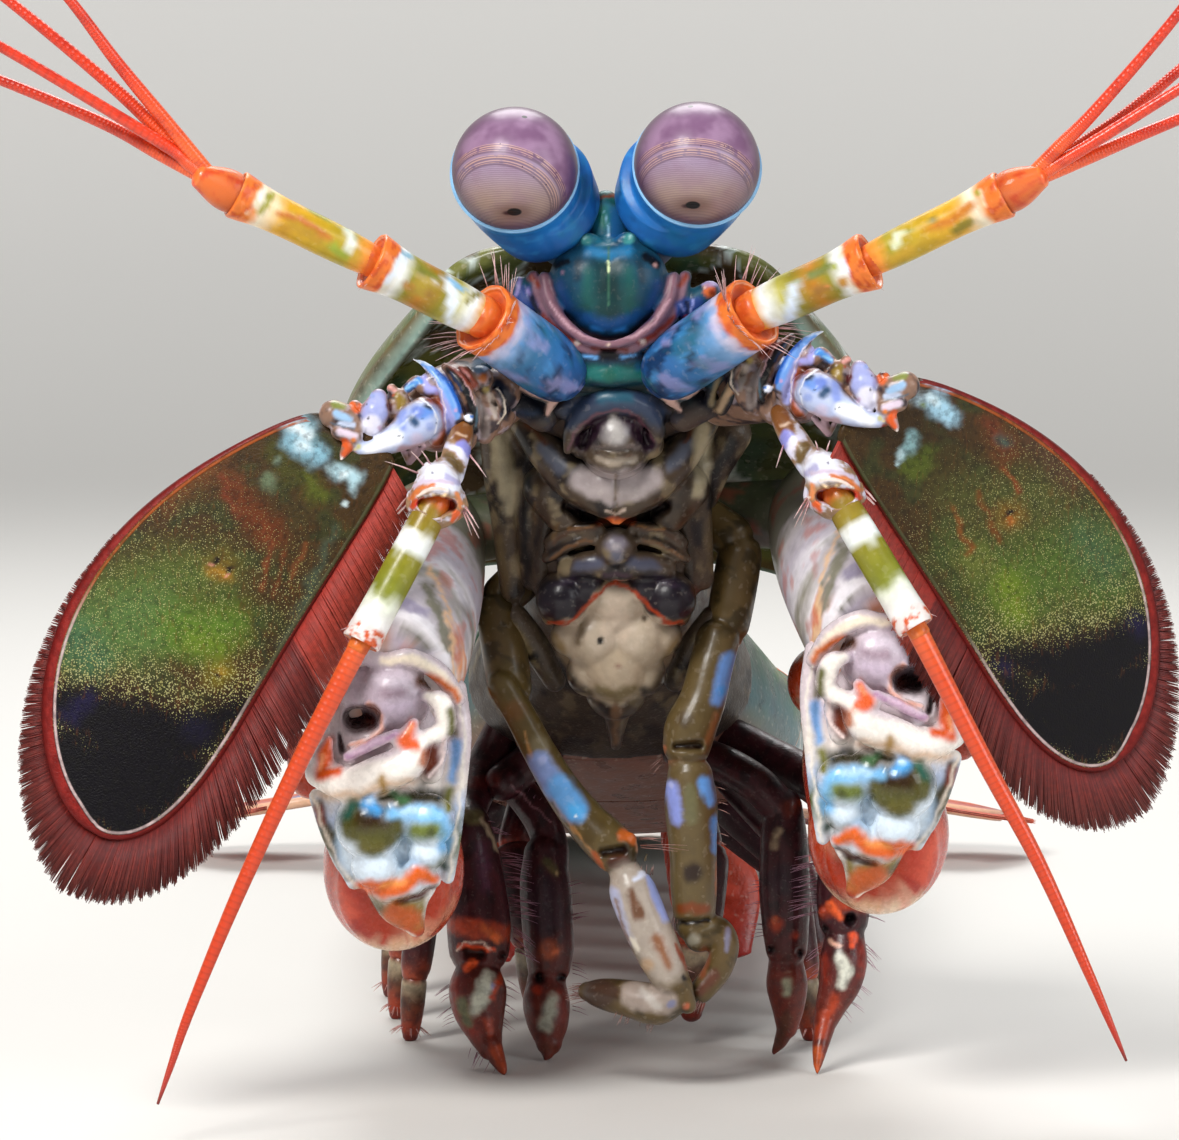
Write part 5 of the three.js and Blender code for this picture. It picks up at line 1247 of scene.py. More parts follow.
ANTENNULE_STROKES = {
    "right": (
        (200, 150, 5),
        [
            ("dfe6dc", 20, (745, 410, 14, 762, 460, 26, 740, 500, 16)), ("a8c8c8", 10, (725, 395, 12)),
            ("97a434", 18, (660, 480, 24, 720, 530, 20)), ("b88e24", 20, (590, 430, 34, 480, 360, 44)),
            ("c07030", 16, (640, 440, 10, 520, 350, 16, 400, 320, 14)),
            ("8a8a20", 16, (540, 290, 14, 640, 350, 14)), ("9c9830", 16, (350, 230, 24, 300, 310, 18)),
            ("c89426", 16, (420, 400, 30)), ("e8e0c4", 14, (330, 180, 12, 300, 250, 22, 230, 310, 18)),
            ("f4f2ea", 10, (318, 200, 8, 300, 245, 10)),
            ("e87434", 14, (240, 120, 20, 210, 200, 60, 150, 280, 50)),
            ("e2ecf6", 16, (1240, 640, 20, 1270, 720, 30, 1260, 800, 24, 1240, 850, 22)),
            ("7fb4d8", 9, (1245, 645, 9, 1320, 700, 10)), ("dfe4ea", 14, (1180, 660, 10)),
            ("a58c2c", 24, (1120, 680, 60)), ("7a7c2c", 18, (1110, 600, 24, 1190, 640, 16)),
            ("97702a", 16, (1140, 720, 24)), ("d88848", 7, (1062, 664, 8)),
            ("a87424", 16, (1040, 680, 24)), ("ddd9c8", 16, (960, 640, 20, 920, 690, 24)),
            ("e0e8f2", 16, (950, 470, 12, 1010, 540, 30, 990, 600, 22, 930, 650, 20)),
            # The blue 8cb4c8 line on the white band is a painted highlight.
            ("8cb4c8", 9, (975, 480, 9, 1060, 540, 9)), ("7c7424", 14, (1340, 760, 16, 1390, 720, 16)),
        ],
    ),
    "left": (
        (790, 110, 6.272),
        [
            ("dfe8c8", 20, (680, 780, 26, 665, 850, 28)), ("8a9440", 14, (740, 760, 14)),
            ("c8a02c", 24, (640, 950, 30, 760, 880, 40)),
            ("c87a28", 28, (880, 740, 20, 1000, 700, 30, 1130, 600, 30)),
            ("8a7a22", 22, (1050, 750, 30, 1130, 700, 24)), ("8a7a28", 14, (900, 690, 20)),
            ("a89a28", 18, (1180, 520, 24)),
            ("e8e0c0", 16, (1210, 500, 20, 1230, 570, 26, 1330, 660, 22)),
            ("f6f0ea", 10, (1222, 545, 16)),
            ("e87828", 16, (1290, 400, 26, 1320, 520, 50, 1420, 640, 30)),
            ("d4e0f0", 24, (20, 1120, 34, 0, 1290, 44)), ("8ab4b0", 12, (62, 1070, 16)),
            ("6a7428", 22, (130, 1040, 26, 240, 980, 20)), ("9a6a28", 18, (180, 1130, 26, 240, 1110, 16)),
            ("e08a50", 7, (232, 1098, 8)), ("c08830", 22, (330, 1080, 34)),
            ("a8b040", 16, (280, 980, 18)), ("d8e0b0", 10, (160, 1285, 8, 330, 1205, 8)),
            ("dce4f4", 16, (390, 880, 18, 350, 950, 24, 390, 1040, 26, 470, 1110, 20)),
        ],
    ),
}


def make_antennule(name, joints, bristles):
    shape = Shape()
    table = [vec(place) for place in joints["antennule"]]
    flares = (1.06, 1.26, 1.3)
    for i in range(3):
        next_radius = (1.3, 1.0, 0.9)[i]
        make_segment(shape, table[i], table[i + 1], ANTENNULE_WIDTHS[i], flares[i], next_radius,
                     ANTENNULE_BANDS[i], 30 + 7 * i,
                     mottling=0.9 if i == 0 else 0.0, strokes=ANTENNULE_STROKES[name] if i else None)
        run = unit(table[i + 1] - table[i])
        length = (2.4, 0.7, 0.35)[i]
        fan_bristles(bristles, table[i + 1] - run * 0.25, run, ANTENNULE_WIDTHS[i], (54, 20, 10)[i],
                     length, 1.3, 40 + i, width=0.036)
    finish_piece(shape, f"antennule_segments_{name}", SMOOTH_FINISH,
                 [f"antennule_peduncle_{name}"])

    feelers = Shape(charted=True)
    end = table[3]
    run = unit(end - table[2])
    root, inner = end - run * 0.3, end + run * 1.2
    hub = lambda u, share, spots: patched(plain("ee7430", u), spots, 0.9, 3, "e04a18", 1, 0, 0.9)
    tube(feelers, [(root, 0.9), (root + run * 0.6, 1.2), (inner, 1.16), (inner + run * 1.3, 0.7)],
         sides=32, paint=hub)

    def ember(u, share, spots):
        colours = banded(share, [(0, "f07030"), (0.15, "ee5c28"), (0.35, "e0401e"), (1, "c0241a")])
        return patched(colours, spots, 2.0, 9, "b02012", 0.5, 0.3, 0.9)

    for near, edge, far in joints["strands"]:
        near, edge, far = vec(near), vec(edge), vec(far)
        stations = [(inner, 0.42), (mix(inner, near, 0.5), 0.41), (near, 0.36), (edge, 0.3),
                    (mix(edge, far, 0.5), 0.24), (far, 0.1)]
        tube(feelers, stations, sides=16, rings=110, paint=ember, upward=(0, 1, 0))
    finish_piece(feelers, f"antennule_feelers_{name}", FEELER_FINISH,
                 [f"antennule_flagella_{name}"])


# Antennae: the width and the bands of the last segment of their stems
STEM_WIDTH = 1.02
STEM_BANDS = [
    (0, "c85a1c"), (0.08, "8a6a1c"), (0.22, "8f7f22"), (0.27, "f0f2ee"), (0.37, "eef4f2"), (0.42, "8a8420"),
    (0.68, "7f8426"), (0.74, "e6ead8"), (0.88, "f4f0ee"), (0.96, "f0e4de"), (1, "e4c4ac"),
]


def sheet_bristles(bristles, sheet, rows, seed, move=None, width=0.045, colours=("d0989c", "e8ccc8")):
    """Hairs shown on a sheet: each row is x, y to x, y at a depth, a reach of dx, dy, and how many."""
    draw = random.Random(seed)
    roots, tips = [], []
    for x0, y0, x1, y1, depth, dx, dy, count in rows:
        for _ in range(count):
            t, k = draw.random(), draw.uniform(0.6, 1.1)
            x, y = mix(x0, x1, t), mix(y0, y1, t)
            side = draw.uniform(-0.15, 0.15) if count > 1 else 0
            roots.append(shown(sheet, x, y, depth))
            tips.append(shown(sheet, x + (dx + side * dy) * k, y + (dy - side * dx) * k,
                              depth - draw.uniform(0.0, 0.8)))
    roots, tips = np.array(roots), np.array(tips)
    if move:
        roots, tips = move(roots), move(tips)
    charts = np.array([[draw.random(), draw.random()] for _ in roots])
    bristles.add(roots, tips, np.array([[0, 0, 0.04]]), width, width, (0, 1, 0.2), charts, *colours)


# The antenna's base and stem as they show on the right one's sheet. Joints place the left ones
ANTENNA_SHEET = (330, 340, 6)

ANTENNA_FORMS = [
    (497, 115, -1.5, 0.05, 560, 143, -1.8, 0.17, 620, 200, -2.1, 0.33, 680, 290, -2.4, 0.46,
        725, 390, -2.5, 0.54, 748, 470, -2.4, 0.48, 725, 540, -2.1, 0.22),
    (690, 160, -0.9, 0.25, 760, 230, -1.3, 0.4, 820, 320, -1.5, 0.46, 855, 420, -1.5, 0.46,
        865, 520, -1.3, 0.3),
    (545, 480, -3.4, 1.2), (562, 415, -3.2, 0.75), (600, 470, -2.8, 1.0), (470, 560, -3.6, 0.95),
    (520, 500, -3.4, 1.25, 420, 572, -3.9, 0.95, 330, 622, -4.2, 0.66, 240, 650, -4.4, 0.46,
        178, 650, -4.4, 0.46),
    (292, 345, -3.6, 0.52, 270, 430, -3.9, 0.85, 245, 520, -4.0, 0.6, 222, 572, -4.0, 0.28),
    (400, 400, -2.6, 0.9), (420, 340, -2.8, 0.5), (370, 292, -2.8, 0.3),
    (450, 300, -2.4, 0.28, 520, 245, -2.2, 0.34, 560, 290, -2.4, 0.4, 620, 300, -2.1, 0.5),
    (605, 250, -2.0, 0.55), (630, 400, -2.2, 0.6, 665, 500, -2.2, 0.5, 640, 590, -2.4, 0.5),
    (20, 445, -4.4, 0.85, 110, 470, -4.4, 0.72, 165, 520, -4.4, 0.45),
    (60, 545, -4.6, 0.55, 150, 575, -4.6, 0.48), (150, 400, -3.8, 0.4),
    (200, 470, -3.4, 0.7, 330, 520, -3.0, 0.8),
    (110, 635, -4.5, 0.42, 80, 690, -4.6, 0.25, 68, 716, -4.7, 0.1), (150, 650, -4.2, 0.4),
    (430, 640, -3.0, 0.2, 470, 742, -2.6, 0.12), (560, 640, -3.0, 0.2, 482, 742, -2.6, 0.12),
    (500, 640, -3.0, 0.24, 482, 715, -2.7, 0.14), (830, 470, -2.6, 0.26), (848, 492, -2.6, 0.2),
    (800, 200, -0.8, 0.5, 850, 270, -0.6, 0.45), (900, 230, 0.0, 0.8), (930, 330, 0.4, 0.6),
    (900, 400, 0.2, 0.6, 960, 480, 0.2, 0.7, 930, 570, 0.4, 0.55),
    (1000, 320, 0.0, 0.3, 1045, 420, 0.2, 0.26, 1005, 495, 0.4, 0.18), (1010, 300, 1.6, 1.4),
    (960, 420, 2.2, 1.6), (800, 420, 0.6, 1.5), (760, 560, 0.0, 1.3), (640, 500, -0.6, 1.7),
    (540, 380, -0.6, 1.3), (420, 480, -1.4, 1.5),
]

ANTENNA_STROKES = [
    ("8a3c18", 22, (630, 400, 60, 665, 500, 50, 640, 600, 50)),
    ("c86a34", 12, (655, 560, 20, 615, 620, 16)), ("5c2410", 14, (615, 340, 16, 655, 420, 16)),
    ("b8c4e6", 22, (545, 500, 130, 430, 575, 90, 320, 620, 70, 200, 650, 50)),
    ("8496d4", 22, (440, 440, 30, 430, 520, 30)), ("5e8ad4", 24, (560, 440, 40, 600, 430, 30)),
    ("6a82cc", 20, (520, 430, 40)), ("2b4a6e", 18, (490, 475, 26, 515, 500, 22)),
    ("1c2c40", 14, (575, 392, 14, 605, 410, 12)), ("97a8de", 14, (600, 520, 26)),
    # The near-white f2f4fc strokes on the exopod are painted highlights.
    ("f2f4fc", 22, (300, 600, 34, 400, 585, 40, 230, 660, 30)), ("c8c0dc", 20, (520, 600, 40)),
    ("d0b0b8", 14, (590, 620, 20, 500, 645, 14)), ("b8b478", 10, (172, 640, 18)),
    ("d8c488", 6, (150, 655, 8)), ("e8ecf8", 5, (540, 348, 4, 610, 400, 4, 648, 480, 4, 630, 560, 4)),
    ("28303c", 4, (415, 575, 5)), ("28303c", 4, (438, 580, 4)), ("2c3c5c", 4, (560, 470, 5)),
    ("5a6a98", 5, (640, 500, 5)), ("a4ace0", 18, (292, 350, 46, 270, 430, 80)),
    ("e6e4f4", 18, (250, 510, 60, 222, 570, 30)), ("c8a8c0", 10, (300, 530, 14)),
    ("8a9ad0", 10, (250, 330, 16)), ("55121a", 9, (352, 390, 16, 362, 420, 10)),
    ("2c2c44", 4, (228, 472, 7)), ("3c3c54", 4, (220, 385, 5)),
    ("8a7028", 16, (400, 330, 20, 430, 370, 30, 410, 410, 16)), ("5c4a1c", 10, (445, 320, 10)),
    ("d89890", 10, (350, 285, 14, 385, 300, 12)), ("a84a30", 8, (380, 330, 8)),
    ("4a90dc", 12, (470, 290, 20, 530, 240, 22)), ("8ac4f0", 8, (455, 290, 8, 500, 270, 8)),
    ("a8a8ea", 12, (560, 215, 14, 590, 300, 24, 630, 300, 20)), ("4a8cdc", 9, (545, 250, 14)),
    ("dfe4fa", 6, (560, 268, 7)), ("b090c8", 8, (640, 320, 8)),
    ("6ea0e8", 9, (520, 125, 10, 600, 170, 20, 680, 270, 30, 730, 370, 36, 750, 450, 34)),
    ("2766c4", 9, (640, 180, 9, 710, 250, 12, 760, 350, 14, 785, 430, 12)),
    ("a4a8e4", 12, (660, 300, 12, 700, 400, 20, 720, 480, 34, 720, 540, 26)),
    ("2c5ca8", 8, (650, 208, 8)), ("b8d4f8", 6, (535, 125, 6, 600, 150, 6)),
    # The near-white eef2fa stroke at the crescent's tip is a painted highlight.
    ("eef2fa", 6, (500, 116, 6, 545, 140, 4)),
    ("ead8dc", 4, (560, 160, 3, 620, 225, 3, 668, 310, 3, 690, 420, 3, 697, 545, 3)),
    ("14181e", 4, (575, 182, 3, 618, 235, 3)), ("c8a0d0", 8, (755, 420, 10)),
    ("07080e", 9, (700, 170, 10, 775, 245, 22, 830, 330, 26, 862, 430, 26, 868, 540, 24)),
    ("16325c", 8, (725, 200, 8, 790, 300, 8)),
    ("c09a9c", 4, (730, 160, 4, 790, 220, 4, 838, 300, 4, 872, 390, 4)),
    ("3c5c6c", 6, (885, 400, 6, 880, 520, 6)), ("8a3418", 14, (730, 150, 18, 810, 200, 30, 860, 270, 26)),
    ("d8928c", 10, (790, 180, 14, 825, 215, 14)), ("5c200c", 8, (770, 170, 8, 845, 250, 8)),
    ("4c6a84", 14, (900, 160, 50)), ("a8b8d0", 8, (930, 170, 16)), ("9c5420", 14, (920, 230, 30)),
    ("a89454", 14, (940, 300, 20)), ("0a0e20", 16, (1010, 270, 40, 1070, 360, 40, 1050, 450, 30)),
    ("b0a094", 10, (960, 330, 20, 985, 400, 26, 990, 470, 12)),
    ("dccbb8", 5, (1005, 290, 5, 1050, 360, 5, 1050, 440, 5, 1008, 500, 5)),
    ("8a7c78", 14, (890, 360, 16, 930, 470, 30, 930, 560, 30)), ("b8a8a0", 8, (940, 470, 14)),
    ("d86024", 12, (130, 380, 14, 160, 420, 20, 185, 380, 8)), ("f0e8f0", 5, (190, 366, 6)),
    ("7c8440", 14, (30, 385, 24, 80, 400, 14)), ("9cc0e4", 14, (40, 440, 24, 110, 480, 24)),
    ("c8d4ee", 10, (60, 500, 14, 140, 510, 16)), ("dccbdc", 12, (60, 550, 24, 140, 575, 20)),
    ("5a6878", 5, (0, 495, 4, 60, 512, 4, 150, 535, 4)),
    # The light orange f08a40 spot on the orange joint is a painted highlight.
    ("d4561c", 12, (90, 610, 24, 110, 650, 24, 80, 690, 14)), ("f08a40", 8, (140, 600, 14)),
    ("f6e8e0", 5, (68, 714, 8)), ("8a2c10", 8, (150, 690, 14, 110, 700, 10)),
    ("b0929c", 16, (430, 660, 30, 540, 660, 30, 480, 740, 24)), ("e8ecfa", 7, (830, 465, 26)),
    ("3c7cd0", 6, (850, 462, 10)), ("030305", 5, (843, 494, 7)), ("3f2c34", 6, (870, 505, 8)),
]

STEM_FORMS = [
    (800, 500, -1.8, 0.55, 790, 560, -2.4, 0.68, 765, 650, -3.0, 0.8, 740, 740, -3.6, 0.82,
        715, 810, -4.1, 0.86),
    (690, 790, -4.3, 0.9, 660, 850, -4.9, 1.25, 645, 910, -5.4, 1.5, 640, 975, -5.9, 1.56),
    (590, 760, -4.6, 0.3, 570, 820, -5.0, 0.5), (640, 735, -4.6, 0.16, 645, 790, -4.8, 0.4),
    (540, 795, -5.0, 0.2, 580, 830, -5.0, 0.4),
    (780, 930, -5.4, 0.32, 788, 1010, -5.6, 0.4, 745, 1080, -5.7, 0.2),
    (490, 930, -5.4, 0.3, 486, 1000, -5.6, 0.3, 505, 1030, -5.7, 0.16),
    (530, 935, -7.15, 0.14, 580, 905, -7.3, 0.2, 640, 890, -7.35, 0.22, 700, 900, -7.2, 0.2),
    (600, 920, -7.3, 0.16, 645, 962, -7.35, 0.14), (700, 920, -7.25, 0.16, 655, 962, -7.35, 0.14),
]

STEM_CUTS = [(1.3, 16, (560, 985, 30, 640, 1000, 60, 720, 995, 34))]

STEM_STROKES = [
    ("7a4a20", 16, (800, 500, 60, 800, 570, 60)), ("c8a890", 8, (760, 560, 10, 820, 580, 8)),
    ("8a8ad0", 12, (790, 640, 40, 840, 690, 30)),
    ("e4e2f8", 12, (700, 630, 18, 770, 660, 20, 820, 730, 20)),
    ("6a5430", 14, (710, 700, 30, 770, 760, 30, 790, 810, 16)),
    ("d0d4ee", 14, (800, 820, 16, 810, 900, 14)),
    ("e9ebf8", 26, (600, 780, 60, 650, 820, 90, 740, 860, 60)),
    ("f8f8fc", 14, (590, 770, 20, 640, 780, 30)), ("b8b4d8", 10, (700, 820, 20, 770, 860, 16)),
    ("7a7890", 4, (615, 800, 7)),
    ("d0c0d4", 10, (500, 880, 14, 560, 850, 12, 640, 840, 10, 740, 860, 10)),
    ("d8783c", 12, (490, 950, 16, 540, 890, 16, 620, 868, 12)),
    ("e89058", 10, (760, 920, 12, 790, 1000, 16)), ("c8481c", 10, (495, 1000, 16, 520, 960, 14)),
    ("b83c14", 14, (560, 985, 30, 640, 990, 50, 720, 990, 34)),
    ("e8642c", 10, (760, 1040, 22, 735, 1080, 16)),
    ("ecd8cc", 6, (525, 935, 8, 580, 902, 10, 640, 888, 10, 700, 898, 10)),
    ("e8c89a", 8, (620, 930, 10, 648, 960, 10, 690, 930, 10)), ("c82c20", 6, (515, 990, 8, 560, 945, 6)),
    ("f4ece8", 6, (800, 1000, 8)),
]

STEM_BRISTLES = [
    (540, 800, 545, 805, -5.2, -250, -90, 1), (565, 755, 568, 755, -4.8, -105, -115, 1),
    (600, 738, 600, 740, -4.8, -65, -98, 1), (642, 730, 644, 732, -4.8, -4, -60, 1),
    (790, 1010, 792, 1010, -6.0, 70, 190, 1), (810, 1000, 812, 1002, -6.0, 125, 195, 1),
    (795, 1005, 800, 1008, -5.9, 90, 170, 1), (838, 690, 840, 694, -3.4, 90, 120, 1),
    (465, 940, 480, 1000, -5.4, -70, 70, 5), (560, 1000, 700, 1060, -6.6, -10, 60, 3),
]


def make_antenna(name, joints, bristles):
    side = joints["side"]
    home, here = vec(JOINTS["right"]["exopod"]), vec(joints["exopod"])
    turn = np.array([-side, 1, 1])
    ahead = 1.6 if side > 0 else 0.0

    def to_right(spots):
        placed = (spots - here) * turn + home
        placed[:, 1] += ahead * smooth_step(-9.6, -11.6, placed[:, 0])
        return placed

    def from_right(spots):
        """The left side's claws lie further forward, in front of its scale."""
        placed = np.array(spots, float)
        placed[:, 1] -= ahead * smooth_step(-9.6, -11.6, placed[:, 0])
        return (placed - home) * turn + here

    base = Shape()
    modelled(base, ANTENNA_SHEET, ANTENNA_FORMS, from_right)
    tube(base, [((side * 6.6, 4.4, 42.8), 2.2), (joints["protopod"], 1.9),
                (vec(joints["exopod"]) + [0, 1.6, 0], 1.2)])
    base = fused(base, fineness=0.09, smoothing=2)

    def base_paint(spots, normals):
        colours = patched(plain("8a6a58", spots), spots, 1.4, 21, "3a2c30", 1, 0, 0.8)
        colours = patched(colours, spots, 1.1, 22, "b8a8b0", 0.6, 0.3, 0.9)
        return stroked(ANTENNA_SHEET, to_right(spots), facing_front(normals), colours, ANTENNA_STROKES,
                       waver=3.5, grain=0.6, seed=23)

    repaint(base, base_paint)
    finish_piece(base, f"antenna_base_shell_{name}", SMOOTH_FINISH,
                 [f"antenna_base_{name}"])

    to_stem, from_stem = right_twin(name, "peduncle")
    stem = Shape()
    modelled(stem, ANTENNA_SHEET, STEM_FORMS, from_stem)
    stem = fused(stem, fineness=0.075, smoothing=2)
    carved(stem, ANTENNA_SHEET, STEM_CUTS, to_stem)

    def stem_paint(spots, normals):
        colours = patched(plain("9a7a5c", spots), spots, 1.0, 25, "d8d4e4", 1, 0, 0.8)
        return stroked(ANTENNA_SHEET, to_stem(spots), facing_front(normals), colours, STEM_STROKES,
                       waver=4, grain=0.6, seed=26)

    repaint(stem, stem_paint)
    table = [vec(place) for place in joints["peduncle"]]
    make_segment(stem, table[2], table[3], STEM_WIDTH, 1.12, 0.66, STEM_BANDS, 78, collar="ece0dc")
    run = unit(table[3] - table[2])
    fan_bristles(bristles, table[3] - run * 0.3, run, STEM_WIDTH, 6, 0.7, 0.9, 72, width=0.04)
    sheet_bristles(bristles, ANTENNA_SHEET, STEM_BRISTLES, 74, from_stem, 0.075)
    finish_piece(stem, f"antenna_segments_{name}", SMOOTH_FINISH,
                 [f"antenna_peduncle_{name}"])

    whip = Shape(charted=True)
    a, b, c, tip = (vec(place) for place in joints["flagellum"])

    def whip_paint(u, share, spots):
        colours = banded(share, [(0, "e0602c"), (0.08, "d4481c"), (0.6, "cc3814"), (0.9, "b02210"),
                                 (1, "6a1208")])
        stripe = np.exp(-((u - 0.25) / 0.09) ** 2) + np.exp(-((u - 0.75) / 0.09) ** 2)
        return over(colours, np.clip(0.3 * stripe, 0, 1), "e87038")

    stations = [(table[3] - unit(a - table[3]) * 0.4, 0.62), (a, 0.52), (b, 0.42), (c, 0.3),
                (mix(c, tip, 0.6), 0.2), (tip, 0.08)]
    tube(whip, stations, sides=20, rings=140, paint=whip_paint)
    finish_piece(whip, f"antenna_whip_{name}", FEELER_FINISH, [f"antenna_flagellum_{name}"])


# The antennal scales: the same outline as the solids, by a turn from -1 through 0 at the tip to 1
def scale_half(t):
    t = np.asarray(t, float)
    near = mix(2.9, SCALE_HALF, np.sin(math.pi / 2 * np.clip(t / SCALE_WIDEST, 0, 1)) ** 0.75)
    past = np.maximum(t - SCALE_WIDEST, 0) / (1 - SCALE_WIDEST)
    far = SCALE_HALF * np.sqrt(np.maximum(0, 1 - past ** 2.2))
    return np.where(t < SCALE_WIDEST, near, far)


def scale_shift(t):
    t = np.clip(t, 0, 1)
    return 1.4 * t + 2.6 * np.sin(math.pi * t) ** 0.9


def scale_share(turn):
    part = np.minimum(np.abs(turn), 1)
    far = SCALE_WIDEST + (1 - SCALE_WIDEST) * np.maximum(0, np.cos(part * math.pi)) ** 0.909
    return np.where(part > 0.5, SCALE_WIDEST * (2 - 2 * part), far)


def scale_axes(joints):
    run = unit(joints["scale_run"])
    out = vec(joints["scale_out"])
    out = unit(out - run * (out @ run))
    face = unit(np.cross(run, out))
    return vec(joints["scale_root"]), run, out, face if face[1] < 0 else -face


def on_scale(axes, along, aside, lift):
    root, run, out, face = axes
    across = (aside - scale_shift(along / SCALE_LENGTH)) / SCALE_HALF
    height = lift + SCALE_CAMBER * (0.5 - np.minimum(across ** 2, 1.6))
    return root + run * along[:, None] + out * aside[:, None] + face * height[:, None]


def scale_edge(turn, beyond):
    """Places beyond the rim, as millimetres along and aside."""
    t = scale_share(turn)
    rise = np.where(np.abs(turn) > 0.5, 0, np.cos(turn * math.pi))
    slope = np.where(turn < 0, mix(0.5 + 0.5 * rise, 1.0, smooth_step(-0.12, 0, turn)), rise)
    outward = np.sign(turn) * np.sqrt(1 - np.minimum(slope, 1) ** 2)
    half = np.maximum(scale_half(t), 0.3)
    aside = scale_shift(t) + np.clip(turn / 0.02, -1, 1) * half + beyond * outward
    return SCALE_LENGTH * t + beyond * slope, aside


# What the antennal scales show, on a sheet for each side
SCALE_SHEETS = {"right": (0, 360, 3.266), "left": (800, 360, 3.137)}

SCALE_BLACK = {
    "right": (170, 1110, 70, 290, 1160, 110, 420, 1230, 150, 540, 1250, 130, 660, 1220, 90, 790, 1130, 50,
        330, 1400, 150, 420, 1500, 110, 200, 1300, 120, 500, 1400, 120, 620, 1320, 80, 470, 1510, 70),
    "left": (1170, 800, 60, 1120, 840, 70, 1040, 890, 100, 940, 950, 110, 840, 970, 110, 720, 950, 70,
        620, 920, 40, 690, 1060, 70, 750, 1180, 80, 980, 1080, 160, 900, 1180, 120, 780, 1090, 110,
        1080, 1000, 90),
}

SCALE_STROKES = {
    "right": [
        ("4a5a24", 110, (330, 760, 60, 520, 720, 90, 700, 700, 60)),
        ("4a6430", 80, (280, 900, 110, 480, 860, 120)), ("4e6a20", 80, (600, 880, 80, 760, 860, 60)),
        ("5c721c", 60, (640, 920, 30, 720, 940, 30)), ("3c5c3c", 60, (230, 900, 60, 300, 980, 60)),
        ("5a2a10", 40, (760, 400, 40, 800, 480, 40, 880, 560, 50)),
        ("5c3414", 50, (540, 440, 50, 700, 330, 50)), ("3c3016", 30, (980, 500, 50)),
        ("4c5418", 30, (1040, 440, 30, 1000, 380, 24)), ("3c3a14", 26, (900, 300, 40, 950, 380, 30)),
        ("6a2e16", 14, (730, 380, 8, 770, 500, 10)),
        ("70361a", 10, (862, 540, 6, 882, 640, 7, 850, 750, 6)),
        ("643014", 10, (930, 620, 5, 895, 770, 5)), ("6e3c1c", 9, (1000, 600, 4, 950, 720, 5)),
        ("4c4a1a", 12, (800, 800, 10, 840, 900, 10)),
        ("3c4838", 26, (1090, 560, 10, 1030, 700, 14, 960, 880, 18, 880, 1030, 18)),
        ("26301c", 14, (840, 840, 6, 860, 980, 6)), ("8ab4c4", 30, (940, 200, 26, 1010, 215, 22)),
        ("7eaabc", 26, (960, 262, 38, 1040, 310, 34)), ("d8e6ec", 18, (950, 215, 16, 1000, 235, 16)),
        ("c8dce4", 16, (990, 280, 20)), ("a4c4ce", 18, (1095, 362, 22, 1160, 385, 24, 1150, 420, 12)),
        ("d4e2e6", 12, (1130, 380, 12)), ("c8dce0", 8, (1118, 476, 8)), ("5c6a50", 20, (880, 400, 26)),
        ("6a7a68", 12, (905, 330, 10)), ("9ab0b4", 16, (880, 160, 12, 1000, 130, 16, 1090, 120, 20)),
        ("dce2ee", 12, (1000, 160, 12, 1080, 130, 12)), ("060309", 60, SCALE_BLACK["right"]),
        ("150f30", 36, (230, 1160, 30, 290, 1110, 24)), ("0e0a1e", 40, (640, 1200, 40)),
        ("6a5418", 50, (725, 675, 40)), ("a07020", 22, (690, 690, 10, 750, 705, 10)),
        # In the pits the near-black 14060a holes are painted shade and the pink d8907c crescents are
        # painted highlights.
        ("7c701c", 50, (710, 1020, 30)), ("b0862c", 20, (715, 1018, 8)), ("14060a", 6, (705, 652, 12)),
        ("14060a", 6, (748, 682, 14)), ("14060a", 5, (708, 1015, 7, 712, 1032, 5)),
        ("d8907c", 4, (688, 668, 4, 698, 676, 3)), ("d8907c", 4, (744, 701, 7)),
    ],
    "left": [
        ("464a20", 120, (480, 420, 50, 760, 440, 90)),
        ("4a5a24", 120, (500, 600, 50, 760, 700, 110, 1000, 620, 80)),
        ("465c20", 110, (650, 740, 90, 780, 640, 80, 900, 600, 90, 960, 720, 70)),
        ("62761a", 50, (680, 790, 40, 650, 700, 40)), ("3c5636", 90, (900, 560, 50, 960, 640, 50)),
        ("565e24", 40, (560, 640, 50)), ("4a5418", 26, (360, 330, 44, 420, 300, 30)),
        ("3a3014", 26, (470, 300, 44)), ("5a3014", 40, (640, 270, 50, 600, 200, 26)),
        ("4a3220", 50, (750, 260, 50, 860, 360, 50)), ("642c18", 22, (590, 195, 10, 640, 260, 14)),
        ("7a4418", 10, (480, 460, 7, 530, 600, 10)), ("6a3c14", 10, (560, 420, 8, 620, 560, 9)),
        ("7a3a18", 9, (640, 330, 8, 690, 420, 8)), ("3c4c44", 20, (640, 250, 18)),
        ("38441c", 20, (420, 560, 12, 500, 740, 16, 570, 880, 20)),
        ("9cc4d8", 20, (430, 150, 36, 470, 180, 26)), ("c8dee6", 12, (420, 130, 16)),
        ("8ab0b4", 14, (350, 250, 24, 320, 300, 14)), ("b0cad0", 10, (320, 290, 10, 310, 330, 7)),
        ("c0d0da", 20, (290, 75, 20, 340, 95, 18)), ("b4ccd8", 18, (375, 130, 22)),
        ("5c6a20", 14, (350, 44, 16)), ("6a4a20", 14, (330, 128, 14)),
        ("a4c4d8", 14, (440, 85, 20, 510, 85, 12)), ("88a8c0", 14, (560, 120, 12)),
        ("6a7a38", 12, (385, 145, 10)), ("6a7a30", 14, (330, 60, 26)), ("dce4f4", 10, (400, 70, 14)),
        ("060309", 60, SCALE_BLACK["left"]), ("140e30", 36, (1060, 830, 30)),
        ("161030", 30, (640, 960, 24)), ("755218", 40, (662, 488, 36)),
        # The near-black 14060a mark is painted shade in the pit.
        ("14060a", 6, (662, 474, 9, 652, 492, 9)), ("b86a28", 9, (660, 506, 8)),
        ("20280c", 5, (650, 710, 4)),
    ],
}


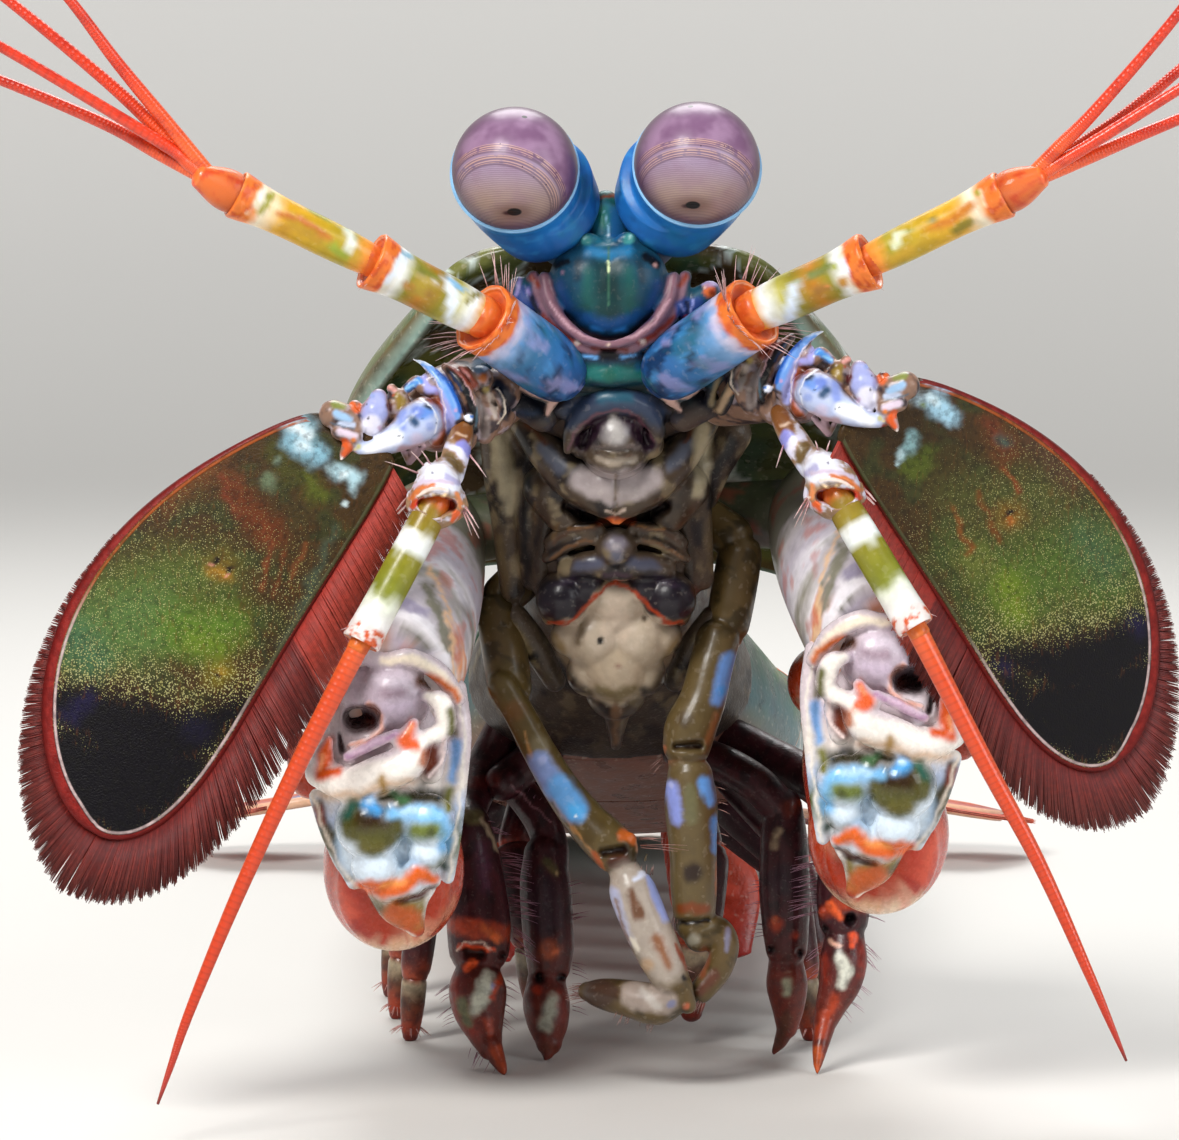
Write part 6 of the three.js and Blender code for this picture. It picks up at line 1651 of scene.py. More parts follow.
def make_scale(name, joints, material):
    axes = scale_axes(joints)
    sheet = SCALE_SHEETS[name]
    turns = np.linspace(-1, 1, 401)
    outline = np.stack(scale_edge(turns, 0.0), axis=1)

    def at(u, t, lift):
        share = scale_share(mix(-1, -0.005, t))
        bulge = (1 - (2 * u - 1) ** 2) ** 0.5 * (1 - t) ** 6
        aside = scale_shift(share) + (2 * u - 1) * np.maximum(scale_half(share), 0.3)
        along = SCALE_LENGTH * share + 0.2 * (1 - t) - 0.9 * bulge
        flat = np.stack([along, aside], axis=1)
        reach = np.linalg.norm(flat[:, None] - outline[None], axis=2)
        nearest = reach.argmin(axis=1)
        rim = np.where(along < 0.3, 9.0, reach[np.arange(len(flat)), nearest])
        spots = on_scale(axes, along, aside, lift)
        places = seen(sheet, spots)
        waver = np.stack([ripple(spots, 2.0, 95), ripple(spots, 2.0, 96)], axis=1)
        margin = brush(places + 14 * waver, SCALE_BLACK[name])
        dust = 0.27 + 0.16 * smooth_step(170, 20, margin)
        dust = dust * smooth_step(-90, 20, margin) + 0.01
        dust = dust * mix(0.35, 1.0, smooth_step(3, 10, along))
        colours = patched(plain("3c2a12", u), spots, 3, 97, "343418", 1, 0, 0.8)
        colours = stroked(sheet, spots, np.ones(len(u)), colours, SCALE_STROKES[name], waver=9, grain=1.4,
                          seed=98)
        notes = {"Along": along, "Rim": rim, "Turn": turns[nearest], "Dust": dust}
        return spots, np.stack([u, t], axis=1), colours, notes

    shape = Shape("Along", "Rim", "Turn", "Dust")
    plate(shape, 90, 190, at, SCALE_THICK, edge=0.05)
    finish_piece(shape, f"scale_plate_{name}", material, [f"antennal_scale_{name}"])


def make_fringe(name, joints):
    """The red fringe: three layers of fine hairs side by side round the inner margin and the tip."""
    axes = scale_axes(joints)
    draw = np.random.default_rng(91 if name == "right" else 92)
    fringe = Bristles()
    for lift, count in ((0.12, 680), (-0.12, 680), (0.0, 680)):
        turn = np.linspace(-0.985, 0.62, count) + draw.uniform(-0.0008, 0.0008, count)
        full = np.where(turn < 0, np.clip(1.65 + 1.1 * turn, 0.55, 1),
                        np.clip(1 - 3 * turn + 2.2 * turn ** 2, 0.01, 1))
        clumped = turn + 0.0012 * np.sin(turn * 340)
        wave = 0.97 + 0.03 * np.sin(turn * 340 + 1.3 * np.sin(turn * 57))
        length = SCALE_FRINGE * full * wave * draw.uniform(0.95, 1.03, count)
        roots = on_scale(axes, *scale_edge(turn, np.full(count, -0.6)), np.full(count, lift))
        tips = on_scale(axes, *scale_edge(clumped, length), np.full(count, lift * 1.6))
        middle = on_scale(axes, *scale_edge(clumped, length / 2 - 0.25), np.full(count, lift))
        sag = middle - (roots + tips) / 2
        along, aside = scale_edge(turn, 0.0)
        charts = np.stack([along / 32, aside / 32 + 0.3], axis=1)
        pick = draw.random(count)
        near_base = turn < -0.62
        dark, pale = ~near_base & (pick < 0.5), ~near_base & (pick >= 0.5)
        # Near the base the hairs are painted a brighter red: painted light shining through them.
        tints = ((dark, "6a100c", "5c1814"), (pale, "7c1812", "7a3028"), (near_base, "9c2014", "b84c3c"))
        for chosen, low, high in tints:
            fringe.add(roots[chosen], tips[chosen], sag[chosen], 0.075, 0.045, axes[3], charts[chosen],
                       low, high)
    fringe.finish(f"scale_fringe_{name}", "fringe", BRISTLE_FINISH)


# The raptorial legs as they show on the sheet of the right one, which the left one mirrors
CLUB_SHEET = (280, 440, 2.904)
WRIST_BANDS = [
    (-6, "c8481c"), (-4, "8a7a3a"), (-2.5, "dde2ee"), (0, "5d6436"), (1.4, "b8c8e4"), (3, "efe6de"),
    (5.4, "dccfd4"), (9, "d4c6cc"),
]
WRIST_FORMS = [
    (300, 720, 2.4, 4.0, 300, 860, 1.4, 4.1, 300, 1000, 0.6, 3.9, 325, 1140, 0.4, 3.3,
        350, 1250, 0.3, 2.3),
    (262, 1115, -3.0, 2.1), (432, 1105, -2.9, 1.6), (350, 1080, -3.1, 1.5), (275, 1235, -2.7, 1.4),
    (430, 1195, -2.6, 1.15),
    (310, 1300, -2.2, 0.95, 370, 1285, -2.4, 0.95, 400, 1250, -2.8, 0.75, 440, 1275, -2.2, 0.6),
    (350, 1265, -0.2, 2.45, 362, 1350, -0.4, 1.65, 395, 1418, -0.4, 0.55),
    (492, 900, -0.2, 1.05, 485, 1050, -0.3, 1.1, 466, 1200, -0.3, 0.9),
    (142, 1050, -0.2, 0.9, 192, 1200, -0.3, 0.95, 236, 1270, -0.3, 0.7),
    (108, 1035, -0.8, 0.5, 150, 1160, -0.8, 0.5, 215, 1285, -0.6, 0.45),
    (515, 720, -0.4, 0.55, 530, 850, -0.9, 0.55, 520, 1000, -0.9, 0.5, 503, 1150, -0.9, 0.5,
        488, 1270, -0.6, 0.4),
    (118, 965, -2.4, 0.95, 200, 1000, -3.5, 1.05, 290, 970, -4.1, 1.1, 370, 935, -4.2, 1.1,
        402, 880, -4.0, 0.85),
    (140, 872, -3.1, 0.3, 126, 920, -2.9, 0.65, 122, 970, -2.6, 0.85),
    (388, 822, -4.4, 0.35, 362, 875, -4.3, 0.75),
    (195, 920, -3.6, 0.3, 265, 884, -4.1, 0.36, 335, 853, -4.4, 0.3),
    (425, 742, -3.4, 0.4, 468, 762, -3.8, 0.62, 482, 825, -3.6, 0.66, 452, 856, -3.7, 0.56,
        410, 866, -3.9, 0.5),
    (450, 890, -2.4, 0.8, 438, 965, -2.6, 0.7),
    (480, 862, -3.0, 0.2, 468, 930, -3.0, 0.18, 430, 980, -3.4, 0.16), (330, 745, -1.6, 2.3),
    (260, 730, -0.9, 1.9), (110, 700, -0.2, 1.3), (120, 790, -0.4, 1.1),
    (95, 655, -0.4, 0.7, 190, 618, -1.9, 0.6, 300, 640, -2.7, 0.5, 380, 632, -3.0, 0.55,
        462, 675, -2.6, 0.6, 516, 750, -1.6, 0.5),
    (255, 770, -3.3, 0.28, 290, 800, -3.3, 0.26, 296, 835, -3.4, 0.22, 262, 868, -3.5, 0.22,
        205, 885, -3.3, 0.2),
]

WRIST_CUTS = [
    (1.7, 14, (222, 812, 34, 256, 808, 32)), (0.5, 5, (172, 862, 5, 180, 905, 7)),
    (0.5, 8, (418, 704, 16, 440, 718, 10)), (0.35, 6, (335, 1342, 6, 400, 1328, 9, 452, 1300, 7)),
    (0.25, 8, (350, 1150, 6, 372, 1190, 6)),
]

WRIST_STROKES = [
    ("e6d6d8", 20, (110, 700, 50, 120, 790, 45)), ("f2e6e4", 14, (95, 780, 22, 130, 740, 26)),
    ("c8645a", 12, (140, 655, 26, 190, 650, 22)),
    ("4a3c1c", 8, (108, 1060, 14, 150, 1180, 18, 205, 1270, 14)),
    ("8f2c1a", 8, (112, 1075, 14, 122, 1110, 12)),
    ("f0e2d0", 4, (90, 1015, 5, 124, 1125, 4, 165, 1220, 4, 218, 1296, 4)),
    ("a8c4e0", 12, (250, 1180, 90, 420, 1150, 80)),
    ("dcebf8", 12, (190, 1150, 20, 226, 1225, 42, 290, 1250, 42, 340, 1205, 34, 385, 1180, 26,
        430, 1195, 34, 478, 1150, 22)),
    ("54531f", 12, (235, 1110, 66, 300, 1128, 62, 268, 1170, 40)),
    ("33200f", 22, (250, 1105, 30, 300, 1100, 30)),
    ("2c5e50", 12, (192, 1088, 16, 212, 1052, 18, 250, 1035, 14)),
    # The sky-blue 4fa8ee spot with its pale cfeafc core is a painted highlight on the olive ball.
    ("6a6424", 14, (240, 1180, 16, 290, 1185, 16)), ("4fa8ee", 12, (262, 1056, 24, 280, 1072, 14)),
    ("cfeafc", 8, (263, 1050, 10)),
    ("7fc0f0", 12, (330, 1082, 20, 400, 1078, 28, 450, 1086, 30, 480, 1130, 22, 478, 1180, 20)),
    ("b8dcf6", 10, (360, 1080, 12, 430, 1075, 12)), ("6f7d34", 12, (395, 1138, 24, 450, 1134, 24)),
    ("474f24", 10, (438, 1140, 14)),
    ("2e2c16", 12, (300, 1040, 16, 350, 1046, 18, 405, 1032, 22, 462, 1040, 22)),
    ("3f6a42", 10, (368, 1046, 12, 330, 1030, 10)),
    ("f7f0e8", 10, (108, 1008, 24, 180, 1008, 36, 262, 972, 38, 340, 958, 38, 396, 930, 32,
        408, 892, 18)),
    # The tan dcb48e stroke under the white band is painted shade.
    ("dcb48e", 14, (130, 1034, 8, 230, 1030, 8, 300, 1002, 8, 380, 990, 7)),
    ("9c7424", 10, (296, 985, 10, 304, 1018, 10)),
    ("d9551a", 10, (140, 872, 12, 130, 920, 24, 124, 968, 22, 165, 962, 14)),
    # The dark 2c0a0e stroke is painted shade in the carved slit.
    ("ee9a66", 6, (124, 915, 6, 118, 950, 6)), ("2c0a0e", 6, (172, 858, 6, 182, 902, 8)),
    ("c0b0be", 20, (250, 690, 52, 330, 720, 62, 400, 760, 44, 330, 800, 44, 230, 740, 56)),
    ("dccfdc", 14, (280, 690, 14, 350, 700, 18)), ("cab8cc", 14, (310, 780, 20, 370, 770, 16)),
    ("9a8290", 14, (370, 730, 12, 300, 740, 10)),
    ("e2a490", 6, (258, 768, 7, 292, 800, 7, 297, 838, 6, 262, 872, 6, 205, 888, 6)),
    # The dark 2a0c10 and 5a2218 strokes are painted shade in the carved hole; the pale dcc0d2 line on the
    # lilac ridge and the f4a278 spot on the orange horn are painted highlights.
    ("2a0c10", 14, (222, 812, 34, 254, 808, 30)), ("5a2218", 12, (262, 828, 14)),
    ("b48cae", 7, (195, 922, 11, 262, 887, 13, 335, 853, 10)), ("dcc0d2", 5, (215, 908, 4, 300, 868, 4)),
    ("e4602e", 10, (386, 828, 14, 364, 872, 24, 392, 888, 16)), ("f4a278", 6, (384, 832, 5, 372, 850, 5)),
    ("fcf5ec", 8, (430, 744, 14, 472, 766, 24, 482, 828, 24, 452, 858, 24, 418, 870, 18)),
    ("5f3412", 10, (408, 702, 16, 440, 716, 12)),
    ("f8ead4", 7, (300, 643, 10, 360, 634, 14, 420, 648, 14, 470, 682, 12, 516, 744, 10)),
    ("df6c24", 8, (432, 684, 9, 482, 712, 11, 516, 752, 10)),
    ("6e2c14", 12, (446, 905, 24, 432, 965, 18)), ("b65c24", 10, (420, 905, 8, 416, 940, 8)),
    ("f6e0dc", 4, (479, 868, 5, 466, 932, 5, 430, 977, 5)), ("5c5a26", 8, (496, 790, 12, 502, 850, 12)),
    ("7fb0ea", 8, (512, 880, 15, 506, 960, 14, 498, 990, 10)),
    ("76762c", 8, (490, 1018, 12, 486, 1070, 12)),
    ("f6eee2", 4, (521, 770, 4, 537, 860, 4, 530, 960, 4, 517, 1080, 4, 505, 1170, 4, 490, 1280, 4)),
    ("e0621a", 9, (240, 1298, 20, 300, 1306, 26, 360, 1298, 22, 398, 1258, 22, 444, 1276, 16)),
    ("f09a4e", 8, (300, 1296, 8, 360, 1280, 7)),
    ("52100a", 7, (338, 1342, 6, 400, 1326, 9, 452, 1300, 7)), ("46584c", 8, (474, 1238, 12)),
    ("54441c", 9, (244, 1336, 14, 290, 1366, 14)), ("c65c26", 12, (330, 1376, 30, 382, 1388, 28)),
    ("f6f2ee", 9, (466, 1306, 14, 442, 1335, 20, 432, 1378, 14)),
    ("f2e2d2", 4, (224, 1300, 4, 268, 1370, 4, 330, 1424, 4, 388, 1440, 4)),
    ("a2381a", 7, (404, 1436, 7, 450, 1420, 6)),
]

MERUS_STROKES = [
    ("cac2ca", 30, (420, 500, 90)), ("858272", 12, (425, 425, 16, 468, 520, 16, 490, 610, 10)),
    ("f3eff5", 12, (330, 505, 20, 410, 535, 24, 480, 645, 16)),
    ("a49cb4", 12, (350, 470, 18, 420, 500, 16)), ("c2bacb", 12, (320, 565, 20, 420, 618, 20)),
    ("7d7a70", 10, (370, 560, 10, 440, 600, 10)), ("e2a284", 12, (305, 596, 16, 360, 612, 12)),
    ("d64a38", 40, (170, 440, 110)), ("e26a80", 26, (160, 540, 60)),
    ("f6ccd0", 14, (148, 520, 22, 120, 500, 12)), ("f0b4b6", 12, (100, 596, 18, 130, 570, 12)),
    ("f0dcd8", 14, (215, 370, 16, 250, 350, 12)), ("c02f34", 20, (190, 470, 20, 240, 420, 20)),
    ("ecc49a", 6, (430, 366, 6, 482, 470, 5, 500, 590, 5, 508, 690, 5)),
]

HAND_STROKES = [
    ("b7321c", 20, (110, 1150, 60, 190, 1350, 60)), ("d8573c", 16, (140, 1230, 14, 200, 1380, 18)),
    ("f2dac4", 16, (300, 1505, 26, 380, 1500, 30, 440, 1478, 22)), ("e9a890", 16, (246, 1470, 20)),
    ("a82a18", 12, (228, 1415, 22, 260, 1440, 12)),
    ("b8402a", 8, (300, 1462, 12, 350, 1446, 10, 400, 1450, 8)),
    ("e8b48e", 10, (330, 1480, 12, 420, 1460, 10)), ("e0644c", 12, (60, 900, 30, 70, 960, 26)),
    ("f0a898", 8, (50, 890, 8, 46, 930, 7)),
]


def make_raptorial(name, joints):
    side = joints["side"]
    home, here_base = vec(JOINTS["right"]["carpus"]), vec(joints["carpus"])
    turn = np.array([-side, 1, 1])
    to_right = lambda spots: (spots - here_base) * turn + home
    from_right = lambda spots: (spots - home) * turn + here_base
    front, rear = (vec(place) for place in joints["merus"])
    at = lambda share: mix(front, rear, share)
    merus = Shape()
    stations = [(at(1.02), (2.2, 2.8)), (at(0.9), (3.3, 3.9)), (at(0.6), (4.1, 4.7)),
                (at(0.25), (4.4, 4.9)),
                (at(0.08), (4.3, 4.85)), (at(0.0), (3.8, 4.3))]
    tube(merus, stations, sides=110, rings=120, ends=(0.2, 0.1))
    tube(merus, [(at(0.93), 2.3), (joints["ischium"], 1.9)], sides=40)
    merus_axis = unit(rear - front)

    def merus_paint(spots, normals):
        back = (spots - front) @ merus_axis / np.linalg.norm(rear - front)
        waver = back + 0.05 * ripple(spots, 3.0, 31)
        colours = banded(waver, [
            (0, "efe6e4"), (0.06, "e89a68"), (0.1, "efe9ee"), (0.22, "a09c8c"), (0.3, "f0ecf2"),
            (0.4, "cac2d0"), (0.55, "d4ccd0"), (0.62, "8a8678"), (0.8, "a8a694"), (1, "5c644c"),
        ])
        colours = patched(colours, spots, 3.4, 33, "9a92a2", 0.35, 0.35, 0.8)
        colours = patched(colours, spots, 2.6, 34, "c8604a", 0.5, 0.4, 0.9)
        return stroked(CLUB_SHEET, to_right(spots), facing_front(normals), colours, MERUS_STROKES, waver=8,
                       grain=1.2, seed=36)

    repaint(merus, merus_paint)
    finish_piece(merus, f"raptorial_merus_shell_{name}", SMOOTH_FINISH,
                 [f"raptorial_merus_{name}"])

    wrist = Shape()
    modelled(wrist, CLUB_SHEET, WRIST_FORMS, from_right)
    wrist = fused(wrist, fineness=0.136, smoothing=3)
    carved(wrist, CLUB_SHEET, WRIST_CUTS, to_right)

    def wrist_paint(spots, normals):
        here = to_right(spots) - home
        colours = banded(here[:, 2] + 0.4 * ripple(spots, 2.0, 41), WRIST_BANDS)
        softer = [(code, 1.5 * soft, line) for code, soft, line in WRIST_STROKES]
        return stroked(CLUB_SHEET, to_right(spots), facing_front(normals), colours, softer, waver=4,
                       grain=1.4, seed=43)

    repaint(wrist, wrist_paint)
    finish_piece(wrist, f"raptorial_wrist_{name}", GLOSS_FINISH,
                 [f"raptorial_carpus_{name}"])

    hand = Shape()
    a, b, c = (vec(place) for place in joints["propodus"])
    stations = [(a, (3.4, 4.0)), (mix(a, b, 0.35), (4.2, 4.8)), (b, (4.0, 4.4)),
                (mix(b, c, 0.6), (3.0, 3.1)), (c, (2.0, 2.2))]
    tube(hand, stations, sides=80, rings=90)
    modelled(hand, CLUB_SHEET, [(75, 905, 3.4, 1.2, 90, 980, 3.4, 1.3)], from_right)

    def hand_paint(spots, normals):
        share = smooth_step(0, 18, (spots - a) @ unit(c - a))
        colours = banded(share + 0.06 * ripple(spots, 3, 47), [
            (0, "b03416"), (0.3, "c0401c"), (0.6, "a82c18"), (0.85, "7a2c20"), (1, "5a3a2a"),
        ])
        colours = patched(colours, spots, 4.5, 48, "e4a884", 0.4, 0.1, 0.8)
        under = spots[:, 2] + 0.5 * ripple(spots, 3.0, 50) - a[2]
        colours = over(colours, 0.9 * smooth_step(-2.2, -3.4, under), "ecd0b0")
        return stroked(CLUB_SHEET, to_right(spots), facing_front(normals), colours, HAND_STROKES, waver=8,
                       grain=1.2, seed=49)

    repaint(hand, hand_paint)
    finish_piece(hand, f"raptorial_hand_{name}", GLOSS_FINISH,
                 [f"raptorial_propodus_{name}"])

    hammer = Shape()
    heel, *blade = (vec(place) for place in joints["dactyl"])

    def heel_paint(u, v, spots):
        return patched(plain("d04a24", u), spots, 2.4, 52, "ecc4a0", 0.7, 0.2, 0.9)

    def blade_paint(u, share, spots):
        return banded(share + 0.03 * ripple(spots, 2, 51), [(0, "d8481c"), (0.5, "e88a4a"), (1, "f0dcc0")])

    orb(hammer, heel, (2.3, 2.6, 2.4), sides=56, rows=36, paint=heel_paint)
    stations = [(heel, 1.5), (blade[0], 1.15), (blade[1], 0.8), (blade[2], 0.2)]
    tube(hammer, stations, sides=32, rings=40, paint=blade_paint)
    finish_piece(hammer, f"raptorial_hammer_{name}", GLOSS_FINISH,
                 [f"raptorial_dactyl_{name}"])


# Slender limbs
CLEANER_BANDS = [
    [(0, "6a5a30"), (1, "5a4a28")], [(0, "5a4a28"), (0.5, "4a3a22"), (1, "6a5230")],
    [
        (0, "5a4a24"), (0.45, "6a5a2c"), (0.55, "7fb0dc"), (0.8, "6a9cd0"), (0.88, "7a6a34"),
        (0.96, "c8501c"), (1, "d0582a"),
    ],
    [(0, "c86a3c"), (0.1, "e0e2e8"), (0.35, "9cb0d8"), (0.6, "7a7a48"), (0.85, "c8c0b0"), (1, "a85a30")],
]
LEG_BANDS = [
    [(0, "240a12"), (0.6, "34101a"), (0.85, "6a2018"), (1, "b03a1c")],
    [(0, "5a1a18"), (0.3, "3a1218"), (0.7, "44161a"), (1, "a84424")],
    [(0, "8a2c1a"), (0.25, "a8987c"), (0.45, "5a3420"), (0.75, "9a3418"), (1, "7a2010")],
    [(0, "8a2c1a"), (0.4, "8a3c20"), (1, "a84a20")],
]


def make_limb(shape, places, widths, bands, seed, tip, upward=(0, 0, 1)):
    places = [vec(place) for place in places]
    for i in range(len(places) - 1):
        start, end = places[i], places[i + 1]
        width = widths[i]
        last = i == len(places) - 2
        end_width = width * (tip if last else 0.92)
        stops = bands[min(i, len(bands) - 1)]

        def paint(u, share, spots):
            colours = banded(share + 0.04 * ripple(spots, 1.6, seed), stops)
            return patched(colours, spots, 1.2, seed + 1, "1c0a10", 0.5, 0.2, 0.9)

        sizes = (width * 0.8, width * 0.96, mix(width, end_width, 0.4) * 1.04, end_width * 1.05,
                 end_width * 0.85)
        stations = [(mix(start, end, at), size) for at, size in zip((0, 0.12, 0.5, 0.88, 1.0), sizes)]
        tube(shape, stations, sides=32, rings=36, ends=(0.4, 0.9 if last else 0.4), upward=upward,
             paint=paint)


# The cleaning limbs and the limbs beside them as they show on the sheet
LEG_SHEET = (440, 700, 4)

CLEANER_FORMS = {
    "right": [
        (250, -60, 9.8, 0.95, 320, 60, 9.6, 0.95, 400, 210, 9.3, 1.02, 490, 360, 9.0, 1.14,
            590, 490, 8.5, 1.3, 655, 555, 8.2, 1.4, 700, 600, 8.0, 1.42),
        (755, 560, 7.6, 0.5), (730, 640, 7.9, 0.8),
        (740, 690, 7.8, 1.0, 768, 760, 7.7, 1.42, 825, 900, 7.5, 1.45, 885, 1030, 7.3, 1.36,
            925, 1120, 7.2, 1.15),
        (820, 640, 7.2, 0.12, 830, 610, 7.1, 0.05),
        (925, 1185, 7.6, 1.25, 860, 1215, 7.8, 1.3, 760, 1195, 8.4, 1.15, 650, 1175, 9.4, 0.95,
            590, 1165, 10.2, 0.6),
        (975, 1130, 7.0, 0.5, 990, 1220, 7.2, 0.55),
    ],
    "left": [
        (1110, -240, 10.6, 1.35, 1080, -120, 10, 1.35, 1050, 0, 9.6, 1.42, 1003, 110, 9.3, 1.58,
            988, 175, 9.2, 1.5),
        (980, 250, 9.2, 1.05),
        (1000, 310, 9.1, 1.42, 1004, 420, 9.0, 1.62, 1012, 600, 8.9, 1.46, 1015, 750, 8.9, 1.42,
            1016, 840, 8.9, 1.32),
        (1010, 900, 9.0, 1.05),
        (1040, 945, 8.9, 1.0, 1105, 925, 8.9, 0.95, 1138, 985, 8.8, 0.9, 1110, 1080, 8.7, 0.85,
            1045, 1165, 8.5, 0.75),
    ],
}

CLEANER_CUTS = {
    "right": [(0.8, 24, (655, 612, 10, 725, 602, 14))],
    "left": [(0.8, 22, (945, 188, 8, 1035, 184, 12)), (0.4, 14, (950, 890, 6, 1070, 880, 6))],
}

CLEANER_STROKES = {
    "right": [
        ("5a4a26", 30, (250, -60, 90, 500, 380, 90, 640, 540, 90)), ("6a4a24", 20, (300, 40, 40)),
        ("7a6e50", 20, (400, 180, 40)),
        ("a87c48", 6, (335, 130, 5, 385, 280, 5, 475, 440, 5, 600, 600, 6, 660, 680, 6)),
        ("8298cc", 18, (400, 250, 44, 460, 350, 50)), ("62a0dc", 20, (480, 350, 52, 540, 440, 52)),
        # The near-white e8f8ff dot is a painted highlight.
        ("48a8e8", 16, (540, 440, 30)), ("a8b4e0", 10, (410, 240, 18)), ("e8f8ff", 4, (545, 465, 6)),
        ("4c3c18", 18, (620, 500, 40, 590, 560, 20)), ("c06024", 12, (735, 535, 24, 790, 565, 16)),
        ("a8501c", 8, (615, 610, 10, 645, 670, 10)), ("e8a070", 5, (790, 560, 5, 790, 600, 5)),
        # The near-black 1c0a06 stroke is painted shade in the carved hollow at the knee.
        ("1c0a06", 14, (652, 612, 16, 736, 602, 18)), ("4a2414", 10, (700, 650, 30, 740, 640, 20)),
        ("a89c90", 30, (760, 740, 90, 830, 900, 100, 900, 1060, 80)),
        ("b0b6d4", 16, (690, 770, 22, 715, 880, 26, 750, 970, 18)),
        ("98a8e0", 14, (840, 700, 16, 868, 780, 22, 902, 870, 18)),
        ("d0d6e8", 9, (815, 690, 12, 780, 720, 8)), ("6a4630", 14, (765, 770, 14, 795, 860, 22)),
        ("8a5c40", 16, (870, 960, 26, 915, 1060, 16)), ("ac9074", 14, (830, 1060, 26)),
        ("8a4028", 8, (945, 980, 7, 990, 1070, 8)), ("d4ccbc", 8, (765, 960, 10, 790, 1000, 8)),
        ("7a5a44", 10, (700, 800, 6, 760, 1000, 6)), ("94867c", 18, (780, 1180, 60, 900, 1210, 50)),
        ("aca49c", 12, (810, 1165, 16, 870, 1225, 16)), ("74748e", 9, (925, 1215, 16)),
        ("a8583c", 9, (985, 1225, 14)), ("402c20", 24, (640, 1170, 70)), ("14080a", 8, (975, 1110, 12)),
    ],
    "left": [
        ("5c4c2c", 30, (1080, -150, 120, 1000, 110, 120)),
        ("6a98dc", 18, (1165, -150, 44, 1140, -70, 40, 1110, 0, 24)), ("4a9ce8", 14, (1130, -40, 20)),
        ("8a6038", 8, (1105, 60, 10, 1070, 170, 8)), ("4a3a20", 16, (980, 80, 30)),
        ("a85c2c", 8, (895, 190, 8, 890, 250, 8, 1060, 250, 6)),
        # The near-black 1c0a06 stroke is painted shade in the carved hollow at the knee.
        ("1c0a06", 14, (945, 188, 12, 1035, 184, 14)), ("6a4430", 12, (940, 260, 20, 1010, 265, 20)),
        ("a88c70", 6, (960, 240, 5, 1000, 280, 5)),
        ("625232", 30, (1005, 340, 120, 1012, 600, 110, 1016, 830, 100)),
        ("8a98dc", 16, (925, 350, 28, 950, 480, 22)), ("b0b8e8", 8, (925, 340, 12)),
        ("68a4ec", 16, (1060, 330, 28, 1080, 400, 22)), ("5a98e4", 14, (1100, 480, 16, 1100, 600, 14)),
        ("6c6848", 16, (1005, 470, 30, 1000, 360, 20)), ("a8602c", 6, (1108, 640, 5, 1104, 780, 6)),
        ("2a1a10", 20, (1010, 690, 40)), ("7a3c18", 14, (960, 835, 20, 1060, 835, 20)),
        # The near-black 0a0406 line is painted shade in the carved groove.
        ("0a0406", 8, (955, 895, 8, 1070, 885, 8)), ("8a8474", 12, (1015, 960, 26)),
        ("7a4428", 12, (1062, 1010, 22, 1048, 1100, 18)), ("77748a", 8, (1150, 920, 10, 1148, 1000, 10)),
        ("5a3424", 12, (1100, 1100, 20, 1040, 1170, 20)),
    ],
}

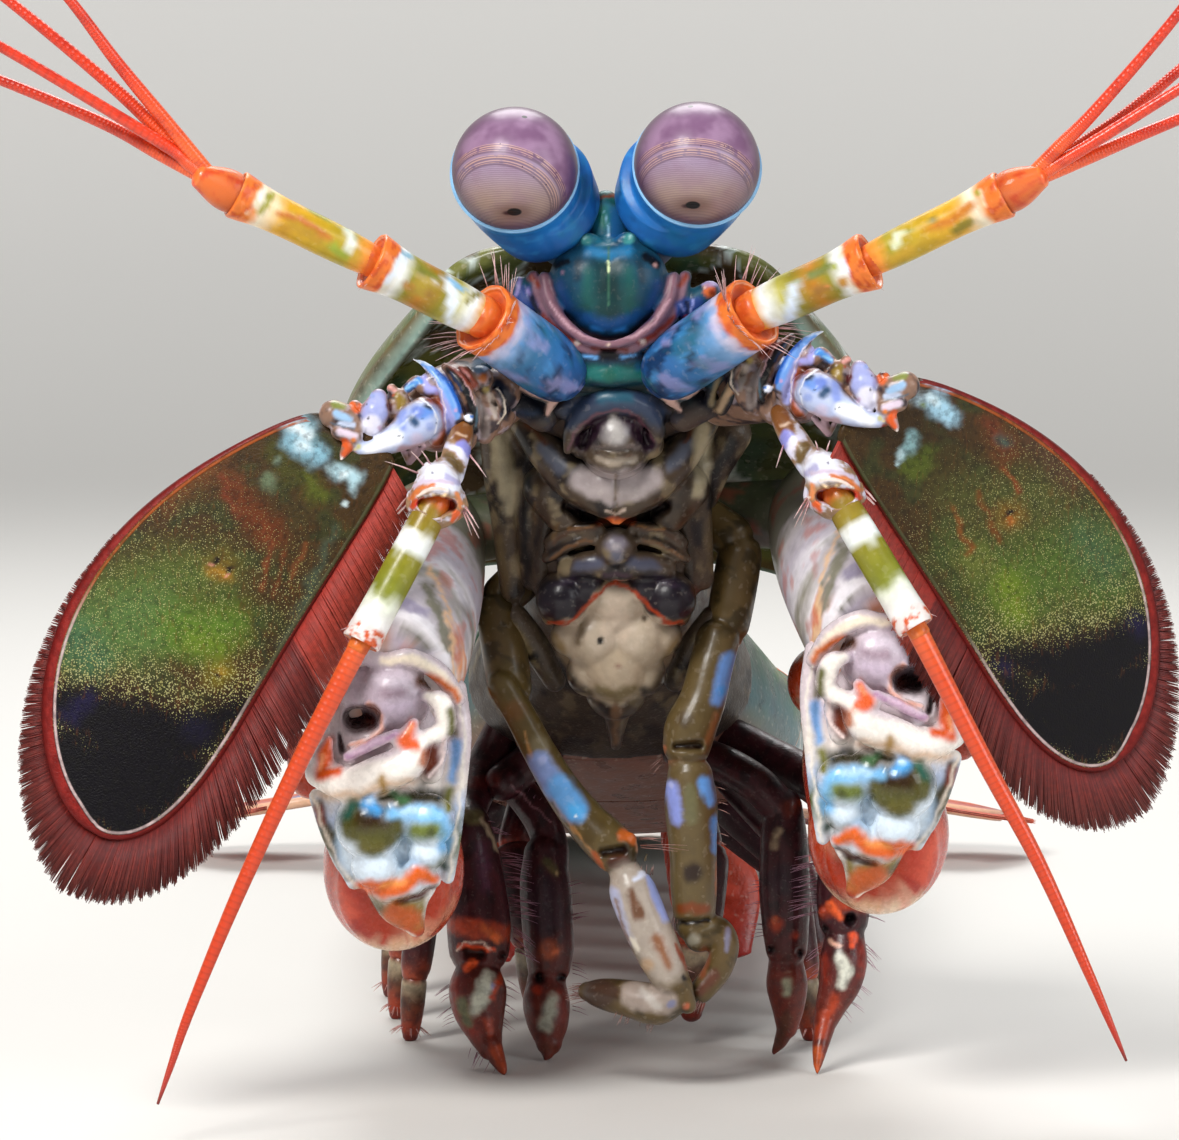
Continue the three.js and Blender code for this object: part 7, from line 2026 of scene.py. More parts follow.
LIMB_FORMS = {
    "right": {
        3: [
            (269, 99, 26, 1.3, 180, 280, 24.4, 1.35, 110, 440, 21.5, 1.25, 118, 520, 19.6, 1.45,
                132, 640, 19.2, 1.72, 146, 780, 18.7, 1.92, 155, 900, 18.2, 2.02, 156, 985, 17.9, 1.95),
            (118, 1060, 16.8, 0.62), (90, 1010, 17.4, 0.6), (210, 985, 17.2, 0.35, 215, 1040, 17.3, 0.3),
            (150, 1060, 17.6, 1.3, 150, 1150, 17.0, 1.8, 158, 1240, 16.6, 1.66, 180, 1330, 15.9, 1.15,
                200, 1390, 15.4, 0.8),
            (205, 1380, 15.2, 0.7, 232, 1440, 14.7, 0.5, 252, 1480, 14.2, 0.3, 258, 1494, 13.9, 0.12),
            (215, 1150, 16.2, 0.7),
        ],
        4: [
            (430, 185, 24.2, 1.25, 300, 290, 23.6, 1.2, 250, 330, 22.6, 1.2),
            (100, 330, 24.6, 0.7, 200, 305, 24.4, 0.95, 300, 350, 24.0, 1.05, 400, 470, 23.2, 1.15,
                440, 580, 22.6, 1.15, 440, 660, 22, 1.2),
            (415, 620, 22, 1.3, 420, 720, 21.8, 1.6, 428, 850, 21.6, 1.66, 436, 980, 21.3, 1.6,
                436, 1060, 21.1, 1.4),
            (385, 1160, 20.2, 0.6),
            (425, 1130, 20.9, 1.25, 425, 1210, 20.6, 1.5, 432, 1300, 20.2, 1.3, 436, 1370, 19.8, 0.85),
            (436, 1370, 19.8, 0.7, 430, 1415, 19.3, 0.42, 422, 1436, 19.0, 0.15),
        ],
    },
    "left": {
        3: [
            (1104, 119, 26.8, 1.3, 1300, 220, 25.6, 1.35, 1500, 330, 23.4, 1.4, 1590, 430, 20.4, 1.3,
                1612, 540, 19.1, 1.45, 1614, 660, 18.8, 1.6, 1614, 780, 18.5, 1.7, 1614, 870, 18.2, 1.6),
            (1652, 945, 17.2, 0.5, 1652, 985, 17.2, 0.4), (1540, 850, 17.6, 0.5),
            (1620, 950, 17.9, 1.25, 1614, 1040, 17.5, 1.5, 1600, 1130, 17.1, 1.35, 1565, 1220, 16.6, 1.0,
                1540, 1290, 16.2, 0.75),
            (1545, 1280, 16.2, 0.7, 1524, 1370, 15.3, 0.55, 1512, 1450, 14.6, 0.32,
                1509, 1490, 14.2, 0.12),
        ],
        4: [
            (957, 197, 24.2, 1.2, 1120, 250, 23.0, 1.2, 1260, 330, 21.8, 1.2, 1350, 420, 21.8, 1.2),
            (1372, 430, 21.9, 1.25, 1376, 560, 21.8, 1.5, 1378, 750, 21.7, 1.62, 1382, 900, 21.6, 1.5,
                1386, 990, 21.5, 1.35),
            (1420, 1020, 20.8, 0.55),
            (1384, 1060, 21.5, 1.15, 1388, 1140, 21.5, 1.32, 1392, 1230, 21.5, 1.05,
                1388, 1310, 21.5, 0.7),
            (1386, 1310, 21.5, 0.6, 1360, 1370, 21.6, 0.42, 1335, 1408, 21.6, 0.18),
        ],
    },
}

LIMB_CUTS = [
    (0.9, 22, (112, 1012, 14, 165, 1016, 16)), (0.8, 16, (247, 1024, 10)), (0.8, 18, (400, 1112, 12)),
    (0.8, 18, (488, 1112, 10)), (0.9, 18, (1640, 880, 18)), (0.7, 14, (1542, 914, 8)),
    (0.8, 18, (1322, 1000, 10)), (0.8, 18, (1440, 1012, 8)),
]

LIMB_STROKES = [
    # The purple 52243c stroke on the maroon segment is a painted highlight.
    ("52243c", 24, (165, 590, 24, 190, 740, 28)), ("6c6440", 16, (90, 450, 24, 140, 470, 30)),
    ("b09c80", 8, (165, 475, 8, 200, 530, 8, 228, 600, 7)), ("4c1820", 20, (220, 700, 20, 260, 860, 20)),
    ("a83a1a", 22, (50, 900, 30, 150, 920, 40, 265, 930, 30)),
    ("dc6428", 12, (180, 915, 18, 235, 960, 14)), ("e8542c", 9, (80, 985, 10, 215, 1000, 8)),
    ("e4c4b0", 4, (70, 1000, 3, 100, 972, 3, 170, 972, 3, 205, 1000, 3)),
    # The dark 2a0c0a strokes are painted shade in the carved hollows at the joint.
    ("2a0c0a", 14, (112, 1016, 20, 165, 1018, 20)), ("2a0c0a", 12, (247, 1026, 12)),
    ("d85426", 9, (108, 1072, 20, 135, 1048, 16)),
    ("8a2818", 22, (50, 1110, 20, 70, 1240, 20, 140, 1340, 24)),
    ("b8401c", 10, (245, 1100, 14, 220, 1160, 16)),
    ("c4c6b4", 16, (190, 1110, 28, 162, 1190, 36, 140, 1240, 24)), ("9a9ac4", 8, (208, 1145, 10)),
    ("b03a1c", 9, (208, 1190, 12)), ("a03a1c", 10, (190, 1280, 18, 202, 1330, 14)),
    ("6a6a48", 14, (85, 1210, 20, 110, 1290, 20)), ("a84018", 14, (222, 1400, 24, 252, 1480, 20)),
    # The 5a1a18 stroke is a painted highlight on the arch.
    ("e06a50", 5, (200, 1300, 5)), ("5a1a18", 20, (120, 330, 20, 220, 320, 20)),
    ("9a6a74", 4, (285, 340, 3, 370, 420, 3, 440, 490, 3)), ("5c5430", 14, (430, 650, 20, 465, 690, 12)),
    ("a88c60", 7, (470, 690, 8)), ("301020", 24, (420, 760, 60, 430, 880, 60)),
    # The near-black 12050a strokes are painted shade in the carved hollows at the joints.
    ("9c4420", 22, (440, 1000, 40)), ("c86034", 10, (460, 1010, 14)), ("12050a", 10, (400, 1112, 20)),
    ("12050a", 9, (488, 1112, 15)), ("a03018", 12, (385, 1160, 18)),
    ("7a2418", 16, (480, 1180, 20, 480, 1280, 16)), ("acac9a", 18, (450, 1200, 24, 424, 1300, 30)),
    ("6a3020", 16, (436, 1390, 30)), ("7a7250", 8, (1562, 420, 12, 1600, 400, 10)),
    ("c4b4a0", 4, (1546, 460, 4, 1535, 520, 4)), ("4a2038", 24, (1610, 560, 30, 1615, 680, 30)),
    ("a83a1a", 20, (1530, 850, 18, 1600, 810, 28, 1690, 830, 20)),
    # The near-black 12050a strokes are painted shade in the carved hollows at the joints.
    ("e8602c", 12, (1560, 815, 14, 1600, 870, 14)), ("12050a", 9, (1640, 880, 28)),
    ("12050a", 8, (1542, 915, 13)), ("e0542c", 9, (1652, 940, 16, 1652, 982, 12)),
    ("dcaa94", 6, (1560, 960, 7, 1600, 990, 7)), ("8a2818", 20, (1690, 980, 16, 1690, 1100, 14)),
    ("8a2a18", 20, (1530, 1040, 20, 1540, 1120, 14)),
    ("d4d6c8", 14, (1600, 1030, 22, 1625, 1080, 28, 1604, 1140, 18)),
    ("a03818", 16, (1575, 1200, 24, 1520, 1330, 24)), ("b8501c", 12, (1510, 1400, 20, 1508, 1480, 16)),
    ("6a281c", 22, (1400, 430, 34)), ("9c3c20", 14, (1450, 410, 18)),
    ("a08c70", 14, (1352, 530, 14, 1334, 590, 10)), ("2c0e1c", 24, (1380, 720, 70)),
    # The near-black 12050a strokes are painted shade in the carved hollows at the joints.
    ("983418", 20, (1345, 900, 26)), ("c05428", 10, (1340, 880, 12)), ("12050a", 9, (1322, 1000, 15)),
    ("12050a", 9, (1440, 1012, 13)), ("8a2c18", 14, (1420, 940, 16)),
    ("98987e", 14, (1390, 1110, 20, 1388, 1170, 16)), ("6a2418", 16, (1340, 1100, 14, 1440, 1100, 14)),
    ("5a3020", 16, (1388, 1270, 24, 1350, 1380, 20)),
]

LIMB_BRISTLES = {
    "right": [
        (240, 590, 285, 860, 18.6, 115, 22, 30), (292, 900, 300, 1010, 17.6, 90, 60, 12),
        (170, 480, 215, 540, 19.2, 70, 10, 8), (30, 650, 20, 900, 18.4, -60, 20, 12),
        (500, 700, 530, 900, 21.2, 70, -15, 12), (30, 1100, 60, 1300, 17, -60, 40, 10),
        (270, 1100, 240, 1300, 16.6, 60, 40, 10), (530, 1050, 530, 1250, 20.8, 60, 20, 8),
        (300, 350, 440, 480, 23, 20, -40, 10), (120, 1390, 230, 1460, 15.0, -20, 60, 8),
    ],
    "left": [
        (1515, 600, 1505, 860, 18.6, -110, 26, 30), (1524, 470, 1518, 580, 19.0, -70, -8, 8),
        (1700, 700, 1716, 880, 18.0, 60, 30, 10), (1705, 930, 1700, 1060, 17.6, 60, 60, 8),
        (1290, 700, 1300, 950, 21.4, -70, 10, 12), (1520, 960, 1530, 1100, 17.4, -60, 40, 8),
        (1680, 1100, 1600, 1260, 16.8, 60, 50, 8), (1470, 640, 1476, 860, 21.4, 60, -10, 8),
    ],
}

CLEANER_BRISTLES = {
    "right": [
        (795, 545, 800, 560, 7.6, 125, 6, 3), (800, 575, 804, 592, 7.6, 215, 32, 3),
        (700, 700, 860, 700, 7.4, 10, -50, 8), (880, 900, 960, 1080, 7.2, 60, 10, 8),
        (590, 1130, 600, 1200, 10.4, -90, 10, 26), (700, 1240, 860, 1290, 8.0, -20, 50, 12),
    ],
    "left": [
        (890, 215, 895, 255, 9.0, -60, 50, 5), (1105, 300, 1112, 600, 8.8, 50, 20, 6),
        (930, 860, 1100, 860, 8.8, 0, 50, 10), (1030, 1150, 1060, 1190, 8.4, -30, 70, 20),
    ],
}


def make_cleaner(name, joints, bristles):
    shape = Shape()
    make_limb(shape, joints["cleaner"][:3], [1.35, 1.4], CLEANER_BANDS, 101, tip=0.9)
    modelled(shape, LEG_SHEET, CLEANER_FORMS[name])
    shape = fused(shape, fineness=0.11, smoothing=3)
    carved(shape, LEG_SHEET, CLEANER_CUTS[name])

    def cleaner_paint(spots, normals):
        colours = patched(plain("5a4828", spots), spots, 2.0, 102, "3c3018", 1, 0, 0.8)
        return stroked(LEG_SHEET, spots, facing_front(normals), colours, CLEANER_STROKES[name], waver=5,
                       grain=0.9, seed=103)

    repaint(shape, cleaner_paint)
    finish_piece(shape, f"cleaning_limb_{name}", SMOOTH_FINISH, [f"maxilliped_1_{name}"])
    sheet_bristles(bristles, LEG_SHEET, CLEANER_BRISTLES[name], 110, width=0.03,
                   colours=("8a5a50", "b89088"))


def make_small_maxilliped(name, number, joints, bristles):
    shape = Shape()
    if number == 5:
        make_limb(shape, joints["maxilliped_5"], [1.2, 1.6, 1.4], LEG_BANDS, 135, tip=0.6,
                  upward=(1, 0.2, 0))
    else:
        modelled(shape, LEG_SHEET, LIMB_FORMS[name][number])
        shape = fused(shape, fineness=0.12, smoothing=3)
        carved(shape, LEG_SHEET, LIMB_CUTS)

        def limb_paint(spots, normals):
            colours = patched(plain("3c121a", spots), spots, 1.8, 132, "260a12", 1, 0, 0.8)
            colours = over(colours, smooth_step(10, 2, spots[:, 2]) * 0.7, "7a2c18")
            return stroked(LEG_SHEET, spots, facing_front(normals), colours, LIMB_STROKES, waver=5,
                           grain=0.9, seed=133)

        repaint(shape, limb_paint)
    if number == 3:
        sheet_bristles(bristles, LEG_SHEET, LIMB_BRISTLES[name], 136, width=0.026,
                       colours=("9a5a68", "b888a0"))
    finish_piece(shape, f"maxilliped_{number}_shell_{name}", DARK_FINISH,
                 [f"maxilliped_{number}_{name}"])


# Where each walking leg leaves the body, as a station, and how far out its knee stands
LEG_ROWS = [(3.55, 12.6), (4.5, 13.8), (5.5, 14.6)]


def make_walking_leg(name, number, side, bristles):
    station, reach = LEG_ROWS[number - 1]
    root = body_point(station, side * 7.4, 0.9)
    knee = np.array([side * (reach - 1.2), root[1] - 0.8, root[2] - 4.4])
    ankle = np.array([side * reach, root[1] - 1.6, 4.2])
    foot = np.array([side * (reach + 0.3), root[1] - 1.4, 0.35])
    shape = Shape()
    make_limb(shape, [root, knee, ankle, foot], [1.35, 1.05, 0.85], LEG_BANDS, 150 + number, tip=0.7)
    finish_piece(shape, f"walking_leg_{number}_shell_{name}", DARK_FINISH,
                 [f"walking_leg_{number}_{name}"])
    fan_bristles(bristles, foot + np.array([0, 0, 0.6]), foot - ankle, 0.6, 26, 0.9, 1.4, 160 + number,
                 colours=("a8605c", "d8a8a0"))


def mouth_paint(seed):
    def paint(spots, normals):
        colours = patched(plain("4c3e30", spots), spots, 3.0, seed, "1e1614", 1, 0.0, 0.8)
        colours = patched(colours, spots, 2.2, seed + 1, "8a7a5c", 0.7, 0.3, 0.9)
        # Painted shade: below a height of 27 mm the paint darkens to near black.
        colours = over(colours, 0.85 * smooth_step(27, 18, spots[:, 2]), "20100e")
        return stroked(MOUTH_SHEET, spots, facing_front(normals), colours, MOUTH_STROKES, waver=6,
                       grain=1.2, seed=213)
    return paint


def make_mouth():
    for part, name in (("labrum", "labrum_shell"), ("mandibles", "mandible_shells"),
                       ("maxillae", "maxillae_shells")):
        shape = Shape()
        modelled(shape, MOUTH_SHEET, MOUTH_FORMS[part])
        shape = fused(shape, fineness=0.14, smoothing=4)
        carved(shape, MOUTH_SHEET, MOUTH_CUTS)
        repaint(shape, mouth_paint(201))
        finish_piece(shape, name, SMOOTH_FINISH, [part])
    trunk = Shape()
    body_tube(trunk, [(0.5, 1, 2), (1, 1, 2), (1.6, 1, 2), (2.3, 1, 2), (THORAX_ENDS[0], 1, 2)], 0.85, None)
    modelled(trunk, MOUTH_SHEET, TRUNK_FORMS)
    trunk = fused(trunk, fineness=0.22, smoothing=4)
    repaint(trunk, mouth_paint(205))
    finish_piece(trunk, "trunk_skin", FLESH_FINISH, ["trunk"])


# The carapace
CARAPACE_ARCH = 1.46


def carapace_at(u, t, lift):
    side = 2 * u - 1
    front = 0.16 * np.abs(side) ** 2.5
    rear = CARAPACE_END - 0.14 * (1 - side ** 2) - 0.1 * np.abs(side) ** 8
    q = mix(front, rear, t)
    back = along_line(BACK, q / LAST_STATION) * np.array([0, 1, 1])
    down = unit(along_line(BELLY, q / LAST_STATION) - back)
    share = q / CARAPACE_END
    half = along_line([[10], [16.6], [17.4], [15.6]], share)[:, 0]
    drop = along_line([[2.8], [6.6], [8.4], [8]], share)[:, 0] * np.abs(side) ** 3.6
    spots = back + down * drop[:, None]
    spots[:, 0] = half * np.sin(side * CARAPACE_ARCH) / math.sin(CARAPACE_ARCH)
    inward = down.copy()
    inward[:, 0] = -np.sign(side) * 1.6 * np.abs(side) ** 3
    return spots + unit(inward) * (SHELL / 2 - lift)[:, None], side, t


def make_carapace():
    shape = Shape()

    def at(u, t, lift):
        spots, side, share = carapace_at(u, t, lift)
        colours = patched(plain("5c6630", u), spots, 7, 221, "3f5a3a", 1, 0.0, 0.7)
        colours = patched(colours, spots, 5, 222, "7a7a34", 0.7, 0.2, 0.8)
        patch = ripple(spots, 6.0, 223, 2) + 0.9 * np.abs(side) - 0.9
        colours = over(colours, smooth_step(-0.12, -0.02, patch), "d2e0d8")
        colours = over(colours, smooth_step(0.02, 0.12, patch), "54401e")
        edge = np.minimum(np.minimum(1 - np.abs(side), 1 - share) * 14, 1)
        colours = over(colours, smooth_step(0.95, 0.5, edge), "665026")
        colours = over(colours, smooth_step(0.4, 0.12, edge), "9cbcb0")
        return spots, np.stack([u, t], axis=1), colours, {}

    plate(shape, 90, 70, at, SHELL, edge=0.02)
    finish_piece(shape, "carapace_shell", PLATE_FINISH, ["carapace"])


# Thorax, abdomen and swimmerets
def ring_paint(share_red, seed):
    def paint(u, share, spots):
        colours = patched(plain("2f5a3c", u), spots, 5, seed, "56702f", 1, -0.1, 0.8)
        colours = patched(colours, spots, 3.2, seed + 1, "1c3a30", 0.8, 0.3, 0.8)
        height = np.sin(2 * math.pi * u)
        low = smooth_step(-0.2, -0.7, height)
        colours = over(colours, smooth_step(0.25, -0.15, height) * (1 - low) * 0.6, "5a7a8a")
        colours = over(colours, low, "84594c")
        colours = over(colours, smooth_step(share_red - 0.03, share_red + 0.01, share) * (1 - low),
                       "b83a18")
        return over(colours, smooth_step(0.96, 0.99, share) * (1 - low), "e0a060")
    return paint


# How far from the midline the spines on the sixth ring's rear edge stand
REAR_SPINES = (2.6, 6.6, 10.2)


def make_body_rings():
    for number in (6, 7, 8):
        start, end = THORAX_ENDS[number - 6] + 0.02, THORAX_ENDS[number - 5]
        shape = Shape()
        stations = [(start, 0.95, 0.0), (mix(start, end, 0.35), 1, 0), (end - 0.06, 1.03, 0),
                    (end + 0.01, 1.035, -0.1)]
        body_tube(shape, stations, 0.85, ring_paint(0.9, 230 + number))
        finish_piece(shape, f"thorax_shell_{number}", PLATE_FINISH, [f"thorax_{number}"])
    for number in range(1, 7):
        start, end = ABDOMEN_ENDS[number - 1] + 0.012, ABDOMEN_ENDS[number]
        shape = Shape()
        stations = [(start, 0.96, 0.0), (mix(start, end, 0.3), 0.995, 0), (mix(start, end, 0.75), 1.02, 0),
                    (end - 0.02, 1.035, 0), (end + 0.012, 1.04, -0.1)]
        body_tube(shape, stations, 0.8, ring_paint(0.9, 240 + number))
        for side in (-1, 1):
            if number < 6:
                middle = mix(start, end, 0.5)
                root = body_point(middle, side * 6.2, 0.86)
                foot = body_point(middle, side * 8.4, 1)
                foot = np.array([foot[0], foot[1] - 3.4, 1.6])
                stations = [(root, (1.2, 0.8)), (mix(root, foot, 0.55), (3.2, 0.7)), (foot, (1.6, 0.45))]
                paint = end_to_end((0, "c8a890"), (0.3, "c8482c"), (1, "a82418"))
                tube(shape, stations, sides=32, rings=30, upward=(0, -1, 0.4), paint=paint)
                continue
            for x in REAR_SPINES:
                root = body_point(end - 0.06, side * x, 0) + np.array([0, 0, -0.011 * x * x])
                tip = root + np.array([0.06 * side * x, 3.0, 0.5])
                stations = [(root - (tip - root) * 0.35, 0.45), (root, 0.75), (mix(root, tip, 0.6), 0.4),
                            (tip, 0.08)]
                paint = end_to_end((0, "3a5a34"), (0.5, "a85c28"), (1, "f0dcc0"))
                tube(shape, stations, sides=20, rings=24, paint=paint)
        finish_piece(shape, f"abdomen_shell_{number}", PLATE_FINISH, [f"abdomen_{number}"])


# The uropods' joints on the left side, and half the widths of their blades
UROPOD_ROOT = (11.2, 111.5, 7.2)
EXOPOD_KNEE = (21.6, 116.8, 5.8)
EXOPOD_TIP = (33.0, 121.8, 3.4)
ENDOPOD_ROOT = (11.9, 116.0, 4.6)
ENDOPOD_TIP = (19.2, 134.2, 1.5)
OUTER_HALVES = (3.6, 4.6)
INNER_HALF = 3.4
BLADE_SPINES = 9


def blade_axes(start, end, lean):
    start, end = vec(start), vec(end)
    run = unit(end - start)
    out = unit(vec(lean) - run * (vec(lean) @ run))
    return start, end, run, out, unit(np.cross(run, out))


def blade_half(half, t):
    return half * np.maximum(0.16, np.sin(math.pi * (0.14 + 0.84 * np.asarray(t, float))) ** 0.7)


def make_blade(shape, axes, half, colours_at):
    start, end, _, out, face = axes

    def at(u, t, lift):
        across = 2 * u - 1
        width = blade_half(half, t) * np.sqrt(np.clip(1 - np.maximum(0, (t - 0.86) / 0.14) ** 2, 0.02, 1))
        ridge = 0.16 * np.exp(-(across / 0.14) ** 2) * np.sign(lift) * smooth_step(1, 0.7, t)
        spots = mix(start, end, t[:, None]) + out * (across * width)[:, None] + face * (lift + ridge)[:,
                None]
        return spots, np.stack([u, t], axis=1), colours_at(across, t, spots), {}

    plate(shape, 40, 70, at, TAIL_FAN_THICK, edge=0.06)


def fringe_blade(fringe, axes, half, from_share, to_share, seed):
    """Hairs round a blade from one side, past its tip, to the other, as the solids' vanes stand."""
    start, end, run, out, face = axes
    draw = np.random.default_rng(seed)
    for lift in (0.12, -0.12, 0.0):
        count = 260
        turn = np.linspace(-from_share, to_share, count) + draw.uniform(-0.001, 0.001, count)
        t = 1 - np.abs(turn) ** 1.6
        ahead = np.cos(np.minimum(1, np.abs(turn) * 1.3) * math.pi / 2) * 0.85 + 0.15
        aside = np.sign(turn) * np.sqrt(1 - np.minimum(1, ahead) ** 2)
        way = unit(run * ahead[:, None] + out * aside[:, None])
        edge = mix(start, end, t[:, None]) + out * (np.clip(turn / 0.16, -1, 1) * blade_half(half, t)
                * 0.9)[:, None] + face * lift
        length = TAIL_FRINGE * draw.uniform(0.86, 1.0, count)[:, None]
        charts = np.stack([0.5 + 0.4 * np.sin(turn * 2) + 0.003 * seed, 0.5 + 0.4 * turn], axis=1) % 1
        fringe.add(edge - way * 0.7, edge + way * length, face * 0.03, 0.07, 0.045, face, charts, "a8281a",
                   "d86a50")


def make_uropods(name, side):
    sided = lambda spot: np.array([side * spot[0], spot[1], spot[2]])
    root, knee, tip = sided(UROPOD_ROOT), sided(EXOPOD_KNEE), sided(EXOPOD_TIP)
    lean = (side * 0.35, -0.94, 0)
    first, last = blade_axes(mix(root, knee, 0.1), mix(knee, tip, 0.1), lean), blade_axes(knee, tip, lean)
    inner = blade_axes(sided(ENDOPOD_ROOT), sided(ENDOPOD_TIP), (side * 0.9, -0.35, 0))

    def green_to_blue(across, t, spots):
        colours = banded(t, [(0, "3a5a34"), (0.5, "4a6a38"), (0.8, "2a5a8c"), (1, "24487c")])
        colours = patched(colours, spots, 2.4, 261, "20382c", 0.6, 0.1, 0.8)
        return over(colours, smooth_step(0.7, 0.95, np.abs(across)), "b8481c")

    def red_blade(across, t, spots):
        colours = banded(t, [(0, "2a4f86"), (0.22, "2f6aa8"), (0.34, "c8502a"), (0.7, "b02a18"),
                             (1, "8c1a12")])
        colours = patched(colours, spots, 2.0, 262, "7a1a14", 0.5, 0.1, 0.8)
        colours = over(colours, 0.8 * np.exp(-(across / 0.1) ** 2), "e0804a")
        return over(colours, smooth_step(0.8, 0.97, np.abs(across)), "e8b898")

    def root_paint(u, share, spots):
        return patched(plain("3a5a34", u), spots, 2, 263, "56702f", 1, 0, 0.8)

    shape = Shape()
    stations = [(mix(root, knee, -0.1), 1.7), (root, 2.1), (mix(root, knee, 0.3), (2.4, 1.7))]
    tube(shape, stations, sides=40, rings=24, paint=root_paint)
    make_blade(shape, first, OUTER_HALVES[0], green_to_blue)
    make_blade(shape, last, OUTER_HALVES[1], red_blade)
    for i in range(BLADE_SPINES):
        t = mix(0.3, 1.02, i / (BLADE_SPINES - 1))
        edge = mix(first[0], first[1], t) + first[3] * blade_half(OUTER_HALVES[0], t) * 0.86
        point = edge + first[3] * mix(1.3, 2.0, t) + first[2] * mix(0.6, 1.6, t)
        stations = [(edge, 0.42), (mix(edge, point, 0.5), 0.3), (point, 0.06)]
        tube(shape, stations, sides=16, rings=16, paint=end_to_end((0, "d8601c"), (1, "f0a860")))
    finish_piece(shape, f"uropod_outer_blades_{name}", SMOOTH_FINISH, [f"uropod_exopod_{name}"])
    shape = Shape()
    make_blade(shape, inner, INNER_HALF, red_blade)
    finish_piece(shape, f"uropod_inner_blade_{name}", SMOOTH_FINISH, [f"uropod_endopod_{name}"])
    fringe = Bristles()
    fringe_blade(fringe, last, OUTER_HALVES[1], 0.82, 0.75, 271)
    fringe_blade(fringe, inner, INNER_HALF, 0.8, 0.8, 272)
    fringe.finish(f"tail_fringe_{name}", "fringe", BRISTLE_FINISH)


# The telson with its keels and spines
def make_tail():
    shape = Shape()

    def telson_paint(u, share, spots):
        colours = patched(plain("3a5a34", u), spots, 4, 251, "6a6a2c", 1, -0.1, 0.8)
        colours = patched(colours, spots, 3, 252, "20302c", 1, 0.35, 0.7)
        return over(colours, smooth_step(0.9, 1.0, share), "d8843c")

    body_tube(shape, [(10.02, 0.94, 0), (10.25, 1, 0), (10.6, 1, 0), (10.9, 0.9, 0), (11, 0.7, 0)], 0.8,
              telson_paint)
    for x in (0, 4.2, -4.2):
        rise = 0.5 - 0.014 * x * x
        point = lambda q, lift: body_point(q, x * mix(1, 0.82, q - 10), 0) + np.array([0, 0, lift])
        stations = [(point(10.12, rise - 1.1), 0.8), (point(10.5, rise - 0.8), 0.9),
                    (point(10.9, rise - 1.2), 0.5)]
        tube(shape, stations, sides=24, rings=30, paint=telson_paint)
    for side in (-1, 1):
        for x, station, length in ((3.0, 10.93, 2.6), (7.0, 10.86, 2.4), (10.9, 10.62, 2.0)):
            root = body_point(station, side * x, 0.5)
            tip = root + np.array([side * 0.35 * length, length, -0.1 * length])
            root = root - np.array([0, 2, 0])
            stations = [(root, (1.9, 0.8)), (mix(root, tip, 0.5), (1.4, 0.7)), (tip, (0.2, 0.15))]
            paint = end_to_end((0, "3a5a34"), (0.6, "d8843c"), (1, "f0dcc0"))
            tube(shape, stations, sides=24, rings=24, paint=paint)
    finish_piece(shape, "telson_shell", PLATE_FINISH, ["telson"])


# Making every piece
bristles = Bristles()
scale_material = scale_finish("antennal scale")
EYES = {
    "right": ((0.211, 0.699, 0.684), -0.334, view_point(0.0, -0.714), view_point(0.16, 0.79)),
    "left": ((0.071, 0.631, 0.773), -0.198, view_point(-0.08, -0.69), view_point(-0.11, 0.885)),
}
for name, joints in JOINTS.items():
    make_eye(name, joints, *EYES[name])
    make_antennule(name, joints, bristles)
    make_antenna(name, joints, bristles)
    make_scale(name, joints, scale_material)
    make_fringe(name, joints)
    make_raptorial(name, joints)
    make_cleaner(name, joints, bristles)
    for number in (3, 4, 5):
        make_small_maxilliped(name, number, joints, bristles)
    for number in (1, 2, 3):
        make_walking_leg(name, number, joints["side"], bristles)
    make_uropods(name, joints["side"])
make_head()
make_mouth()
make_carapace()
make_body_rings()
make_tail()
bristles.finish("bristles_of_the_limbs", "setae", BRISTLE_FINISH)


# Floor, light and camera, in metres
FLOOR_HALF = 3
FLOOR_NEAR = -1.2
FLOOR_LENGTH = 1.9
BEND = 0.9
STAGE_LENGTH = 4.6


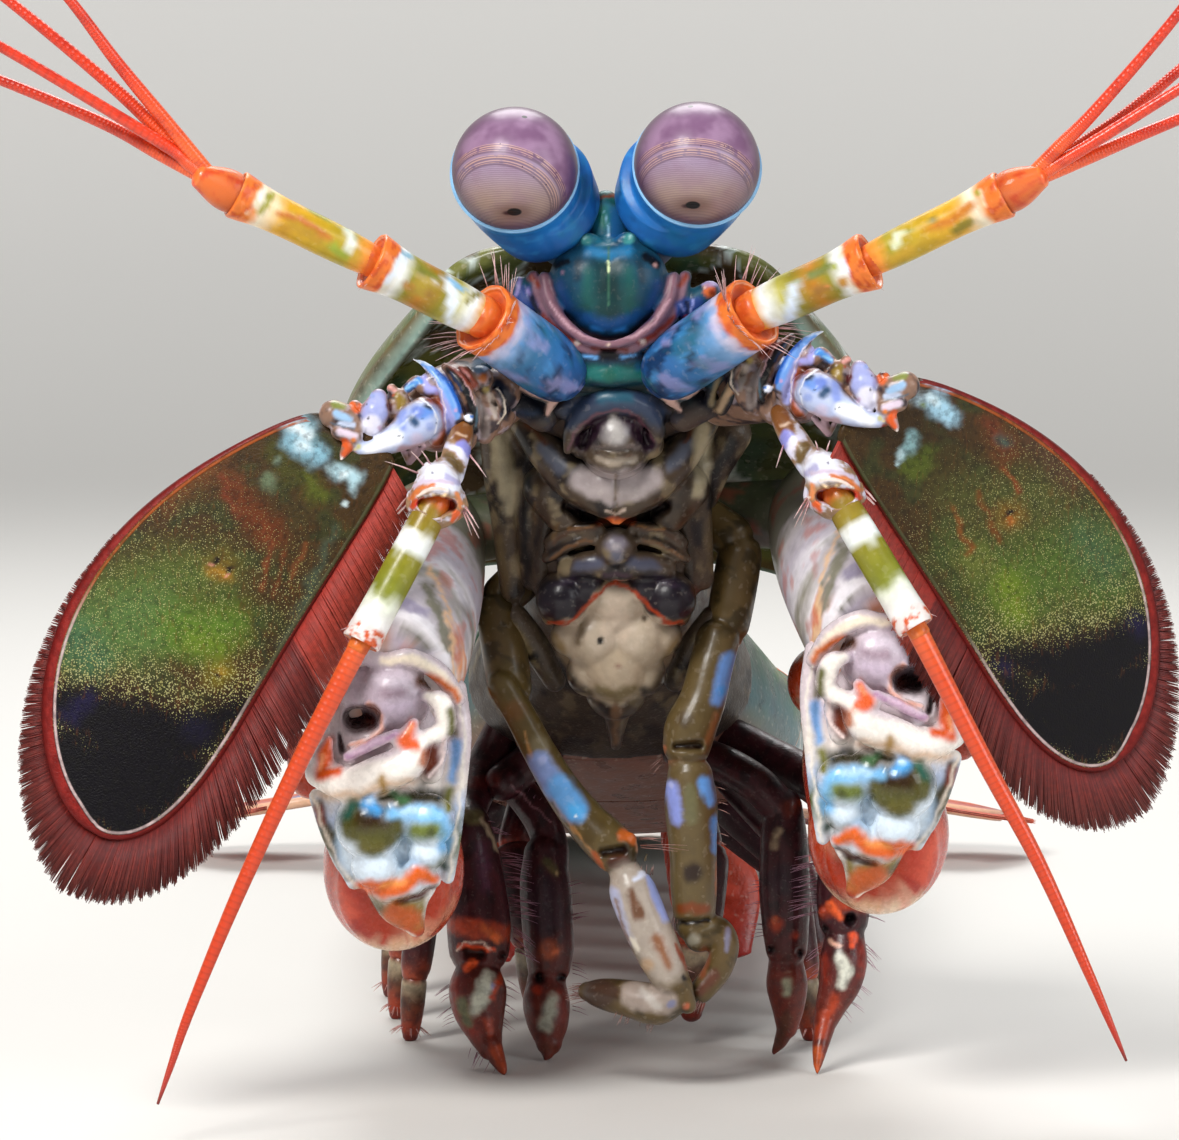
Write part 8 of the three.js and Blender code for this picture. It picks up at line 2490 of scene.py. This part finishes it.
def make_stage():
    """A pale floor that bends up into a backdrop far behind."""
    shape = Shape()

    def at(u, t):
        across = mix(-FLOOR_HALF, FLOOR_HALF, u)
        run = t * STAGE_LENGTH
        turn = np.clip((run - FLOOR_LENGTH) / BEND, 0, math.pi / 2)
        straight = np.minimum(run, FLOOR_LENGTH)
        along = straight + BEND * np.sin(turn) + FLOOR_NEAR
        up = BEND * (1 - np.cos(turn)) + np.maximum(run - FLOOR_LENGTH - BEND * math.pi / 2, 0)
        spots = np.stack([across, along, up], axis=1)
        return spots, np.stack([u, t], axis=1), plain("d2d0cc", u), {}

    surface(shape, 2, 92, at)
    mesh = bpy.data.meshes.new("floor")
    shape.bm.to_mesh(mesh)
    shape.bm.free()
    mesh.shade_smooth()
    floor = bpy.data.objects.new("floor", mesh)
    bpy.context.scene.collection.objects.link(floor)
    pale = Finish("pale floor", roughness=0.8, coat=0.0)
    pale.colour("d2d0cc")
    spot = pale.node("ShaderNodeVectorMath", operation="LENGTH")
    pale.feed(spot.inputs[0], pale.where)
    far = pale.step(spot.outputs["Value"], 0.3, 1.5, (0.0, 0.72))
    pale.feed(pale.shader.inputs["Emission Strength"], far)
    pale.shader.inputs["Emission Color"].default_value = (*tint("dcdad6"), 1)
    mesh.materials.append(pale.material)


def make_light(name, place, target, size, power, colour):
    light = bpy.data.lights.new(name, "AREA")
    light.size, light.energy, light.color = size, power, colour
    lamp = bpy.data.objects.new(name, light)
    lamp.location = place
    lamp.rotation_mode = "QUATERNION"
    lamp.rotation_quaternion = (Vector(target) - Vector(place)).to_track_quat("-Z", "Y")
    bpy.context.scene.collection.objects.link(lamp)


# The photograph's frame: FOCAL of its pixels across a sensor of 36 mm
LENS = 155.725


def make_camera():
    camera = bpy.data.cameras.new("camera")
    camera.lens = LENS
    camera.sensor_width = 36
    camera.clip_start, camera.clip_end = 0.01, 10
    lens = bpy.data.objects.new("camera", camera)
    lens.location = TO_FRAME @ Vector(CAMERA_PLACE)
    lens.rotation_euler = (math.pi / 2 - CAMERA_PITCH, 0, 0)
    bpy.context.scene.collection.objects.link(lens)
    bpy.context.scene.camera = lens


make_stage()
make_light("key", (-0.22, -0.42, 0.42), (0, -0.05, 0.03), 0.2, 3.4, (1, 0.98, 0.95))
make_light("fill", (0.42, -0.36, 0.22), (0, -0.05, 0.03), 0.3, 1.3, (0.95, 0.98, 1))
make_light("top", (0, 0.25, 0.45), (0, 0, 0.02), 0.3, 2.2, (1, 1, 1))
world = bpy.data.worlds.new("studio")
world.use_nodes = True
world.node_tree.nodes["Background"].inputs["Color"].default_value = (0.82, 0.85, 0.9, 1)
world.node_tree.nodes["Background"].inputs["Strength"].default_value = 0.22
bpy.context.scene.world = world
bpy.context.scene.view_settings.view_transform = "Standard"
make_camera()
